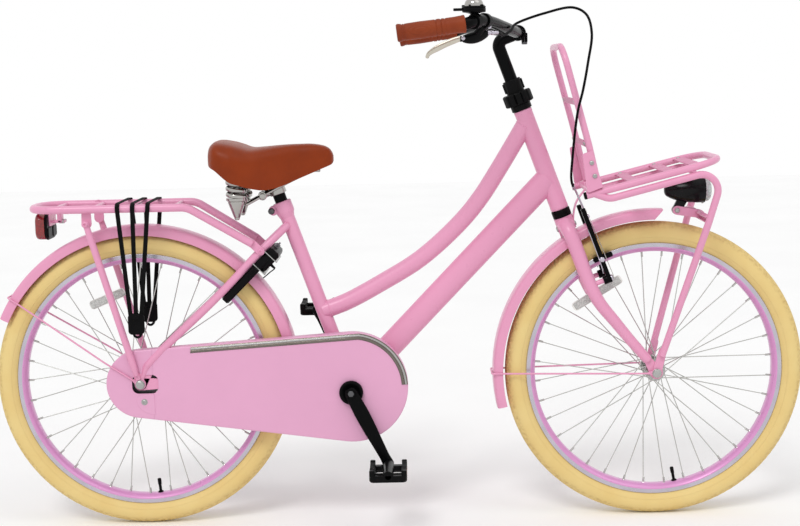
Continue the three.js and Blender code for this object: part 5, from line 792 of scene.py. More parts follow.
def make_hub(name, body, axle, node, hub, valve_degrees):
    """Hub shell with two flanges, and its crossed spokes with a head on each."""
    flange, spread, barrel, neck, right, left = hub
    shape = Shape()
    half, spoke_end, crossing, beside = 1.7, 238.5, 60, 1.05
    inside, outside = half - spread, -spread - half
    between = mirrored([
        (neck, outside - 3), (neck + 2.5, outside), (flange - 1.2, outside), (flange, outside + 0.9),
        (flange, inside - 0.9), (flange - 1.2, inside),
        (barrel + 3.4, inside), (barrel + 0.6, inside + 4), (barrel, inside + 9),
    ])
    first = [(5.2, -right), (neck - 1, -right), (neck, -right + 1)]
    last = [(neck, left - 1), (neck - 1, left), (5.2, left)]
    lathe(shape, first + between + last, axle, Y, 64, closed=True)
    knob = [(0, 1.5), (1.9, 1.2), (2.1, 0.4), (1.4, -0.4), (0, -0.5)]
    for i in range(SPOKES):
        side = 1 if i % 2 else -1
        leading = 1 if (i // 2) % 2 else -1
        degrees = (i + 0.5) * 360 / SPOKES - valve_degrees
        start = spoke_way(degrees + leading * crossing)
        head = axle + start * (flange - 4.4) + Y * (side * (spread + leading * beside))
        tip = axle + spoke_way(degrees) * spoke_end + Y * (side * (HOLE_SIDE + leading * beside))
        tube(shape, [head, tip], 1.0, 8, slot=1)
        lathe(shape, knob, head + Y * side * leading * 1.9, Y * (side * leading), 10, 1)
    piece(name, shape, body, [steel, spoke_steel], node, axle, 35)


def make_reflector(name, body, axle, node, start, end, side):
    """Clear reflector bar, its back half and one clip grey."""
    a, b = (axle + Vector((x * RIM_TOP, 0, z * RIM_TOP)) for x, z in (start, end))
    run = (b - a).normalized()
    across = Vector((-run.z, 0, run.x))
    length = (b - a).length
    middle = (a + b) / 2
    shape = Shape()
    plate(shape, rounded_box(length, 18, 6, 8), 2.0, at_side(middle, side + 1.1), run, across, 0.3, 1)
    for share in (-0.25, 0.25):
        place = at_side(middle + run * length * share, side - 0.85)
        plate(shape, rounded_box(length * 0.44, 15, 3.6, 6), 1.9, place, run, across, 0.7, 0)
    box(shape, at_side(middle, side - 0.7), (length * 0.04, 17, 2.4), run, across, 0.3, slot=1)
    piece(name, shape, body, [clear_lens, clear_back], node)


# Radius of the flanges, their distance from the middle, radius of barrel and neck, right and left end
FRONT_HUB = (21, 29, 11, 11, 40, 40)
REAR_HUB = (34, 28, 25, 17, 39, 42)
make_tyre("tyre_front", "front_wheel", FRONT_AXLE, "front_tyre")
make_tyre("tyre_rear", "rear_wheel", REAR_AXLE, "rear_tyre")
make_rim("rim_front", "front_wheel", FRONT_AXLE, "front_rim", FRONT_VALVE)
make_rim("rim_rear", "rear_wheel", REAR_AXLE, "rear_rim", REAR_VALVE)
make_hub("hub_front", "front_wheel", FRONT_AXLE, "front_hub_and_spokes", FRONT_HUB, FRONT_VALVE)
make_hub("hub_rear", "rear_wheel", REAR_AXLE, "rear_hub_and_spokes", REAR_HUB, REAR_VALVE)
make_reflector(
    "reflector_front", "front_wheel", FRONT_AXLE, "front_reflector", (-0.627, 0.498), (-0.251, 0.727), -12.86
)
make_reflector(
    "reflector_rear", "rear_wheel", REAR_AXLE, "rear_reflector", (-0.4, 0.595), (-0.125, 0.707), -14.4
)


# Main frame and rear triangle
HEAD_FOOT, TOP_TUBE_HIGH, DOWN_TUBE_HIGH = 372.4, 560.6, 438.2
TOP_TUBE_RADIUS, DOWN_TUBE_RADIUS, SEAT_TUBE_RADIUS = 17.5, 20.0, 14.3
TOP_TUBE = [
    (0, 0), (0.176, 0.053), (0.304, 0.087), (0.415, 0.103), (0.609, 0.102), (0.776, 0.07), (0.916, 0.034),
    (1, 0),
]


def weld(shape, place, direction, radius):
    """Bead of weld round a tube where it meets another."""
    size = 1.1
    direction = Vector(direction).normalized()
    bead = [(-0.6, 0, -1.4), (0, 0.55, -0.6), (0, 0.7, 0.3), (-0.6, 0, 1.5)]
    profile = [(radius + sunk + size * out, size * along) for sunk, out, along in bead]
    return lathe(shape, profile, place, direction, 40)


def top_tube_line():
    start, end = steer(TOP_TUBE_HIGH), seat((132.5 + BRACKET_DROP) / cos(SEAT_LEAN))
    chord = end - start
    below = Vector((-chord.z, 0, chord.x))
    return smooth([start + chord * s + below * d for s, d in TOP_TUBE], 64)


def make_frame():
    shape = Shape()
    profile = [
        (16.4, 0), (17.6, 0.2), (18.3, 1), (18.3, 7), (18.0, 8), (18.0, 204.5), (18.3, 205.5), (18.3, 211.4),
        (17.6, 212.2), (16.4, 212.4),
    ]
    lathe(shape, profile, steer(HEAD_FOOT), ALONG, 56, closed=True)
    line = top_tube_line()
    tube(shape, line, TOP_TUBE_RADIUS, 40, hint=Y)
    down = [mix(BRACKET, steer(DOWN_TUBE_HIGH), s / 8) for s in range(9)]
    tube(shape, down, DOWN_TUBE_RADIUS, 44, oval=1.25, hint=Y)
    tube(shape, [BRACKET, seat(SEAT_TUBE - 30)], SEAT_TUBE_RADIUS, 40)
    shell = [
        (20, -33), (20.6, -33.9), (20.6, -30), (20, -29), (20, 29), (20.6, 30), (20.6, 33.9), (17.3, 33.9),
        (17.3, -33.9),
    ]
    lathe(shape, shell, BRACKET, Y, 56, closed=True)
    weld(shape, mix(steer(TOP_TUBE_HIGH), line[3], 0.42), line[3] - line[0], TOP_TUBE_RADIUS)
    weld(shape, line[-1] + (line[-3] - line[-1]).normalized() * 15, line[-1] - line[-3], TOP_TUBE_RADIUS)
    piece("frame_tubes", shape, "frame", pink, "main_frame", angle=50)
    collar = Shape()
    profile = [
        (14.3, -34), (15.6, -30.5), (16.6, -27), (18.1, -24), (18.7, -20.5), (18.7, -2.4), (17.9, -0.6),
        (16.4, 0), (13.1, 0), (13.0, -33),
    ]
    lathe(collar, profile, seat(SEAT_TUBE), SEAT_UP, 56, closed=True)
    for side in (-6.2, 6.2):
        ear = seat(SEAT_TUBE - 11.5, -21.5, side)
        plate(collar, rounded_box(16, 19, 7, 8), 6.6, ear, SEAT_ACROSS, SEAT_UP, 0.9)
    bolt = seat(SEAT_TUBE - 11, -25.2)
    rod(collar, at_side(bolt, -12), at_side(bolt, 12), 3.2, 20, 1)
    button(collar, at_side(bolt, -9.6), -Y, 6.6, 5.4, 1)
    hexagon(collar, at_side(bolt, 9.6), Y, 6.2, 4.6, 1)
    piece("seat_collar", collar, "frame", [pink, dark_steel], "seat_clamp")


CHAIN_STAY = [(0.82, 0.75, 0.88), (0.66, 0.55, 1.04), (0.42, 0.3, 1.2)]
SEAT_STAY = [
    (1, 1, 0.2), (0.937, 0.944, 0.45), (0.819, 0.837, 0.68), (0.486, 0.516, 0.86), (0.136, 0.209, 0.98),
    (0.043, 0.117, 1),
]
STAY_SIDE, SEAT_STAY_AHEAD, SEAT_STAY_RISE = 57.1, 300, 309
DROP_INNER, DROP_OUTER, DROP_AHEAD = 54.0, 59.0, 78


def chain_stay(side):
    tyre_side, foot_side = 35.5, 56.5
    points = [rear(BRACKET_AHEAD - 16, -BRACKET_DROP, side * 24.7)]
    points += [rear(BRACKET_AHEAD * a, -BRACKET_DROP * d, side * tyre_side * s) for a, d, s in CHAIN_STAY]
    points += [rear(DROP_AHEAD, 0, side * (foot_side - 2.76)), rear(DROP_AHEAD * 0.7, 0, side * foot_side)]
    return smooth(points, 40)


def seat_stay(side):
    points = [rear(SEAT_STAY_AHEAD * a, SEAT_STAY_RISE * r, side * STAY_SIDE * s) for a, r, s in SEAT_STAY]
    return smooth(points, 48)


def stay_at(reach):
    """Place on the left seat stay nearest to a distance from the rear axle."""
    return min(seat_stay(1), key=lambda p: abs(hypot(p.x - REAR_X, p.z - WHEEL_TOP) - reach))


def make_rear_triangle():
    shape = Shape()
    tube(shape, chain_stay(-1), [mix(9, 4.8, max(0, i / 40 - 0.55) / 0.45) for i in range(41)], 28, dome=3)
    upper = seat_stay(-1)
    tube(shape, upper, 8.0, 28, dome=3)
    tip = rear(3.5, 11, upper[-1].y)
    toe = [mix(upper[-1], tip, i / 6) for i in range(7)]
    tube(shape, toe, [mix(7.9, 4.6, i / 6) for i in range(7)], 24, dome=2)
    for end in (rear(DROP_AHEAD, 0), rear(30, SEAT_STAY_RISE * 0.16)):
        link(shape, REAR_AXLE, end, 13, 7.8, -DROP_OUTER, -DROP_INNER, 0.7)
    shape.mirror()
    near = stay_at(322.3)
    tube(shape, [at_side(near, -near.y), near], 5.0, 24)
    button(shape, at_side(near, -9) + Vector((-3, 0, -5)), Vector((-0.7, 0, -0.7)), 4, 3, 1)
    piece("rear_stays", shape, "frame", [pink, dark_steel], "rear_triangle", angle=45)


make_frame()
make_rear_triangle()


# Rear rack, struts, tail lamp and straps
RACK_HIGH, RACK_HALF, RACK_BACK, RACK_AHEAD = 354, 65, -206, 108
RACK_FOOT, STRUT_TOP, STRUT_SIDE = (232, 278), rear(-92.3, 325.5), 68.4
LENS_HIGH, LENS_WIDE, LENS_TALL, LENS_CORNER = 318, 80, 54, 18
HOOK_HIGH = 122


def make_rack():
    shape = Shape()
    bends = [(*RACK_FOOT, 52), (RACK_AHEAD, RACK_HIGH, RACK_HALF), (RACK_BACK, RACK_HIGH, RACK_HALF)]
    corners = [rear(a, up, -side) for a, up, side in bends]
    tube(shape, rounded(and_back(corners), [45, 52, 52, 45], 12), 8.0, 28, hint=Z, dome=2)
    for share in (0.153, 0.398, 0.653, 0.911):
        place = mix(RACK_BACK, RACK_AHEAD, share)
        rod(shape, rear(place, RACK_HIGH, -64), rear(place, RACK_HIGH, 64), 4.5, 22)
    stay = stay_at(hypot(*RACK_FOOT))
    rail = Vector((STRUT_TOP.x, 0, WHEEL_TOP + RACK_HIGH))
    thick = 3
    ear, inner = stay.y + 9.2, STRUT_SIDE - 7 - 0.3 - thick
    for s in (-1, 1):
        link(shape, stay, rear(*RACK_FOOT), 8, 8, s * ear, s * (ear + thick), 0.5)
        button(shape, at_side(stay, s * (ear + thick)), Y * s, 5.4, 3.4, 1)
        link(shape, STRUT_TOP, rail, 10, 9, s * inner, s * (inner + thick), 0.5)
    piece("rack_tubes", shape, "frame", [pink, pink], "rear_rack", angle=45)


def make_strut(s, hand):
    shape = Shape()
    top, side = STRUT_TOP, s * STRUT_SIDE
    run = (top - REAR_AXLE).normalized()
    start = REAR_AXLE + run * 21
    line = [at_side(p, side) for p in (start, start + run * 14, mix(start, top, 0.5), top - run * 16, top)]
    radii = [4.6 if i == 0 else 7 if 1 < i < 23 else 6.2 for i in range(25)]
    tube(shape, smooth(line, 24), radii, 28, dome=2)
    link(shape, REAR_AXLE, REAR_AXLE + run * 16, 11, 8, s * 59.3, s * 62.3, 0.5)
    lug = at_side(REAR_AXLE + run * 18.5, s * 64.2)
    plate(shape, rounded_box(18, 9, 3, 5), 4.2, lug, run, run.cross(Y), 0.8)
    button(shape, at_side(top, s * 75), Y * s, 5.6, 3.6, 1)
    disc(shape, at_side(top, s * 74.4), Y * s, 7, 1, 1)
    piece("strut_" + hand, shape, "frame", [pink, pink], "rack_strut_" + hand)


def make_tail_lamp():
    shape = Shape()
    plate(shape, rounded_box(LENS_WIDE, LENS_TALL, LENS_CORNER, 10), 5.6, rear(-179.1, LENS_HIGH), Y, Z, 1.8)
    for side in (-20, 20):
        plate(shape, rounded_box(30, 22, 5, 6), 7.4, rear(-178.2, 306, side), Y, Z, 1.4)
    plate(shape, rounded_box(52, 24, 5, 6), 3, rear(-174.8, 330), Y, Z, 0.8, 2)
    box(shape, rear(-181, 326) + X * 16, (34, 20, 5), X, Y, 0.8, 3, slot=2)
    box(shape, rear(-158, 336), (9, 20, 24), X, Y, 0.8, 2, slot=2)
    rod(shape, rear(-150, 326), rear(-160, 326), 4.6, 20, 1)
    for side in (-8, 8):
        wing = (Z * 0.8 + X * 0.2).normalized()
        plate(shape, rounded_box(15, 7, 3, 5), 3.4, rear(-150.5, 326, side), Y, wing, 0.9, 1)
    piece(
        "tail_lamp_housing", shape, "frame", [black_plastic, steel, pink], "tail_lamp"
    )
    lens = Shape()
    loops = []
    for back, shrink in (
        (182.3, 0.9), (183, 0.7), (194, 0.7), (198, 1.4), (200.4, 3.4), (201.5, 6.5), (202, 10),
    ):
        edge = rounded_box(LENS_WIDE - 2 * shrink, LENS_TALL - 2 * shrink, max(LENS_CORNER - shrink, 4), 10)
        loops.append([rear(-back, LENS_HIGH) + Y * a + Z * b for a, b in edge])
    rings(lens, loops[::-1])
    for offset in (-9, 0, 9):
        box(lens, rear(-201.6, LENS_HIGH + offset), (0.8, 58 - abs(offset) * 0.8, 1.0), X, Y, 0.2)
    piece("tail_lamp_glass", lens, "frame", red_lens, "tail_lamp_lens")


# Section of a band, in shares of half its width and half its thickness
WOVEN = [
    (1, 0.2), (0.94, 0.9), (0.5, 1.15), (0, 1), (-0.5, 1.15), (-0.94, 0.9), (-1, 0.2), (-1, -0.2),
    (-0.94, -1), (0, -1), (0.94, -1), (1, -0.2),
]


def ribbon(shape, line, half_width, half_thick, across=X):
    loops = []
    for i, p in enumerate(line):
        run = (line[min(i + 1, len(line) - 1)] - line[max(i - 1, 0)]).normalized()
        normal = run.cross(across).normalized()
        loops.append([p + across * half_width * w + normal * half_thick * t for w, t in WOVEN])
    return rings(shape, loops)


def make_straps():
    """Three elastic bands over the rack, drawn together at a moulded hook on each side."""
    shape = Shape()
    lift = 8 + 1.6 + 1
    foot_side = RACK_HALF + lift
    for place in (-1, 0, 1):
        top, foot = 2 + place * 30, place * 9
        half = []
        for share in (0, 0.3, 0.7, 0.93):
            half.append(rear(mix(foot, top, share), mix(HOOK_HIGH, RACK_HIGH, share), -foot_side))
        for k in range(7):
            a = k / 6 * pi / 2
            half.append(rear(top, RACK_HIGH + lift * sin(a), -(RACK_HALF + lift * cos(a))))
        ribbon(shape, spaced(and_back(half), 90), 4.4, 0.95)
    piece("rack_straps", shape, "frame", webbing, "luggage_straps")
    hooks = Shape()
    middle = rear(0, HOOK_HIGH, -foot_side)
    for size, corner, steps, thick, place, bevel in (
        ((32, 42), 8, 8, 10, (0, 0, 3), 2.4),
        ((22, 12), 4, 6, 12, (-2, 0, 18), 1.6),
        ((20, 24), 6, 6, 12.4, (1, 0, -3), 1.6),
    ):
        plate(hooks, rounded_box(*size, corner, steps), thick, middle + Vector(place), X, Z, bevel)
    curve = [middle + Vector((x, 3, z)) for x, z in ((-6, -14), (-5, -21), (2, -24), (8, -19), (8, -12))]
    tube(hooks, smooth(curve, 24), 2.6, 16, dome=2)
    hooks.mirror()
    piece("strap_hooks", hooks, "frame", rubber)


make_rack()
for s, hand in SIDES:
    make_strut(s, hand)
make_tail_lamp()
make_straps()


# Chain case with its trim, and the drive inside it
CASE_FRONT = BRACKET + Vector((3, 0, 9))
CASE_BIG, CASE_SMALL, CASE_SEAM = 111, 69, 25.0
CASE_FACE, CASE_BACK, CASE_WALL = -61.1, -38, 1.5
TRIM_START, TRIM_END, TRIM_FACE = 104, 8.9, 61.3


def case_outline(inset):
    return belt(
        (CASE_FRONT.x, CASE_FRONT.z), CASE_BIG - inset, (REAR_AXLE.x, REAR_AXLE.z), CASE_SMALL - inset, 40
    )


def round_hole(centre, radius):
    return arc2(centre.x, centre.z, radius, 0, 2 * pi * 47 / 48, 47)


def make_case():
    shape = Shape()
    section = [
        (4, -61.1), (1.8, -60.8), (0.6, -59.9), (0, -58.2), (0, -38.5), (0.8, -37), (3, -36.5), (3, -38),
        (1.5, -38.6), (1.5, -59.2), (4, -59.6),
    ]
    loops = [[Vector((x, side, z)) for x, z in case_outline(inset)] for inset, side in section]
    rings(shape, loops, caps=False)
    window = [(REAR_X + 9.5 + x, WHEEL_TOP + z) for x, z in rounded_box(53, 38, 13, 8)]
    face_holes, back_holes = [round_hole(BRACKET, 17), window], [
        round_hole(REAR_AXLE, 44), round_hole(BRACKET, 20.6)
    ]
    pierced(shape, case_outline(4), face_holes, CASE_FACE, CASE_FACE + CASE_WALL)
    pierced(shape, case_outline(3), back_holes, CASE_BACK, CASE_BACK + CASE_WALL)
    front = halved(shape, REAR_X + CASE_SEAM + 0.15, True)
    edge = upright(
        ((27, -21), (4, -21), (-6, -26), (-9, -35), (-4, -47), (8, -57), (20, -61.5), (27, -62.5))
    )
    side_plate(front, [(REAR_X + p.x, WHEEL_TOP + p.z) for p in smooth(edge, 36)], -61.9, -61.0, 0.35)
    screw = rear(6.6, -36, -61.8)
    button(front, screw, -Y, 4.6, 2.4, 1)
    disc(front, screw, -Y, 6.4, 0.6, 1)
    piece("case_front", front, "frame", [case_pink, steel], "chaincase", angle=30)
    tail = halved(shape, REAR_X + CASE_SEAM - 0.15, False)
    piece("case_tail", tail, "frame", case_pink, "chaincase_tail", angle=30)


def make_trim():
    """Two-ribbed strip along the case's upper edge and front: dark hue and pale band are painted reflection.
    """
    span = CASE_FRONT - REAR_AXLE
    run = span.normalized()
    lift = Vector((-run.z, 0, run.x))
    lean = acos((CASE_BIG - CASE_SMALL) / span.length)
    out = circling(lean, run, lift)
    first, last = REAR_AXLE + out * CASE_SMALL, CASE_FRONT + out * CASE_BIG
    start = mix(first, last, (REAR_X + TRIM_START - first.x) / (last.x - first.x))
    line = [(mix(start, last, i / 12), out) for i in range(12)]
    for i in range(49):
        direction = circling(mix(lean, asin(TRIM_END / CASE_BIG), i / 48), run, lift)
        line.append((CASE_FRONT + direction * CASE_BIG, direction))
    strip = [
        (0.2, 0), (0.2, 0.7), (0.9, 1.3), (2.4, 1.8), (4.6, 1.8), (6.2, 1.3), (7.0, 0.5), (7.8, 0.9),
        (9.2, 1.3), (11.2, 1.1), (12.5, 0.6), (12.8, 0),
    ]
    # Pale steel band on the outer rib: a painted highlight
    highlight_band = [(2.2, 1.5), (2.6, 2.0), (5.4, 2.0), (5.8, 1.5)]
    shape = Shape()
    for slot, profile in enumerate((strip, highlight_band)):
        rings(shape, [[p - d * inset - Y * (TRIM_FACE + h) for inset, h in profile] for p, d in line], slot)
    piece("case_trim", shape, "frame", [trim_metal, steel], "chaincase_trim", angle=60)


def dress(name, material):
    """Gives a CAD piece that keeps its own shape a procedural material."""
    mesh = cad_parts[name].data
    mesh.materials.clear()
    mesh.materials.append(material)


make_case()
make_trim()
for part in ("chain", "chainring", "sprocket"):
    dress(part, dark_steel)
dress("bottom_bracket", steel)


# Mudguards and their wire stays: radius, half width and depth
REAR_GUARD, FRONT_GUARD = (317, 28, 21), (326, 27.5, 20)


def guard(shape, axle, radius, half, depth, first, last, slant=0.0):
    """Thin curved channel round a wheel with rolled edges, its angles in degrees from straight ahead."""
    t, steps = 1.2, 120
    outer = [
        (1, 1), (1, 0.62), (0.985, 0.4), (0.95, 0.26), (0.88, 0.15), (0.78, 0.085), (0.6, 0.04), (0.3, 0.01),
        (0, 0),
    ]
    right = [(half * a, depth * b) for a, b in outer]
    line = right + [(-a, b) for a, b in right[-2::-1]]
    inner = [
        ((abs(a) - t) * (1 if a > 0 else -1) if abs(a) > t else 0.0, b + (t if b < depth * 0.9 else 0))
        for a, b in line
    ]
    roll = [
        (line[0][0] - 0.1 - 1.1 * (1 - cos(k)), depth - 0.2 + 0.9 * sin(k)) for k in (0.5, 1.2, 1.9, 2.6)
    ]
    whole = line[::-1] + roll + inner + [(-a, b) for a, b in roll[::-1]]
    loops = []
    for i in range(steps + 1):
        loop = []
        for side, fall in whole:
            shift = slant * fall / depth
            out = circling(radians(mix(first + shift, last, i / steps)))
            loop.append(axle + out * (radius - fall) + Y * side)
        loops.append(loop)
    return rings(shape, loops)


def wire_stay(name, node, body, axle, eye, radius, half, depth, degrees, clear):
    """Bent wire from the axle to a guard, with an eye and two clips on each side."""
    out = circling(radians(degrees))
    place = lambda reach, side: axle + out * reach + Y * side
    side, wire = half + 2.1, eye + 1.8
    right = [
        place(13, -wire), place(clear, -wire), place(radius - depth - 3.6, -side), place(radius + 2.1, -side)
    ]
    shape = Shape()
    tube(shape, rounded(and_back(right), [43, 6, 5.4, 5.4, 6, 43], 8), 1.8, 14)
    for s in (-1, 1):
        link(shape, axle, axle + out * 16.6, 7.4, 2.5, s * eye, s * (eye + 1.8), 0.4)
        for reach in (radius - depth + 5, radius - 7):
            box(shape, place(reach, s * (half + 1.5)), (5, 4.4, 3.4), out, Y, 0.5)
    piece(name, shape, body, pink, node, angle=40)


def make_guards():
    back = guard(Shape(), REAR_AXLE, *REAR_GUARD, 3, 155)
    piece("mudguard_rear", back, "frame", pink, "rear_mudguard", angle=35)
    front = guard(Shape(), FRONT_AXLE, *FRONT_GUARD, 86.6, 193, 3.2)
    tab = steer(325, -16.9)
    box(front, tab, (13.5, 30, 2.4), Y, ALONG, 0.4, 3)
    button(front, steer(335, -18), -AHEAD, 5.4, 3.2, 1)
    hexagon(front, steer(335, -17.6), -AHEAD, 6.4, 1.8, 1)
    piece("mudguard_front", front, "steering", [pink, steel], "front_mudguard", angle=35)
    wire_stay("stay_rear", "rear_mudguard_stay", "frame", REAR_AXLE, 62.6, *REAR_GUARD, 146.5, 84)
    wire_stay("stay_front", "front_mudguard_stay", "steering", FRONT_AXLE, 53.6, *FRONT_GUARD, 180, 30)


make_guards()


# Ring lock
STAY_RUN = Vector((0.70963, 0, 0.70457))
STAY_AHEAD = Vector((0.70457, 0, -0.70963))


def lock_point(up, ahead, side=0.0):
    return rear(145.8, 159.4, side) + STAY_RUN * up + STAY_AHEAD * ahead


def make_lock():
    shape = Shape()
    half = [(40.5, 20), (50, 30), (50, 132), (43, 152), (31, 165)]
    outline = upright(half + [(-x, z) for x, z in half[::-1]])
    half = [(-34.8, 20), (-31, 26), (-31, 84), (-24, 104)]
    inside = upright(half + [(-x, z) for x, z in half[::-1]])
    line = rounded(outline, [7, 20, 16, 16, 16, 16, 20, 7], 6) + rounded(inside, [4, 22, 20, 20, 22, 4], 6)
    plate(shape, flat(line), 17, lock_point(0, 16.8), Y, STAY_RUN, 3.0)
    plate(shape, rounded_box(92, 49, 12, 8), 26, lock_point(140.5, 21.3), Y, STAY_RUN, 4.5)
    plate(shape, rounded_box(99, 15, 5, 6), 25, lock_point(158, 20.8), Y, STAY_RUN, 4)
    seam = rounded_box(2 * 50.4, 26.5 + 2 * (50.4 - 45), 5, 8)
    for up in (150.8, 116.5):
        loops = [[lock_point(up + d, 21.3 + b * 0.93) + Y * a for a, b in seam] for d in (-0.9, 0.9)]
        rings(shape, loops, 2)
    rod(shape, lock_point(149, 17), lock_point(174, 17), 5, 24, 3, 1)
    box(shape, lock_point(173, 17), (18, 9, 3.6), Y, STAY_RUN, 0.8, 3, 3)
    top, foot = lock_point(132, 31.7), lock_point(132, 44.5)
    tube(shape, [top, foot], [3.4, 2.3], 20, slot=1, dome=1)
    down, above_guard = (REAR_AXLE - foot).normalized(), REAR_GUARD[0] + 1.6
    end = foot + down * ((REAR_AXLE - foot).length - above_guard)
    tube(shape, smooth([top, mix(top, foot, 0.6), foot, mix(foot, end, 0.4), end], 20), 1.2, 10, slot=1)
    piece(
        "lock_body", shape, "frame", [black_plastic, rubber, steel, grey_plastic], "ring_lock",
        angle=35
    )
    knob = Shape()
    centre = lock_point(104, 17.65, -54.8)
    plate(knob, rounded_box(12, 22, 4, 6), 9, centre, STAY_AHEAD, STAY_RUN, 1.4)
    for step in (-6, -3, 0, 3, 6):
        box(knob, centre + STAY_RUN * step - Y * 4.4, (8, 1.2, 1.6), STAY_AHEAD, STAY_RUN, 0.3)
    piece("lock_knob", knob, "lock_lever", black_plastic, "lock_lever", angle=35)


make_lock()


# Axles, brake reaction arm and headset
def make_axles():
    for end, body, axle, outer, inner in (
        ("rear", "frame", REAR_AXLE, 64.7, 44),
        ("front", "steering", FRONT_AXLE, 55.7, 41),
    ):
        tip = outer + 5.7
        shape = Shape()
        rod(shape, at_side(axle, -tip), at_side(axle, tip), 4.7, 28, 0, 0.8)
        for s in (-1, 1):
            place = at_side(axle, s * outer)
            lathe(shape, [(4, 0), (9.2, 0), (9.2, 0.9), (8.6, 1.4), (4, 1.4)], place, Y * s, 36)
            hexagon(shape, place + Y * s * 1.2, Y * s, 8.6, 4.2)
            rod(shape, at_side(axle, s * inner), at_side(axle, s * (outer - 11)), 7.8, 28)
        piece("axle_" + end, shape, body, steel, end + "_axle", angle=35)
    arm = Shape()
    near, far = 43.05, 46.05
    end, tab = rear(150, -39.6), rear(150, -7.2)
    link(arm, REAR_AXLE, end, 14.4, 8.1, near, far, 0.6)
    link(arm, end, tab, 8.1, 8.1, near, far, 0.6)
    groove = [at_side(mix(REAR_AXLE, end, share), 46.2) for share in (0.2, 0.85)]
    ribbon(arm, groove, 3, 0.9, Vector((0.26, 0, 0.97)))
    button(arm, at_side(tab, far), Y, 5, 3)
    piece("reaction_arm", arm, "frame", steel, "back_pedal_brake_arm", angle=35)


def make_headset():
    low = Shape()
    for cup in (
        [(14.8, 0.3), (18.2, 0.3), (19, 1.2), (19, 14.6), (18.2, 15.6), (14.8, 15.6)],
        [(18.9, 7.2), (19.2, 7.5), (19.2, 8.3), (18.9, 8.6)],
    ):
        lathe(low, cup, steer(HEAD_CUP), ALONG, 56, closed=True)
    piece("race_lower", low, "frame", black_paint, "headset_lower", angle=40)
    top = Shape()
    profile = [(14.9, 0.3), (19.6, 0.3), (20.5, 1.2), (20.5, 11), (19.4, 12.3), (14.9, 12.3)]
    lathe(top, profile, steer(HEAD_TOP), ALONG, 56, closed=True)
    radius, lobes, groove = 29, 6, 2.8
    loops = []
    for height, shrink in ((12, 2.2), (13.2, 0.9), (15, 0), (33, 0), (35, 0.9), (36.4, 2.6), (36.4, 12)):
        loop = []
        for i in range(144):
            a = 2 * pi * i / 144
            wave = abs(cos(a * lobes))
            r = radius - shrink - (groove * (1 - min(1, wave * 2.2)) if height > 12.5 else 1.5)
            loop.append(steer(HEAD_TOP + height) + AHEAD * r * cos(a) + Y * r * sin(a))
        loops.append(loop)
    rings(top, loops)
    nut = [(13, 36), (18, 36), (18, 62), (17.2, 63.3), (13, 63.3)]
    lathe(top, nut, steer(HEAD_TOP), ALONG, 56, closed=True)
    for s in (-1, 1):
        box(top, steer(HEAD_TOP + 50, 18.5 * s), (9, 20, 4), Y, ALONG, 0.8, 2)
    piece("race_upper", top, "steering", black_plastic, "headset_upper", angle=35)


make_axles()
make_headset()

# Seat post, saddle frame, springs and saddle
SPRING_X, SPRING_FOOT = -311.9, 627.7
SADDLE_BACK, SADDLE_LENGTH, SADDLE_HIGH, SADDLE_DEEP, SADDLE_HALF = -366.5, 246, 782, 98, 96
# Along the saddle from its back: share of its length, of its depth down to the crown and to the edge,
# of its width, and of the hollow under it
SADDLE = [
    (0, 0.32, 0.39, 0.3, 1), (0.008, 0.17, 0.45, 0.62, 0.95), (0.026, 0.071, 0.5, 0.78, 0.9),
    (0.071, 0.005, 0.56, 0.92, 0.75),
    (0.177, 0.035, 0.776, 1, 0.6), (0.258, 0.092, 0.857, 0.97, 0.55), (0.339, 0.16, 0.93, 0.87, 0.5),
    (0.437, 0.152, 0.99, 0.7, 0.48),
    (0.535, 0.133, 0.97, 0.52, 0.5), (0.636, 0.117, 0.89, 0.38, 0.55), (0.722, 0.112, 0.8, 0.31, 0.6),
    (0.827, 0.114, 0.694, 0.27, 0.7),
    (0.92, 0.153, 0.6, 0.23, 0.85), (0.965, 0.21, 0.555, 0.19, 0.95), (0.99, 0.29, 0.52, 0.12, 1),
    (1, 0.36, 0.46, 0.05, 1),
]


def table_at(rows, place):
    """Row of a table at a place in its first column, on a curve through its rows."""
    k = max(i for i in range(len(rows) - 1) if rows[i][0] <= place + 1e-9)
    a, b = rows[k], rows[k + 1]
    before, after = rows[max(k - 1, 0)], rows[min(k + 2, len(rows) - 1)]
    span = b[0] - a[0]
    t = (place - a[0]) / span
    out = []
    for j in range(1, len(a)):
        m0 = (b[j] - before[j]) / (b[0] - before[0]) * span
        m1 = (after[j] - a[j]) / (after[0] - a[0]) * span
        ends = (2 * t**3 - 3 * t**2 + 1) * a[j] + (t**3 - 2 * t**2 + t) * m0
        out.append(ends + (3 * t**2 - 2 * t**3) * b[j] + (t**3 - t**2) * m1)
    return out


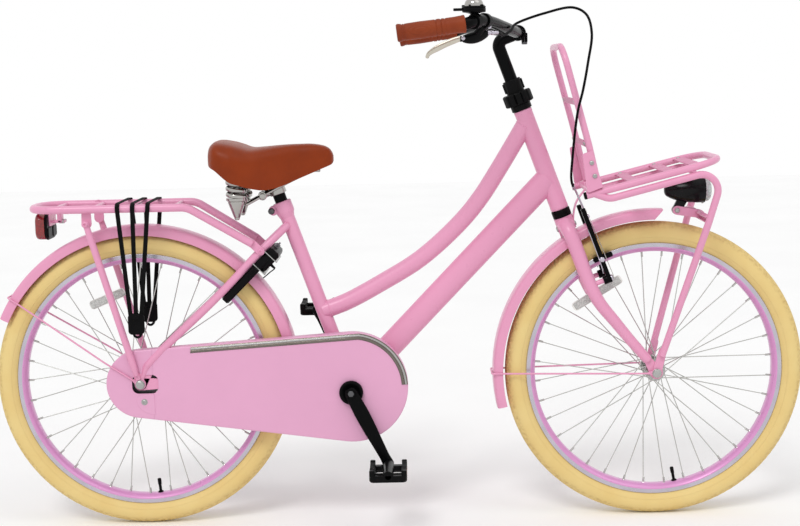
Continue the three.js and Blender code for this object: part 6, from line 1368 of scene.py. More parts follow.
def make_seat():
    post = rod(Shape(), seat(283), seat(437), 12.7, 44, 0, 0.8)
    piece("seat_post", post, "seat", black_paint, "seatpost", angle=40)
    shape = Shape()
    clamp = seat(428, -28.9)
    sleeve = [(12.9, 0), (16.4, 0), (17.1, 0.8), (17.1, 17), (16.4, 17.9), (12.9, 17.9)]
    lathe(shape, sleeve, seat(419), SEAT_UP, 48, closed=True)
    rod(shape, seat(428, -14), clamp, 7.2, 28)
    lathe(shape, mirrored([(0, -27), (7.6, -27), (9, -25.4), (9, -6), (8.3, -5)]), clamp, Y, 44)
    for s in (-1, 1):
        hexagon(shape, clamp + Y * s * 27, Y * s, 6.2, 4.6)
        nose = [Vector((-150, 0, 717.3)), Vector((-163, s * 7.8, 717.3))]
        points = nose + [at_side(clamp, s * 23.4), Vector((SPRING_X + 18.2, s * 45, 655.4))]
        tube(shape, smooth(points, 60), 3.5, 16, dome=2)
    piece("saddle_rails", shape, "seat", chrome, "saddle_frame", angle=35)
    coils, steps = 4, 48
    for s, hand in SIDES:
        spring = Shape()
        foot = Vector((SPRING_X, s * 50, SPRING_FOOT))
        cone = [
            (0, 0), (5, 0), (5.5, 0.8), (5.5, 3), (6.6, 4), (16.2, 30), (17, 32.4), (16.8, 35), (19.8, 36.6),
            (20.4, 38), (20.4, 41.6), (19.4, 42.5), (0, 42.5),
        ]
        lathe(spring, cone, foot, Z, 56)
        hexagon(spring, foot + Z * 1.2, -Z, 4.2, 3.4)
        loops = []
        for i in range(coils * steps + 1):
            out = circling(2 * pi * i / steps, X, Y * s)
            centre = foot + out * 18.4 + Z * (43.6 + 11.9 * i / steps)
            loops.append(loop_round(centre, out * 2.6, Z * 4.3, 16))
        rings(spring, loops)
        lathe(spring, [(0, 91), (19.8, 91), (20.4, 91.8), (20.4, 95), (19.4, 95.9), (0, 95.9)], foot, Z, 56)
        piece("spring_" + hand, spring, "seat", chrome, "saddle_spring_" + hand, angle=35)


def make_saddle():
    """Padded cover: one crowned form, creased over each side, its edge rolled under a plastic base."""
    half = [
        (0, 0), (0.25, 0.0), (0.5, 0.02), (0.72, 0.075), (0.87, 0.18), (0.96, 0.34), (1, 0.56), (0.995, 0.8),
        (0.96, 1),
    ]
    shape = Shape()
    loops, count = [], 34
    for i in range(97):
        share = 0.5 - 0.5 * cos(pi * i / 96)
        top, low, width, arch = table_at(SADDLE, share)
        x = SADDLE_BACK + SADDLE_LENGTH * share
        high, floor = SADDLE_HIGH - SADDLE_DEEP * top, SADDLE_HIGH - SADDLE_DEEP * low
        wide = SADDLE_HALF * width
        sharp = max(0.0, 1 - abs(share - 0.2) / 0.3)
        outer = [
            Vector((0, wide * a, high - (high - floor) * b * (1 - 0.25 * sharp * (1 - b)))) for a, b in half
        ]
        line = smooth(outer, count)
        for p in line:
            p.z -= 2.2 * sharp * exp(-((p.y / max(wide, 1) - 0.93) / 0.1) ** 2)
            p.x = x
        roof = high - (high - floor) * arch
        edge = (
            (0.96, floor), (0.925, floor - 0.4), (0.88, floor + 1.6), (0.8, mix(floor, roof, 0.7)),
            (0.4, roof), (0, roof),
        )
        under = smooth([Vector((x, wide * a, z)) for a, z in edge], 16)
        left = line + under[1:]
        loops.append(left + flipped(left[1:-1])[::-1])
    rings(shape, loops)
    n = len(loops[0])
    edge = count + 4
    for k in range(len(shape.faces)):
        i = k % n
        if k < (len(loops) - 1) * n and edge <= i < n - edge:
            shape.slots[k] = 1
    cover = piece(
        "saddle_cover", shape, "seat", [saddle_brown, black_plastic], "saddle", angle=60
    )


make_seat()
make_saddle()


# Fork
BLADE_HIGH, BLADE_SIDE, BOSS_HIGH = 348, 44, 212
BLADE = [
    (0.99, -0.06, 0.45), (0.955, -0.02, 0.82), (0.915, 0, 0.97), (0.82, 0, 1), (0.64, 0, 1.01),
    (0.5, 0.085, 1.04), (0.366, 0.33, 1.07), (0.223, 0.6, 1.09),
]


def make_fork():
    shape = Shape()
    points = [steer(BLADE_HIGH * a, FORK_OFFSET * f, -BLADE_SIDE * s) for a, f, s in BLADE]
    line = smooth(points + [steer(31, 54.6, -48)], 72)
    radii = [mix(14.5, 9.6, max(0, i / 72 - 0.25) / 0.75) for i in range(73)]
    tube(shape, line, radii, 36, hint=AHEAD, dome=5)
    link(shape, FRONT_AXLE, line[-1], 13, 7.7, -50, -46, 0.6)
    root, collar, tip = (steer(BOSS_HIGH, ahead, -BLADE_SIDE) for ahead in (0, 34, 50))
    rod(shape, root, collar, 5, 24)
    rod(shape, collar, tip, 5, 24, 1, 0.6)
    shape.mirror()
    crown = [(30, 0), (27, 15), (12, 22), (-12, 22), (-27, 15), (-30, 0), (-22, -6), (22, -6)]
    curve = spaced(smooth(upright(crown + crown[:1]), 64), 64)[:-1]
    plate(shape, flat(curve), 31, steer(331), Y, ALONG, 7)
    lathe(shape, [(0, 10), (17.5, 10), (19, 14), (19, 27.4), (18.2, 28), (0, 28)], steer(328), ALONG, 48)
    rod(shape, steer(340), steer(620), 14.3, 40)
    piece("fork_blades", shape, "steering", [pink, steel], "fork", angle=45)


# Stem, handlebar, grips, brake lever and bell
STEM_HIGH, BAR_BACK, BAR_HALF, BAR_RISE = 729.5, 232, 275, 19
BAR_RADIUS, CLAMP_INNER, CLAMP_RADIUS = 11.1, 11.2, 14.1
BAR_CENTRE = steer(STEM_HIGH, 44.5)
BAR = [
    (0, 0, 0), (0.218, 0.057, 0.159), (0.473, 0.162, 0.551), (0.709, 0.276, 0.932), (0.858, 0.359, 1.004),
    (0.945, 0.426, 0.871), (0.985, 0.475, 0.699),
]


def bar_place(side, sweep, rise):
    return BAR_CENTRE + Vector((-BAR_BACK * sweep, BAR_HALF * side, BAR_RISE * rise))


def bar_line():
    half = [bar_place(*row) for row in BAR]
    curve = smooth(flipped(half)[:0:-1] + half, 128)
    tip = Vector((BAR_CENTRE.x - BAR_BACK, BAR_HALF, BAR_CENTRE.z - 0.57))
    return [at_side(tip, -BAR_HALF)] + curve + [tip]


def bar_at(side):
    line = bar_line()
    for a, b in zip(line, line[1:]):
        if a.y <= side <= b.y:
            return mix(a, b, (side - a.y) / (b.y - a.y))
    return line[-1]


def band(shape, side, width):
    """Ring round the bar at a distance from its middle."""
    centre, run = bar_at(side), (bar_at(side + 5) - bar_at(side - 5)).normalized()
    half = [(CLAMP_INNER, -width / 2), (CLAMP_RADIUS - 0.6, -width / 2), (CLAMP_RADIUS, 0.6 - width / 2)]
    return lathe(shape, mirrored(half), centre, run, 40, closed=True)


def make_bar():
    shape = Shape()
    line = bar_line()
    first = [mix(line[0], line[1], i / 6) for i in range(6)]
    last = [mix(line[-2], line[-1], i / 6) for i in range(1, 7)]
    tube(shape, first + line[1:-1] + last, BAR_RADIUS, 32, hint=Z)
    piece("bar", shape, "steering", black_paint, "handlebar", angle=40)
    stem = Shape()
    corners = [steer(500), steer(STEM_HIGH), steer(STEM_HIGH, 34)]
    tube(stem, rounded(corners, 22, 16), 12.7, 44)
    lathe(stem, mirrored([(11.3, -19), (14, -19), (15.5, -17.4)]), BAR_CENTRE, Y, 56, closed=True)
    top = BAR_CENTRE + AHEAD * 10.9 - ALONG * 9.3
    for s in (-1, 1):
        plate(stem, rounded_box(16, 19, 5, 6), 5, top - Z * 4 + X * s * 3.2, Y, Z, 0.8)
    rod(stem, top + Z * 4, top - Z * 15.4, 4.4, 24, 1, 0.5)
    hexagon(stem, top - Z * 13, -Z, 5.6, 4.4, 1)
    for s in (-1, 1):
        ring = [(CLAMP_INNER, 0), (12.6, 0), (12.6, 1.2), (CLAMP_INNER, 1.2)]
        lathe(stem, ring, BAR_CENTRE + Y * s * 19, Y * s, 40, closed=True)
    piece("stem_quill", stem, "steering", [black_paint, dark_steel], "stem", angle=40)


def make_grips():
    """Grips with rings near their ends and an oval pressed in at each side of their palm."""
    line = bar_line()
    start, tip = line[-2], line[-1]
    run = (tip - start).normalized()
    first, last = start + run * 2, tip + run * 4
    length = (last - first).length
    rows = [
        (0, 14.6), (0.006, 15.9), (0.02, 16.3), (0.05, 15.8), (0.16, 15.1), (0.27, 15.1), (0.29, 14.1),
        (0.31, 15.3), (0.335, 15.3), (0.35, 14.1),
        (0.366, 15.5), (0.41, 15.5), (0.425, 14.2), (0.44, 15.2), (0.66, 15.7), (0.87, 15.1), (0.884, 14.1),
        (0.9, 15.2), (0.915, 14.2),
        (0.932, 15.6), (0.975, 16.4), (0.99, 15.9), (1, 14.2),
    ]
    side = (Y - run * run.dot(Y)).normalized()
    up = run.cross(side)
    for s, hand in SIDES:
        shape = Shape()
        loops = []
        for i in range(161):
            share = i / 160
            k = max(j for j in range(len(rows) - 1) if rows[j][0] <= share)
            t = (share - rows[k][0]) / (rows[k + 1][0] - rows[k][0])
            r = mix(rows[k][1], rows[k + 1][1], t)
            loop = []
            for j in range(96):
                a = 2 * pi * j / 96
                dip = 0.0
                for middle in (0.0, pi, 2 * pi):
                    d = hypot((share - 0.66) / 0.17, (a - middle) / 0.62)
                    dip = max(dip, exp(-((d - 1) / 0.09) ** 2), 0.8 * exp(-((d - 0.55) / 0.12) ** 2))
                rr = r - 0.75 * dip
                loop.append(first + run * length * share + side * rr * cos(a) + up * rr * sin(a))
            loops.append(loop)
        rings(shape, loops)
        if s < 0:
            shape.flip()
        piece(
            "grip_sleeve_" + hand, shape, "steering", grip_brown, "grip_" + hand, angle=50
        )


LEVER_SIDE = -220.0
LEVER_PIVOT = Vector((135.421, -226.4, 968.146))
LEVER_START, CABLE_WAY = Vector((5.2, 16, -21.4)), Vector((10.4, 5.6, 0))


def make_lever():
    place = bar_at(LEVER_SIDE)
    start = place + LEVER_START
    end = LEVER_PIVOT + (LEVER_PIVOT - start).normalized() * 6
    shape = Shape()
    band(shape, LEVER_SIDE, 12)
    belly = [mix(start, end, i / 24) - Z * 3.4 * sin(pi * (i / 24)) for i in range(25)]
    radii = [6.4 + 4.4 * sin(pi * min(1, 1.12 * i / 24)) ** 0.8 if 0 < i < 22 else 5.2 for i in range(25)]
    tube(shape, belly, radii, 28, hint=Z, oval=0.8)
    neck = spaced([place - Z * 6, mix(start, end, 0.4)], 8)
    tube(shape, neck, [7.6, 7.4, 7.2, 7.2, 7.4, 7.6, 8, 8.2, 8.2], 28, hint=Y)
    nut = [
        (0, -1), (5.4, -1), (5.4, 3.2), (4.6, 3.8), (3.4, 4.2), (3.4, 8), (4.4, 8.4), (4.4, 12.4), (3, 13),
        (0, 13),
    ]
    lathe(shape, nut, start, CABLE_WAY, 20, 1)
    button(shape, LEVER_PIVOT - Y * 6.4, -Y, 3.8, 2.4, 1)
    rod(shape, LEVER_PIVOT - Y * 6.4, LEVER_PIVOT + Y * 6.4, 2.1, 20, 1)
    clamp = place + Vector((9, 2, -11))
    rod(shape, clamp - Y * 1, clamp + Y * 9, 3.6, 20, 1, 0.4)
    piece(
        "lever_perch", shape, "steering", [black_plastic, aluminium], "lever_bracket",
        angle=40
    )
    blade = Shape()
    bends = ((-3, -1), (8, 1.2), (20, 5), (34, 10.6), (48, 17.2), (58, 22.8), (64, 27.6), (66.6, 33))
    path = smooth([LEVER_PIVOT - Vector((back, 0, drop)) for back, drop in bends], 48)
    radii = []
    for i in range(49):
        t = i / 48
        radii.append(mix(4.6, 5.8, min(t / 0.3, 1)) if t < 0.7 else mix(5.8, 3.2, (t - 0.7) / 0.3))
    tube(blade, path, radii, 28, oval=0.5, hint=Z, dome=2)
    piece("lever_blade", blade, "brake_lever", lever_silver, "brake_lever", angle=45)


def make_bell():
    """Bell with a ring of holes under its dome, and the thumb lever that turns about it."""
    place = Vector((155.07, -253, 996.715))
    shape = Shape()
    band(shape, place.y, 12)
    foot = place + Z * 6.66
    base = [
        (0, 0), (7, 0), (6.2, 4), (7, 7.4), (15, 9.6), (20.4, 10.4), (21.5, 11.4), (21.5, 13.0),
        (16.2, 13.0), (16.2, 18.6), (21.5, 18.6), (21.5, 20.4), (20.4, 21.4), (0, 21.4),
    ]
    lathe(shape, base, foot, Z, 72)
    for i in range(5):
        out = circling(2 * pi * (i + 0.4) / 5, X, Y)
        plate(shape, rounded_box(5, 7, 1.4, 4), 2.4, foot + out * 19.6 + Z * 20.4, out, Z, 0.4)
    dome = [
        (0, 21.4), (17.5, 21.4), (17.5, 22.6), (17.2, 25), (16.2, 28.4), (14.4, 31.4), (11.6, 33.8),
        (8, 35.4), (4, 36.2), (2.6, 36.3), (2.2, 36.44), (0, 36.44),
    ]
    lathe(shape, dome, foot, Z, 72, 1)
    piece("bell_body", shape, "steering", [black_plastic, chrome], "bell", angle=35)
    tab = Shape()
    low = place.z + 19.85
    centre = Vector((place.x, place.y, 0))
    profile = [
        (16.8, low), (20.9, low), (21.5, low + 0.6), (21.5, low + 4.4), (20.9, low + 5), (16.8, low + 5),
    ]
    lathe(tab, profile, centre, Z, 72, closed=True)
    plate(tab, rounded_box(19, 8, 2.6, 6), 5, centre + Vector((-28, 0, low + 2.5)), X, Y, 0.9)
    for dx in (-33, -30, -27):
        box(tab, centre + Vector((dx, 0, low + 2.5)), (1.2, 8.3, 4.2), X, Y, 0.3)
    piece("bell_thumb", tab, "bell_tab", black_plastic, "bell_tab", angle=35)


CABLE_SCALE = 372.2
CABLE = [
    (1.979, 0.019, 0.6), (1.987, 0.07, 0.484), (2.008, 0.106, 0.382), (2.005, 0.275, 0.255),
    (1.979, 0.423, 0.218),
    (1.923, 0.471, 0.255), (1.823, 0.457, 0.345), (1.693, 0.381, 0.429), (1.571, 0.305, 0.465),
    (1.475, 0.24, 0.465), (1.26, 0.14, 0.364), (1.135, 0.1, 0.218), (1.055, 0.11, 0.09),
    (0.968, 0.117, 0.055),
]


def make_cable():
    mouth, out = bar_at(LEVER_SIDE) + (LEVER_START + CABLE_WAY), CABLE_WAY.normalized()
    points = [steer(CABLE_SCALE * a, CABLE_SCALE * b, -BAR_HALF * c) for a, b, c in CABLE]
    line = smooth([mouth + out * 1.5, mouth + out * 10] + points, 220)
    # Brown cover with a fine leather grain, a little darker in places at random.
    shape = Shape()
    tube(shape, line[:205], 2.5, 20, dome=1)
    tube(shape, line[:4], 3.3, 18, slot=1, dome=1)
    tube(shape, line[203:], 2.0, 14, slot=1, dome=1)
    tube(shape, line[201:206], 3.1, 18, slot=1, dome=1)
    piece(
        "brake_hose", shape, "steering", [cable_black, aluminium], "brake_cable",
        angle=45
    )
    wire = Shape()
    route = [steer(356, 46.2, -22), steer(300, 47.6, -42), steer(222, 49.5, -51.5), steer(206, 49, -52)]
    tube(wire, [line[-1]] + route, 0.8, 8)
    piece("brake_wire", wire, "steering", spoke_steel)


make_fork()
make_bar()
make_grips()
make_lever()
make_bell()
make_cable()


# Front carrier, backrest and headlamp
CARRIER_HALF, CARRIER_TUBE, CROSS_AHEAD = 110, 7, 66
LEG_HIGH, LEG_AHEAD, FOOT_HIGH, FOOT_AHEAD = 345, 320, 31, 84
HOOP_AHEAD, HOOP_LOW, HOOP_HIGH = 78, (480, 89), (676, 107)
LAMP_PIVOT = steer(285.5, 217.3)
DECK_REAR, DECK_FRONT = (391.4, 49.5), (361.4, 318.0)
DECK_RUN = (steer(*DECK_FRONT) - steer(*DECK_REAR)).normalized()
DECK_UP = Vector((-DECK_RUN.z, 0, DECK_RUN.x))


def deck_high(ahead):
    return mix(DECK_REAR[0], DECK_FRONT[0], (ahead - DECK_REAR[1]) / (DECK_FRONT[1] - DECK_REAR[1]))


def deck(ahead, side=0.0):
    return steer(deck_high(ahead), ahead, side)


def slat(shape, place, half, width, run, up, end=11.0):
    """Flat strip across a frame, its ends rolled down onto the tubes and screwed."""
    loops, rise, thick = [], 1.2, 2.6
    for s in range(41):
        y = mix(-half, half, s / 40)
        edge = max(0.0, (abs(y) - (half - end)) / end)
        lift = rise - 3.4 * edge**2
        wide = width / 2 * (1 - 0.22 * max(0, 1 - edge * 1.6))
        loop = []
        for a, b in mirrored([(1, 0.4), (0.93, 1), (-0.93, 1), (-1, 0.4)]):
            loop.append(place + Y * y + run * wide * a + up * (lift + b * thick / 2))
        loops.append(loop)
    rings(shape, loops, 3)
    for s in (-1, 1):
        button(shape, place + Y * s * (half - end * 0.75) + up * (rise + thick / 2 - 0.6), up, 4.2, 2.2, 1)


def make_carrier():
    shape = Shape()
    back, front = DECK_REAR[1], DECK_FRONT[1]
    side = [deck(back, -CARRIER_HALF), deck(front, -CARRIER_HALF)]
    tube(shape, rounded(and_back(side), 60, 20), CARRIER_TUBE, 32, hint=Z)
    for s in (-1, 1):
        cap = [(0, -1), (7.2, -1), (7.3, 1), (6.6, 4), (0, 4.6)]
        lathe(shape, cap, deck(50, s * CARRIER_HALF), -DECK_RUN, 28, 2)
    for share in (0.365, 0.63, 0.82):
        slat(shape, deck(mix(back, front, share)) + DECK_UP * 1.35, CARRIER_HALF, 26, DECK_RUN, DECK_UP)
    rod(shape, deck(CROSS_AHEAD, -108), deck(CROSS_AHEAD, 108), 6, 28)
    drawn_in, knee_share = 0.97, 0.3
    for s in (-1, 1):
        wide = s * CARRIER_HALF
        knee = steer(
            mix(LEG_HIGH, FOOT_HIGH, knee_share), mix(LEG_AHEAD, FOOT_AHEAD, knee_share), wide * drawn_in
        )
        upper = [deck(CROSS_AHEAD, wide), steer(369, 90.5, wide * 1.002), steer(LEG_HIGH, LEG_AHEAD, wide)]
        leg = upper + [knee, steer(FOOT_HIGH, FOOT_AHEAD, s * 57.5)]
        tube(shape, rounded(leg, [34, 34, 170], 14), CARRIER_TUBE, 32, hint=Y, dome=2)
        reach = mix(steer(FOOT_HIGH, FOOT_AHEAD), FRONT_AXLE, -0.2)
        link(shape, FRONT_AXLE, reach, 9.2, 8, s * 50.3, s * 53.3, 0.5)
    bar_high = 262
    down = (LEG_HIGH - bar_high) / (LEG_HIGH - FOOT_HIGH)
    middle = steer(bar_high, mix(LEG_AHEAD, FOOT_AHEAD, down))
    half = CARRIER_HALF * mix(1, drawn_in, down / knee_share)
    plate(shape, rounded_box(2 * half, 15, 3, 4), 3, middle, Y, ALONG, 0.6)
    for s in (-1, 1):
        plate(shape, rounded_box(2 * half, 3, 1, 2), 9, middle + ALONG * s * 6.5 - AHEAD * 3, Y, ALONG, 0.6)
    for s in (-1, 1):
        link(shape, middle, LAMP_PIVOT, 8.1, 9, s * 5.3, s * 9.3, 0.6)
        button(shape, LAMP_PIVOT + Y * s * 9.3, Y * s, 5.2, 3, 1)
    rod(shape, LAMP_PIVOT - Y * 11, LAMP_PIVOT + Y * 11, 4.4, 24, 1)
    strap = [
        steer(327, 16.8), steer(340, 16.8), steer(372, 34), steer(391, 60), deck(CROSS_AHEAD) + DECK_UP * 6.5
    ]
    ribbon(shape, smooth(strap, 30), 6, 1.5, Y)
    button(shape, steer(335, 18), AHEAD, 5, 3, 1)
    coats = [pink, steel, rubber, slat_pink_painted_shade]
    piece("carrier_front", shape, "steering", coats, "front_carrier", angle=40)


def make_backrest():
    """Hoop with two strips across it, and a plate with two screws on each side as its foot."""
    shape = Shape()
    rows = [(deck_high(HOOP_AHEAD) + 7.45, HOOP_AHEAD), HOOP_LOW, HOOP_HIGH]
    half = [steer(high, ahead, -CARRIER_HALF) for high, ahead in rows]
    tube(shape, rounded(and_back(half), [300, 42, 42, 300], 16), 6.5, 32, hint=AHEAD)
    for along, share in ((0.03, 0.05), (0.45, 0.6)):
        place = steer(mix(HOOP_LOW[0], HOOP_HIGH[0], along), mix(HOOP_LOW[1], HOOP_HIGH[1], share) - 5.2)
        slat(shape, place, CARRIER_HALF, 18, ALONG, -AHEAD, 10)
    low, high, near, far = 396, 470, 117.3, 120.3
    for s in (-1, 1):
        outline = [
            steer(high, 90.5), steer(high, 70.5), steer(433, 62), steer(low, 53), steer(low, 85.5),
            steer(433, 88)
        ]
        outline = rounded(outline + outline[:1], [4, 60, 4, 4, 60], 6)[:-1]
        side_plate(shape, flat(outline), s * near, s * far, 0.5)
        for share in (0.35, 0.7):
            along = mix(low, high, share)
            place = steer(along, HOOP_AHEAD + (along - low) * 0.12 - 3, s * far)
            button(shape, place, Y * s, 4.6, 2.8, 1)
            rod(shape, at_side(place, s * 112), place, 3.4, 18, 1)
    coats = [pink, steel, rubber, slat_pink_painted_shade]
    piece("backrest_hoop", shape, "steering", coats, "carrier_backrest", angle=40)


def make_headlamp():
    """Bullet lamp on a lug, with a fluted lens."""
    centre, length = steer(318, 245), 80
    start = centre - X * length / 2
    shape = Shape()
    profile = [
        (0, 0), (5, 0.4), (8.6, 1.8), (11.4, 4), (15.6, 11), (19, 19), (21.6, 28), (23.6, 38), (25, 50),
        (25.8, 64), (26, 74), (26, 80), (24.2, 80), (24.2, 76), (0, 74),
    ]
    lathe(shape, profile, start, X, 80)
    lathe(shape, [(25.6, 66), (26.0, 66.5), (26.0, 68.5), (25.6, 69)], start, X, 80, closed=True)
    top = centre - Z * 13
    link(shape, LAMP_PIVOT, top, 9, 10, -5, 5, 1)
    lathe(shape, mirrored([(0, -5), (8.6, -5), (9, -4.6)]), LAMP_PIVOT, Y, 36)
    for s in (-1, 1):
        lathe(
            shape, [(5.6, 0), (6.6, 0), (6.6, 0.2), (5.6, 0.2)], LAMP_PIVOT + Y * s * 5, Y * s, 28,
            closed=True
        )
    button(shape, centre + Vector((37, 0, -25.5)), Vector((0.3, 0, -1)), 2.4, 2, 1)
    piece("lamp_shell", shape, "headlamp", [black_gloss, steel], "headlamp", angle=35)
    lens = Shape()
    loops = []
    for r, d in (
        (0.001, 14.2), (6, 14.1), (12, 13.5), (17, 12.2), (20.4, 10.2), (22.3, 8), (23.2, 5), (23.5, 0.4),
        (23.5, 0),
    ):
        loop = []
        for i in range(120):
            a = 2 * pi * i / 120
            flute = r - 0.5 if r > 19 and (i // 3) % 2 == 0 else r
            loop.append(start + X * (length + d) + Y * flute * cos(a) + Z * flute * sin(a))
        loops.append(loop)
    rings(lens, loops)
    piece("lamp_glass", lens, "headlamp", lamp_glass, "headlamp_lens", angle=40)


make_carrier()
make_backrest()
make_headlamp()


# Brake arms: half the arm's width at shares of its length
ARM_HALF = ((0, 8.0), (0.1, 7.4), (0.3, 6.0), (0.6, 5.2), (0.9, 5.4), (0.97, 5.0))


def make_brake_arm(s, hand):
    """Arm on the fork's boss, with a rubber block, its bolt, a wire spring and an end screw."""
    shape = Shape()
    at = lambda along, ahead, side: steer(along, ahead, s * side)
    end_high, end_side, pad_high, pad_side = 356, 38.6, 253.4, 22.7
    foot, top = at(BOSS_HIGH, 40, BLADE_SIDE), at(end_high, 40, end_side)
    run = (top - foot).normalized()
    across = AHEAD.cross(run).normalized()
    length = (top - foot).length
    outline = [(length * share, half) for share, half in ARM_HALF] + [(length + 5.6, 2.6)]
    line = mirrored(outline) + [(-6.4, -5), (-8.4, 0), (-6.4, 5)]
    plate(shape, line, 9, foot, run, across, 1.2)
    for share in (0.42, 0.62, 0.8):
        box(
            shape, foot + run * length * share + AHEAD * 4.3, (length * 0.11, 4.4, 1.2), run, across, 0.4,
            1.6
        )
    sleeve = [(5.2, 0), (8.1, 0), (8.5, 0.6), (8.5, 15.6), (8.1, 16.3), (5.2, 16.3)]
    lathe(shape, sleeve, at(BOSS_HIGH, 28.2, BLADE_SIDE), AHEAD, 36, closed=True)
    button(shape, at(BOSS_HIGH, 44.6, BLADE_SIDE), AHEAD, 6.4, 4.4, 1)
    pad = at(pad_high, 45, pad_side)
    plate(shape, rounded_box(40, 10, 3, 5), 9, pad, AHEAD, ALONG, 1.2, 2)
    for dx in (-12, -4, 4, 12):
        box(shape, pad + AHEAD * dx - Y * s * 4.2, (3, 8.6, 0.9), AHEAD, ALONG, 0.2, slot=2)
    side = mix(BLADE_SIDE, end_side, (pad_high - BOSS_HIGH) / (end_high - BOSS_HIGH))
    rod(shape, at(pad_high, 40, pad_side), at(pad_high, 40, side + 7.5), 3.4, 20, 1, 0.4)
    disc(shape, at(pad_high, 40, 27.4), Y * s, 6.4, 3.6, 2)
    hexagon(shape, at(pad_high, 40, side + 5.6), Y * s, 5.4, 4.2, 1)
    spring = [at(226, 33, 47), at(240, 34.2, 49), at(290, 35, 46.5), at(318, 35, 43)]
    tube(shape, smooth(spring, 24), 0.9, 8, slot=1)
    button(shape, at(343, 44.5, 39), AHEAD, 4.2, 3.2, 1)
    node = "brake_arm_" + hand
    piece("arm_" + hand, shape, node, [black_paint, aluminium, rubber], node, angle=35)


for s, hand in SIDES:
    make_brake_arm(s, hand)


# Cranks and pedals
CRANK, CRANK_LENGTH = radians(63.8), 163
# Distance from the bracket, half width and half depth
CRANK_FORM = [
    (-11, 6, 5), (-7, 10.6, 5.8), (0, 13, 6), (20, 13.6, 6), (45, 14.5, 6), (80, 13.6, 5.8),
    (115, 11.6, 5.6), (145, 10.2, 5.6), (160, 11, 6), (167, 9.4, 5.8), (172, 5.6, 5),
]


def make_crank(s, hand):
    """Forged arm with a dished boss, a waisted middle and a round eye for the pedal."""
    run = Vector((cos(CRANK), 0, -sin(CRANK))) * -s
    wide = Vector((run.z, 0, -run.x))
    square = lambda value: copysign(abs(value) ** 0.62, value)
    shape = Shape()
    loops = []
    for i in range(97):
        reach = mix(CRANK_FORM[0][0], CRANK_FORM[-1][0], i / 96)
        half, deep = table_at(CRANK_FORM, reach)
        centre = BRACKET + run * reach + Y * s * 73
        turns = [2 * pi * j / 32 for j in range(32)]
        loops.append([centre + wide * half * square(cos(a)) + Y * deep * square(sin(a)) for a in turns])
    rings(shape, loops)
    start = at_side(BRACKET, s * 62)
    dish = [
        (0, 0), (22.6, 0), (24, 1.4), (24, 7), (23, 8.8), (21, 9.2), (18.6, 8), (12, 5.4), (9.6, 5.2),
        (0, 5.2),
    ]
    lathe(shape, dish, start, Y * s, 72)
    lathe(
        shape, [(0, 0), (10.4, 0), (10.4, 16.4), (9.4, 17.6), (8.8, 17.6), (8.8, 16.2), (0, 16.2)], start,
        Y * s, 48
    )
    hexagon(shape, start + Y * s * 15.6, Y * s, 6.4, 2.4, 1)
    pin = BRACKET + run * CRANK_LENGTH
    lathe(shape, [(0, 0), (9.8, 0), (10.6, 1), (10.6, 11), (9.8, 12), (0, 12)], pin + Y * s * 67, Y * s, 48)
    rod(shape, at_side(pin, s * 78.5), at_side(pin, s * 162), 6, 28, 1, 0.6)
    if s > 0:
        rod(shape, at_side(BRACKET, -66), at_side(BRACKET, 66), 8.5, 32, 1)
    coats = [black_paint, dark_steel]
    piece("crank_arm_" + hand, shape, "crank", coats, "crank_" + hand, angle=40)


def make_pedal(s, hand, centre):
    """Block pedal: a moulded cage with posts, treads and a reflector at each end."""
    shape = Shape()
    outline = rounded_box(74, 88, 9, 8)
    hollow = [(x * 0.99, y) for x, y in rounded_box(52, 66, 6, 8)]
    at = lambda line, high, along=1, across=1: [
        centre + X * x * along + Y * y * across + Z * high for x, y in line
    ]
    outer = [at(outline, -12, 0.96, 0.97), at(outline, -9.5), at(outline, -1), at(outline, 1.5, 0.985)]
    rings(shape, outer + [at(hollow, 1.5), at(hollow, -12)], closed=True)
    rod(shape, centre - Y * 43.9, centre + Y * 43.9, 10.6, 40, 0, 1)
    for end in (-1, 1):
        block = centre + X * end * 31.5
        for side in (-39, 39):
            box(shape, block + Vector((0, side, 5.4)), (10.5, 9, 13), X, Y, 1.4, 2.4)
        box(shape, block + Z * 4, (9, 76, 8), X, Y, 1, 2)
        for k in range(7):
            box(shape, block + Vector((0, -30 + 10 * k, 8.6)), (9.6, 4.4, 3), X, Y, 0.6, 1)
        box(shape, centre + Vector((end * 36.2, 0, -4)), (1.6, 52, 11), X, Y, 0.3, 0.5, slot=1)
        for side in (-28, 28):
            box(shape, centre + Vector((end * 15, side, -2)), (24, 7, 10), X, Y, 1, 2)
    lathe(shape, [(0, 0), (8, 0), (8, 0.4), (6, 0.5), (0, 0.5)], centre + Y * s * 43.5, Y * s, 32)
    rod(shape, centre - Y * s * 43.8, centre - Y * s * 40, 8.4, 28, 2)
    node = "pedal_" + hand
    piece(
        "pedal_block_" + hand, shape, node, [black_plastic, amber, dark_steel], node,
        angle=35
    )


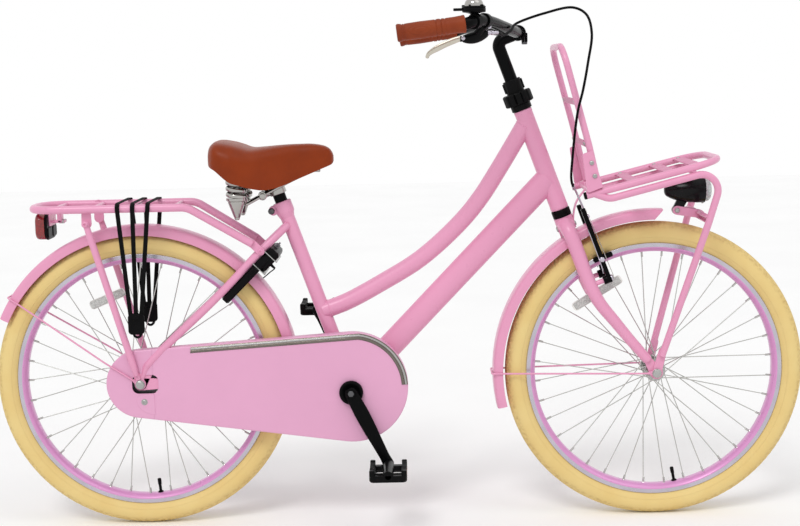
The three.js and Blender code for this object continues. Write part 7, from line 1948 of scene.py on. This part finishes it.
PEDALS = (Vector((-23.035, -123.3, 129.747)), Vector((-166.965, 123.3, 422.253)))
for s, hand in SIDES:
    make_crank(s, hand)
for (s, hand), centre in zip(SIDES, PEDALS):
    make_pedal(s, hand, centre)


# Floor, light and view
def make_stage():
    mesh = bpy.data.meshes.new("floor")
    near, far, half = -5, 9, 7
    mesh.from_pydata(
        [(-half, near, 0), (half, near, 0), (half, far, 0), (-half, far, 0)], [], [(0, 1, 2, 3)]
    )
    look = Look("floor_white", linear(252, 252, 252), 0.9, specular=0.1)
    look.tint(look.span(look.noise(2, 2), 0.3, 0.7), linear(249, 249, 249))
    mesh.materials.append(look.material)
    floor = bpy.data.objects.new("floor", mesh)
    bpy.context.scene.collection.objects.link(floor)


SOFT_WHITE = 0.7


def make_world():
    """White where the camera, a reflection or a clear lens sees it, and a softer white as light."""
    world = bpy.data.worlds.new("studio")
    bpy.context.scene.world = world
    world.use_nodes = True
    sky = Nodes(world.node_tree)
    sky.tree.nodes.clear()
    rays = sky.node("ShaderNodeLightPath").outputs
    seen = sky.math("ADD", rays["Is Camera Ray"], rays["Is Glossy Ray"])
    whole = sky.math("ADD", seen, rays["Is Transmission Ray"], clamp=True)
    background = sky.node("ShaderNodeBackground")
    background.inputs["Color"].default_value = (1, 1, 1, 1)
    sky.join(sky.span(whole, 0.0, 1.0, SOFT_WHITE, 1.0), background.inputs["Strength"])
    output = sky.node("ShaderNodeOutputWorld")
    sky.join(background.outputs[0], output.inputs["Surface"])


def make_lights():
    for name, strength, angle, toward in (
        ("key", 1.0, 0.35, (0.25, 0.62, -0.75)),
        ("fill", 0.3, 0.7, (-0.5, 0.3, -0.8)),
    ):
        data = bpy.data.lights.new(name, "SUN")
        data.energy = strength
        data.angle = angle
        light = bpy.data.objects.new(name, data)
        bpy.context.scene.collection.objects.link(light)
        light.rotation_euler = Vector(toward).to_track_quat("-Z", "Y").to_euler()


make_stage()
make_world()
make_lights()
bpy.context.scene.view_settings.view_transform = "Standard"
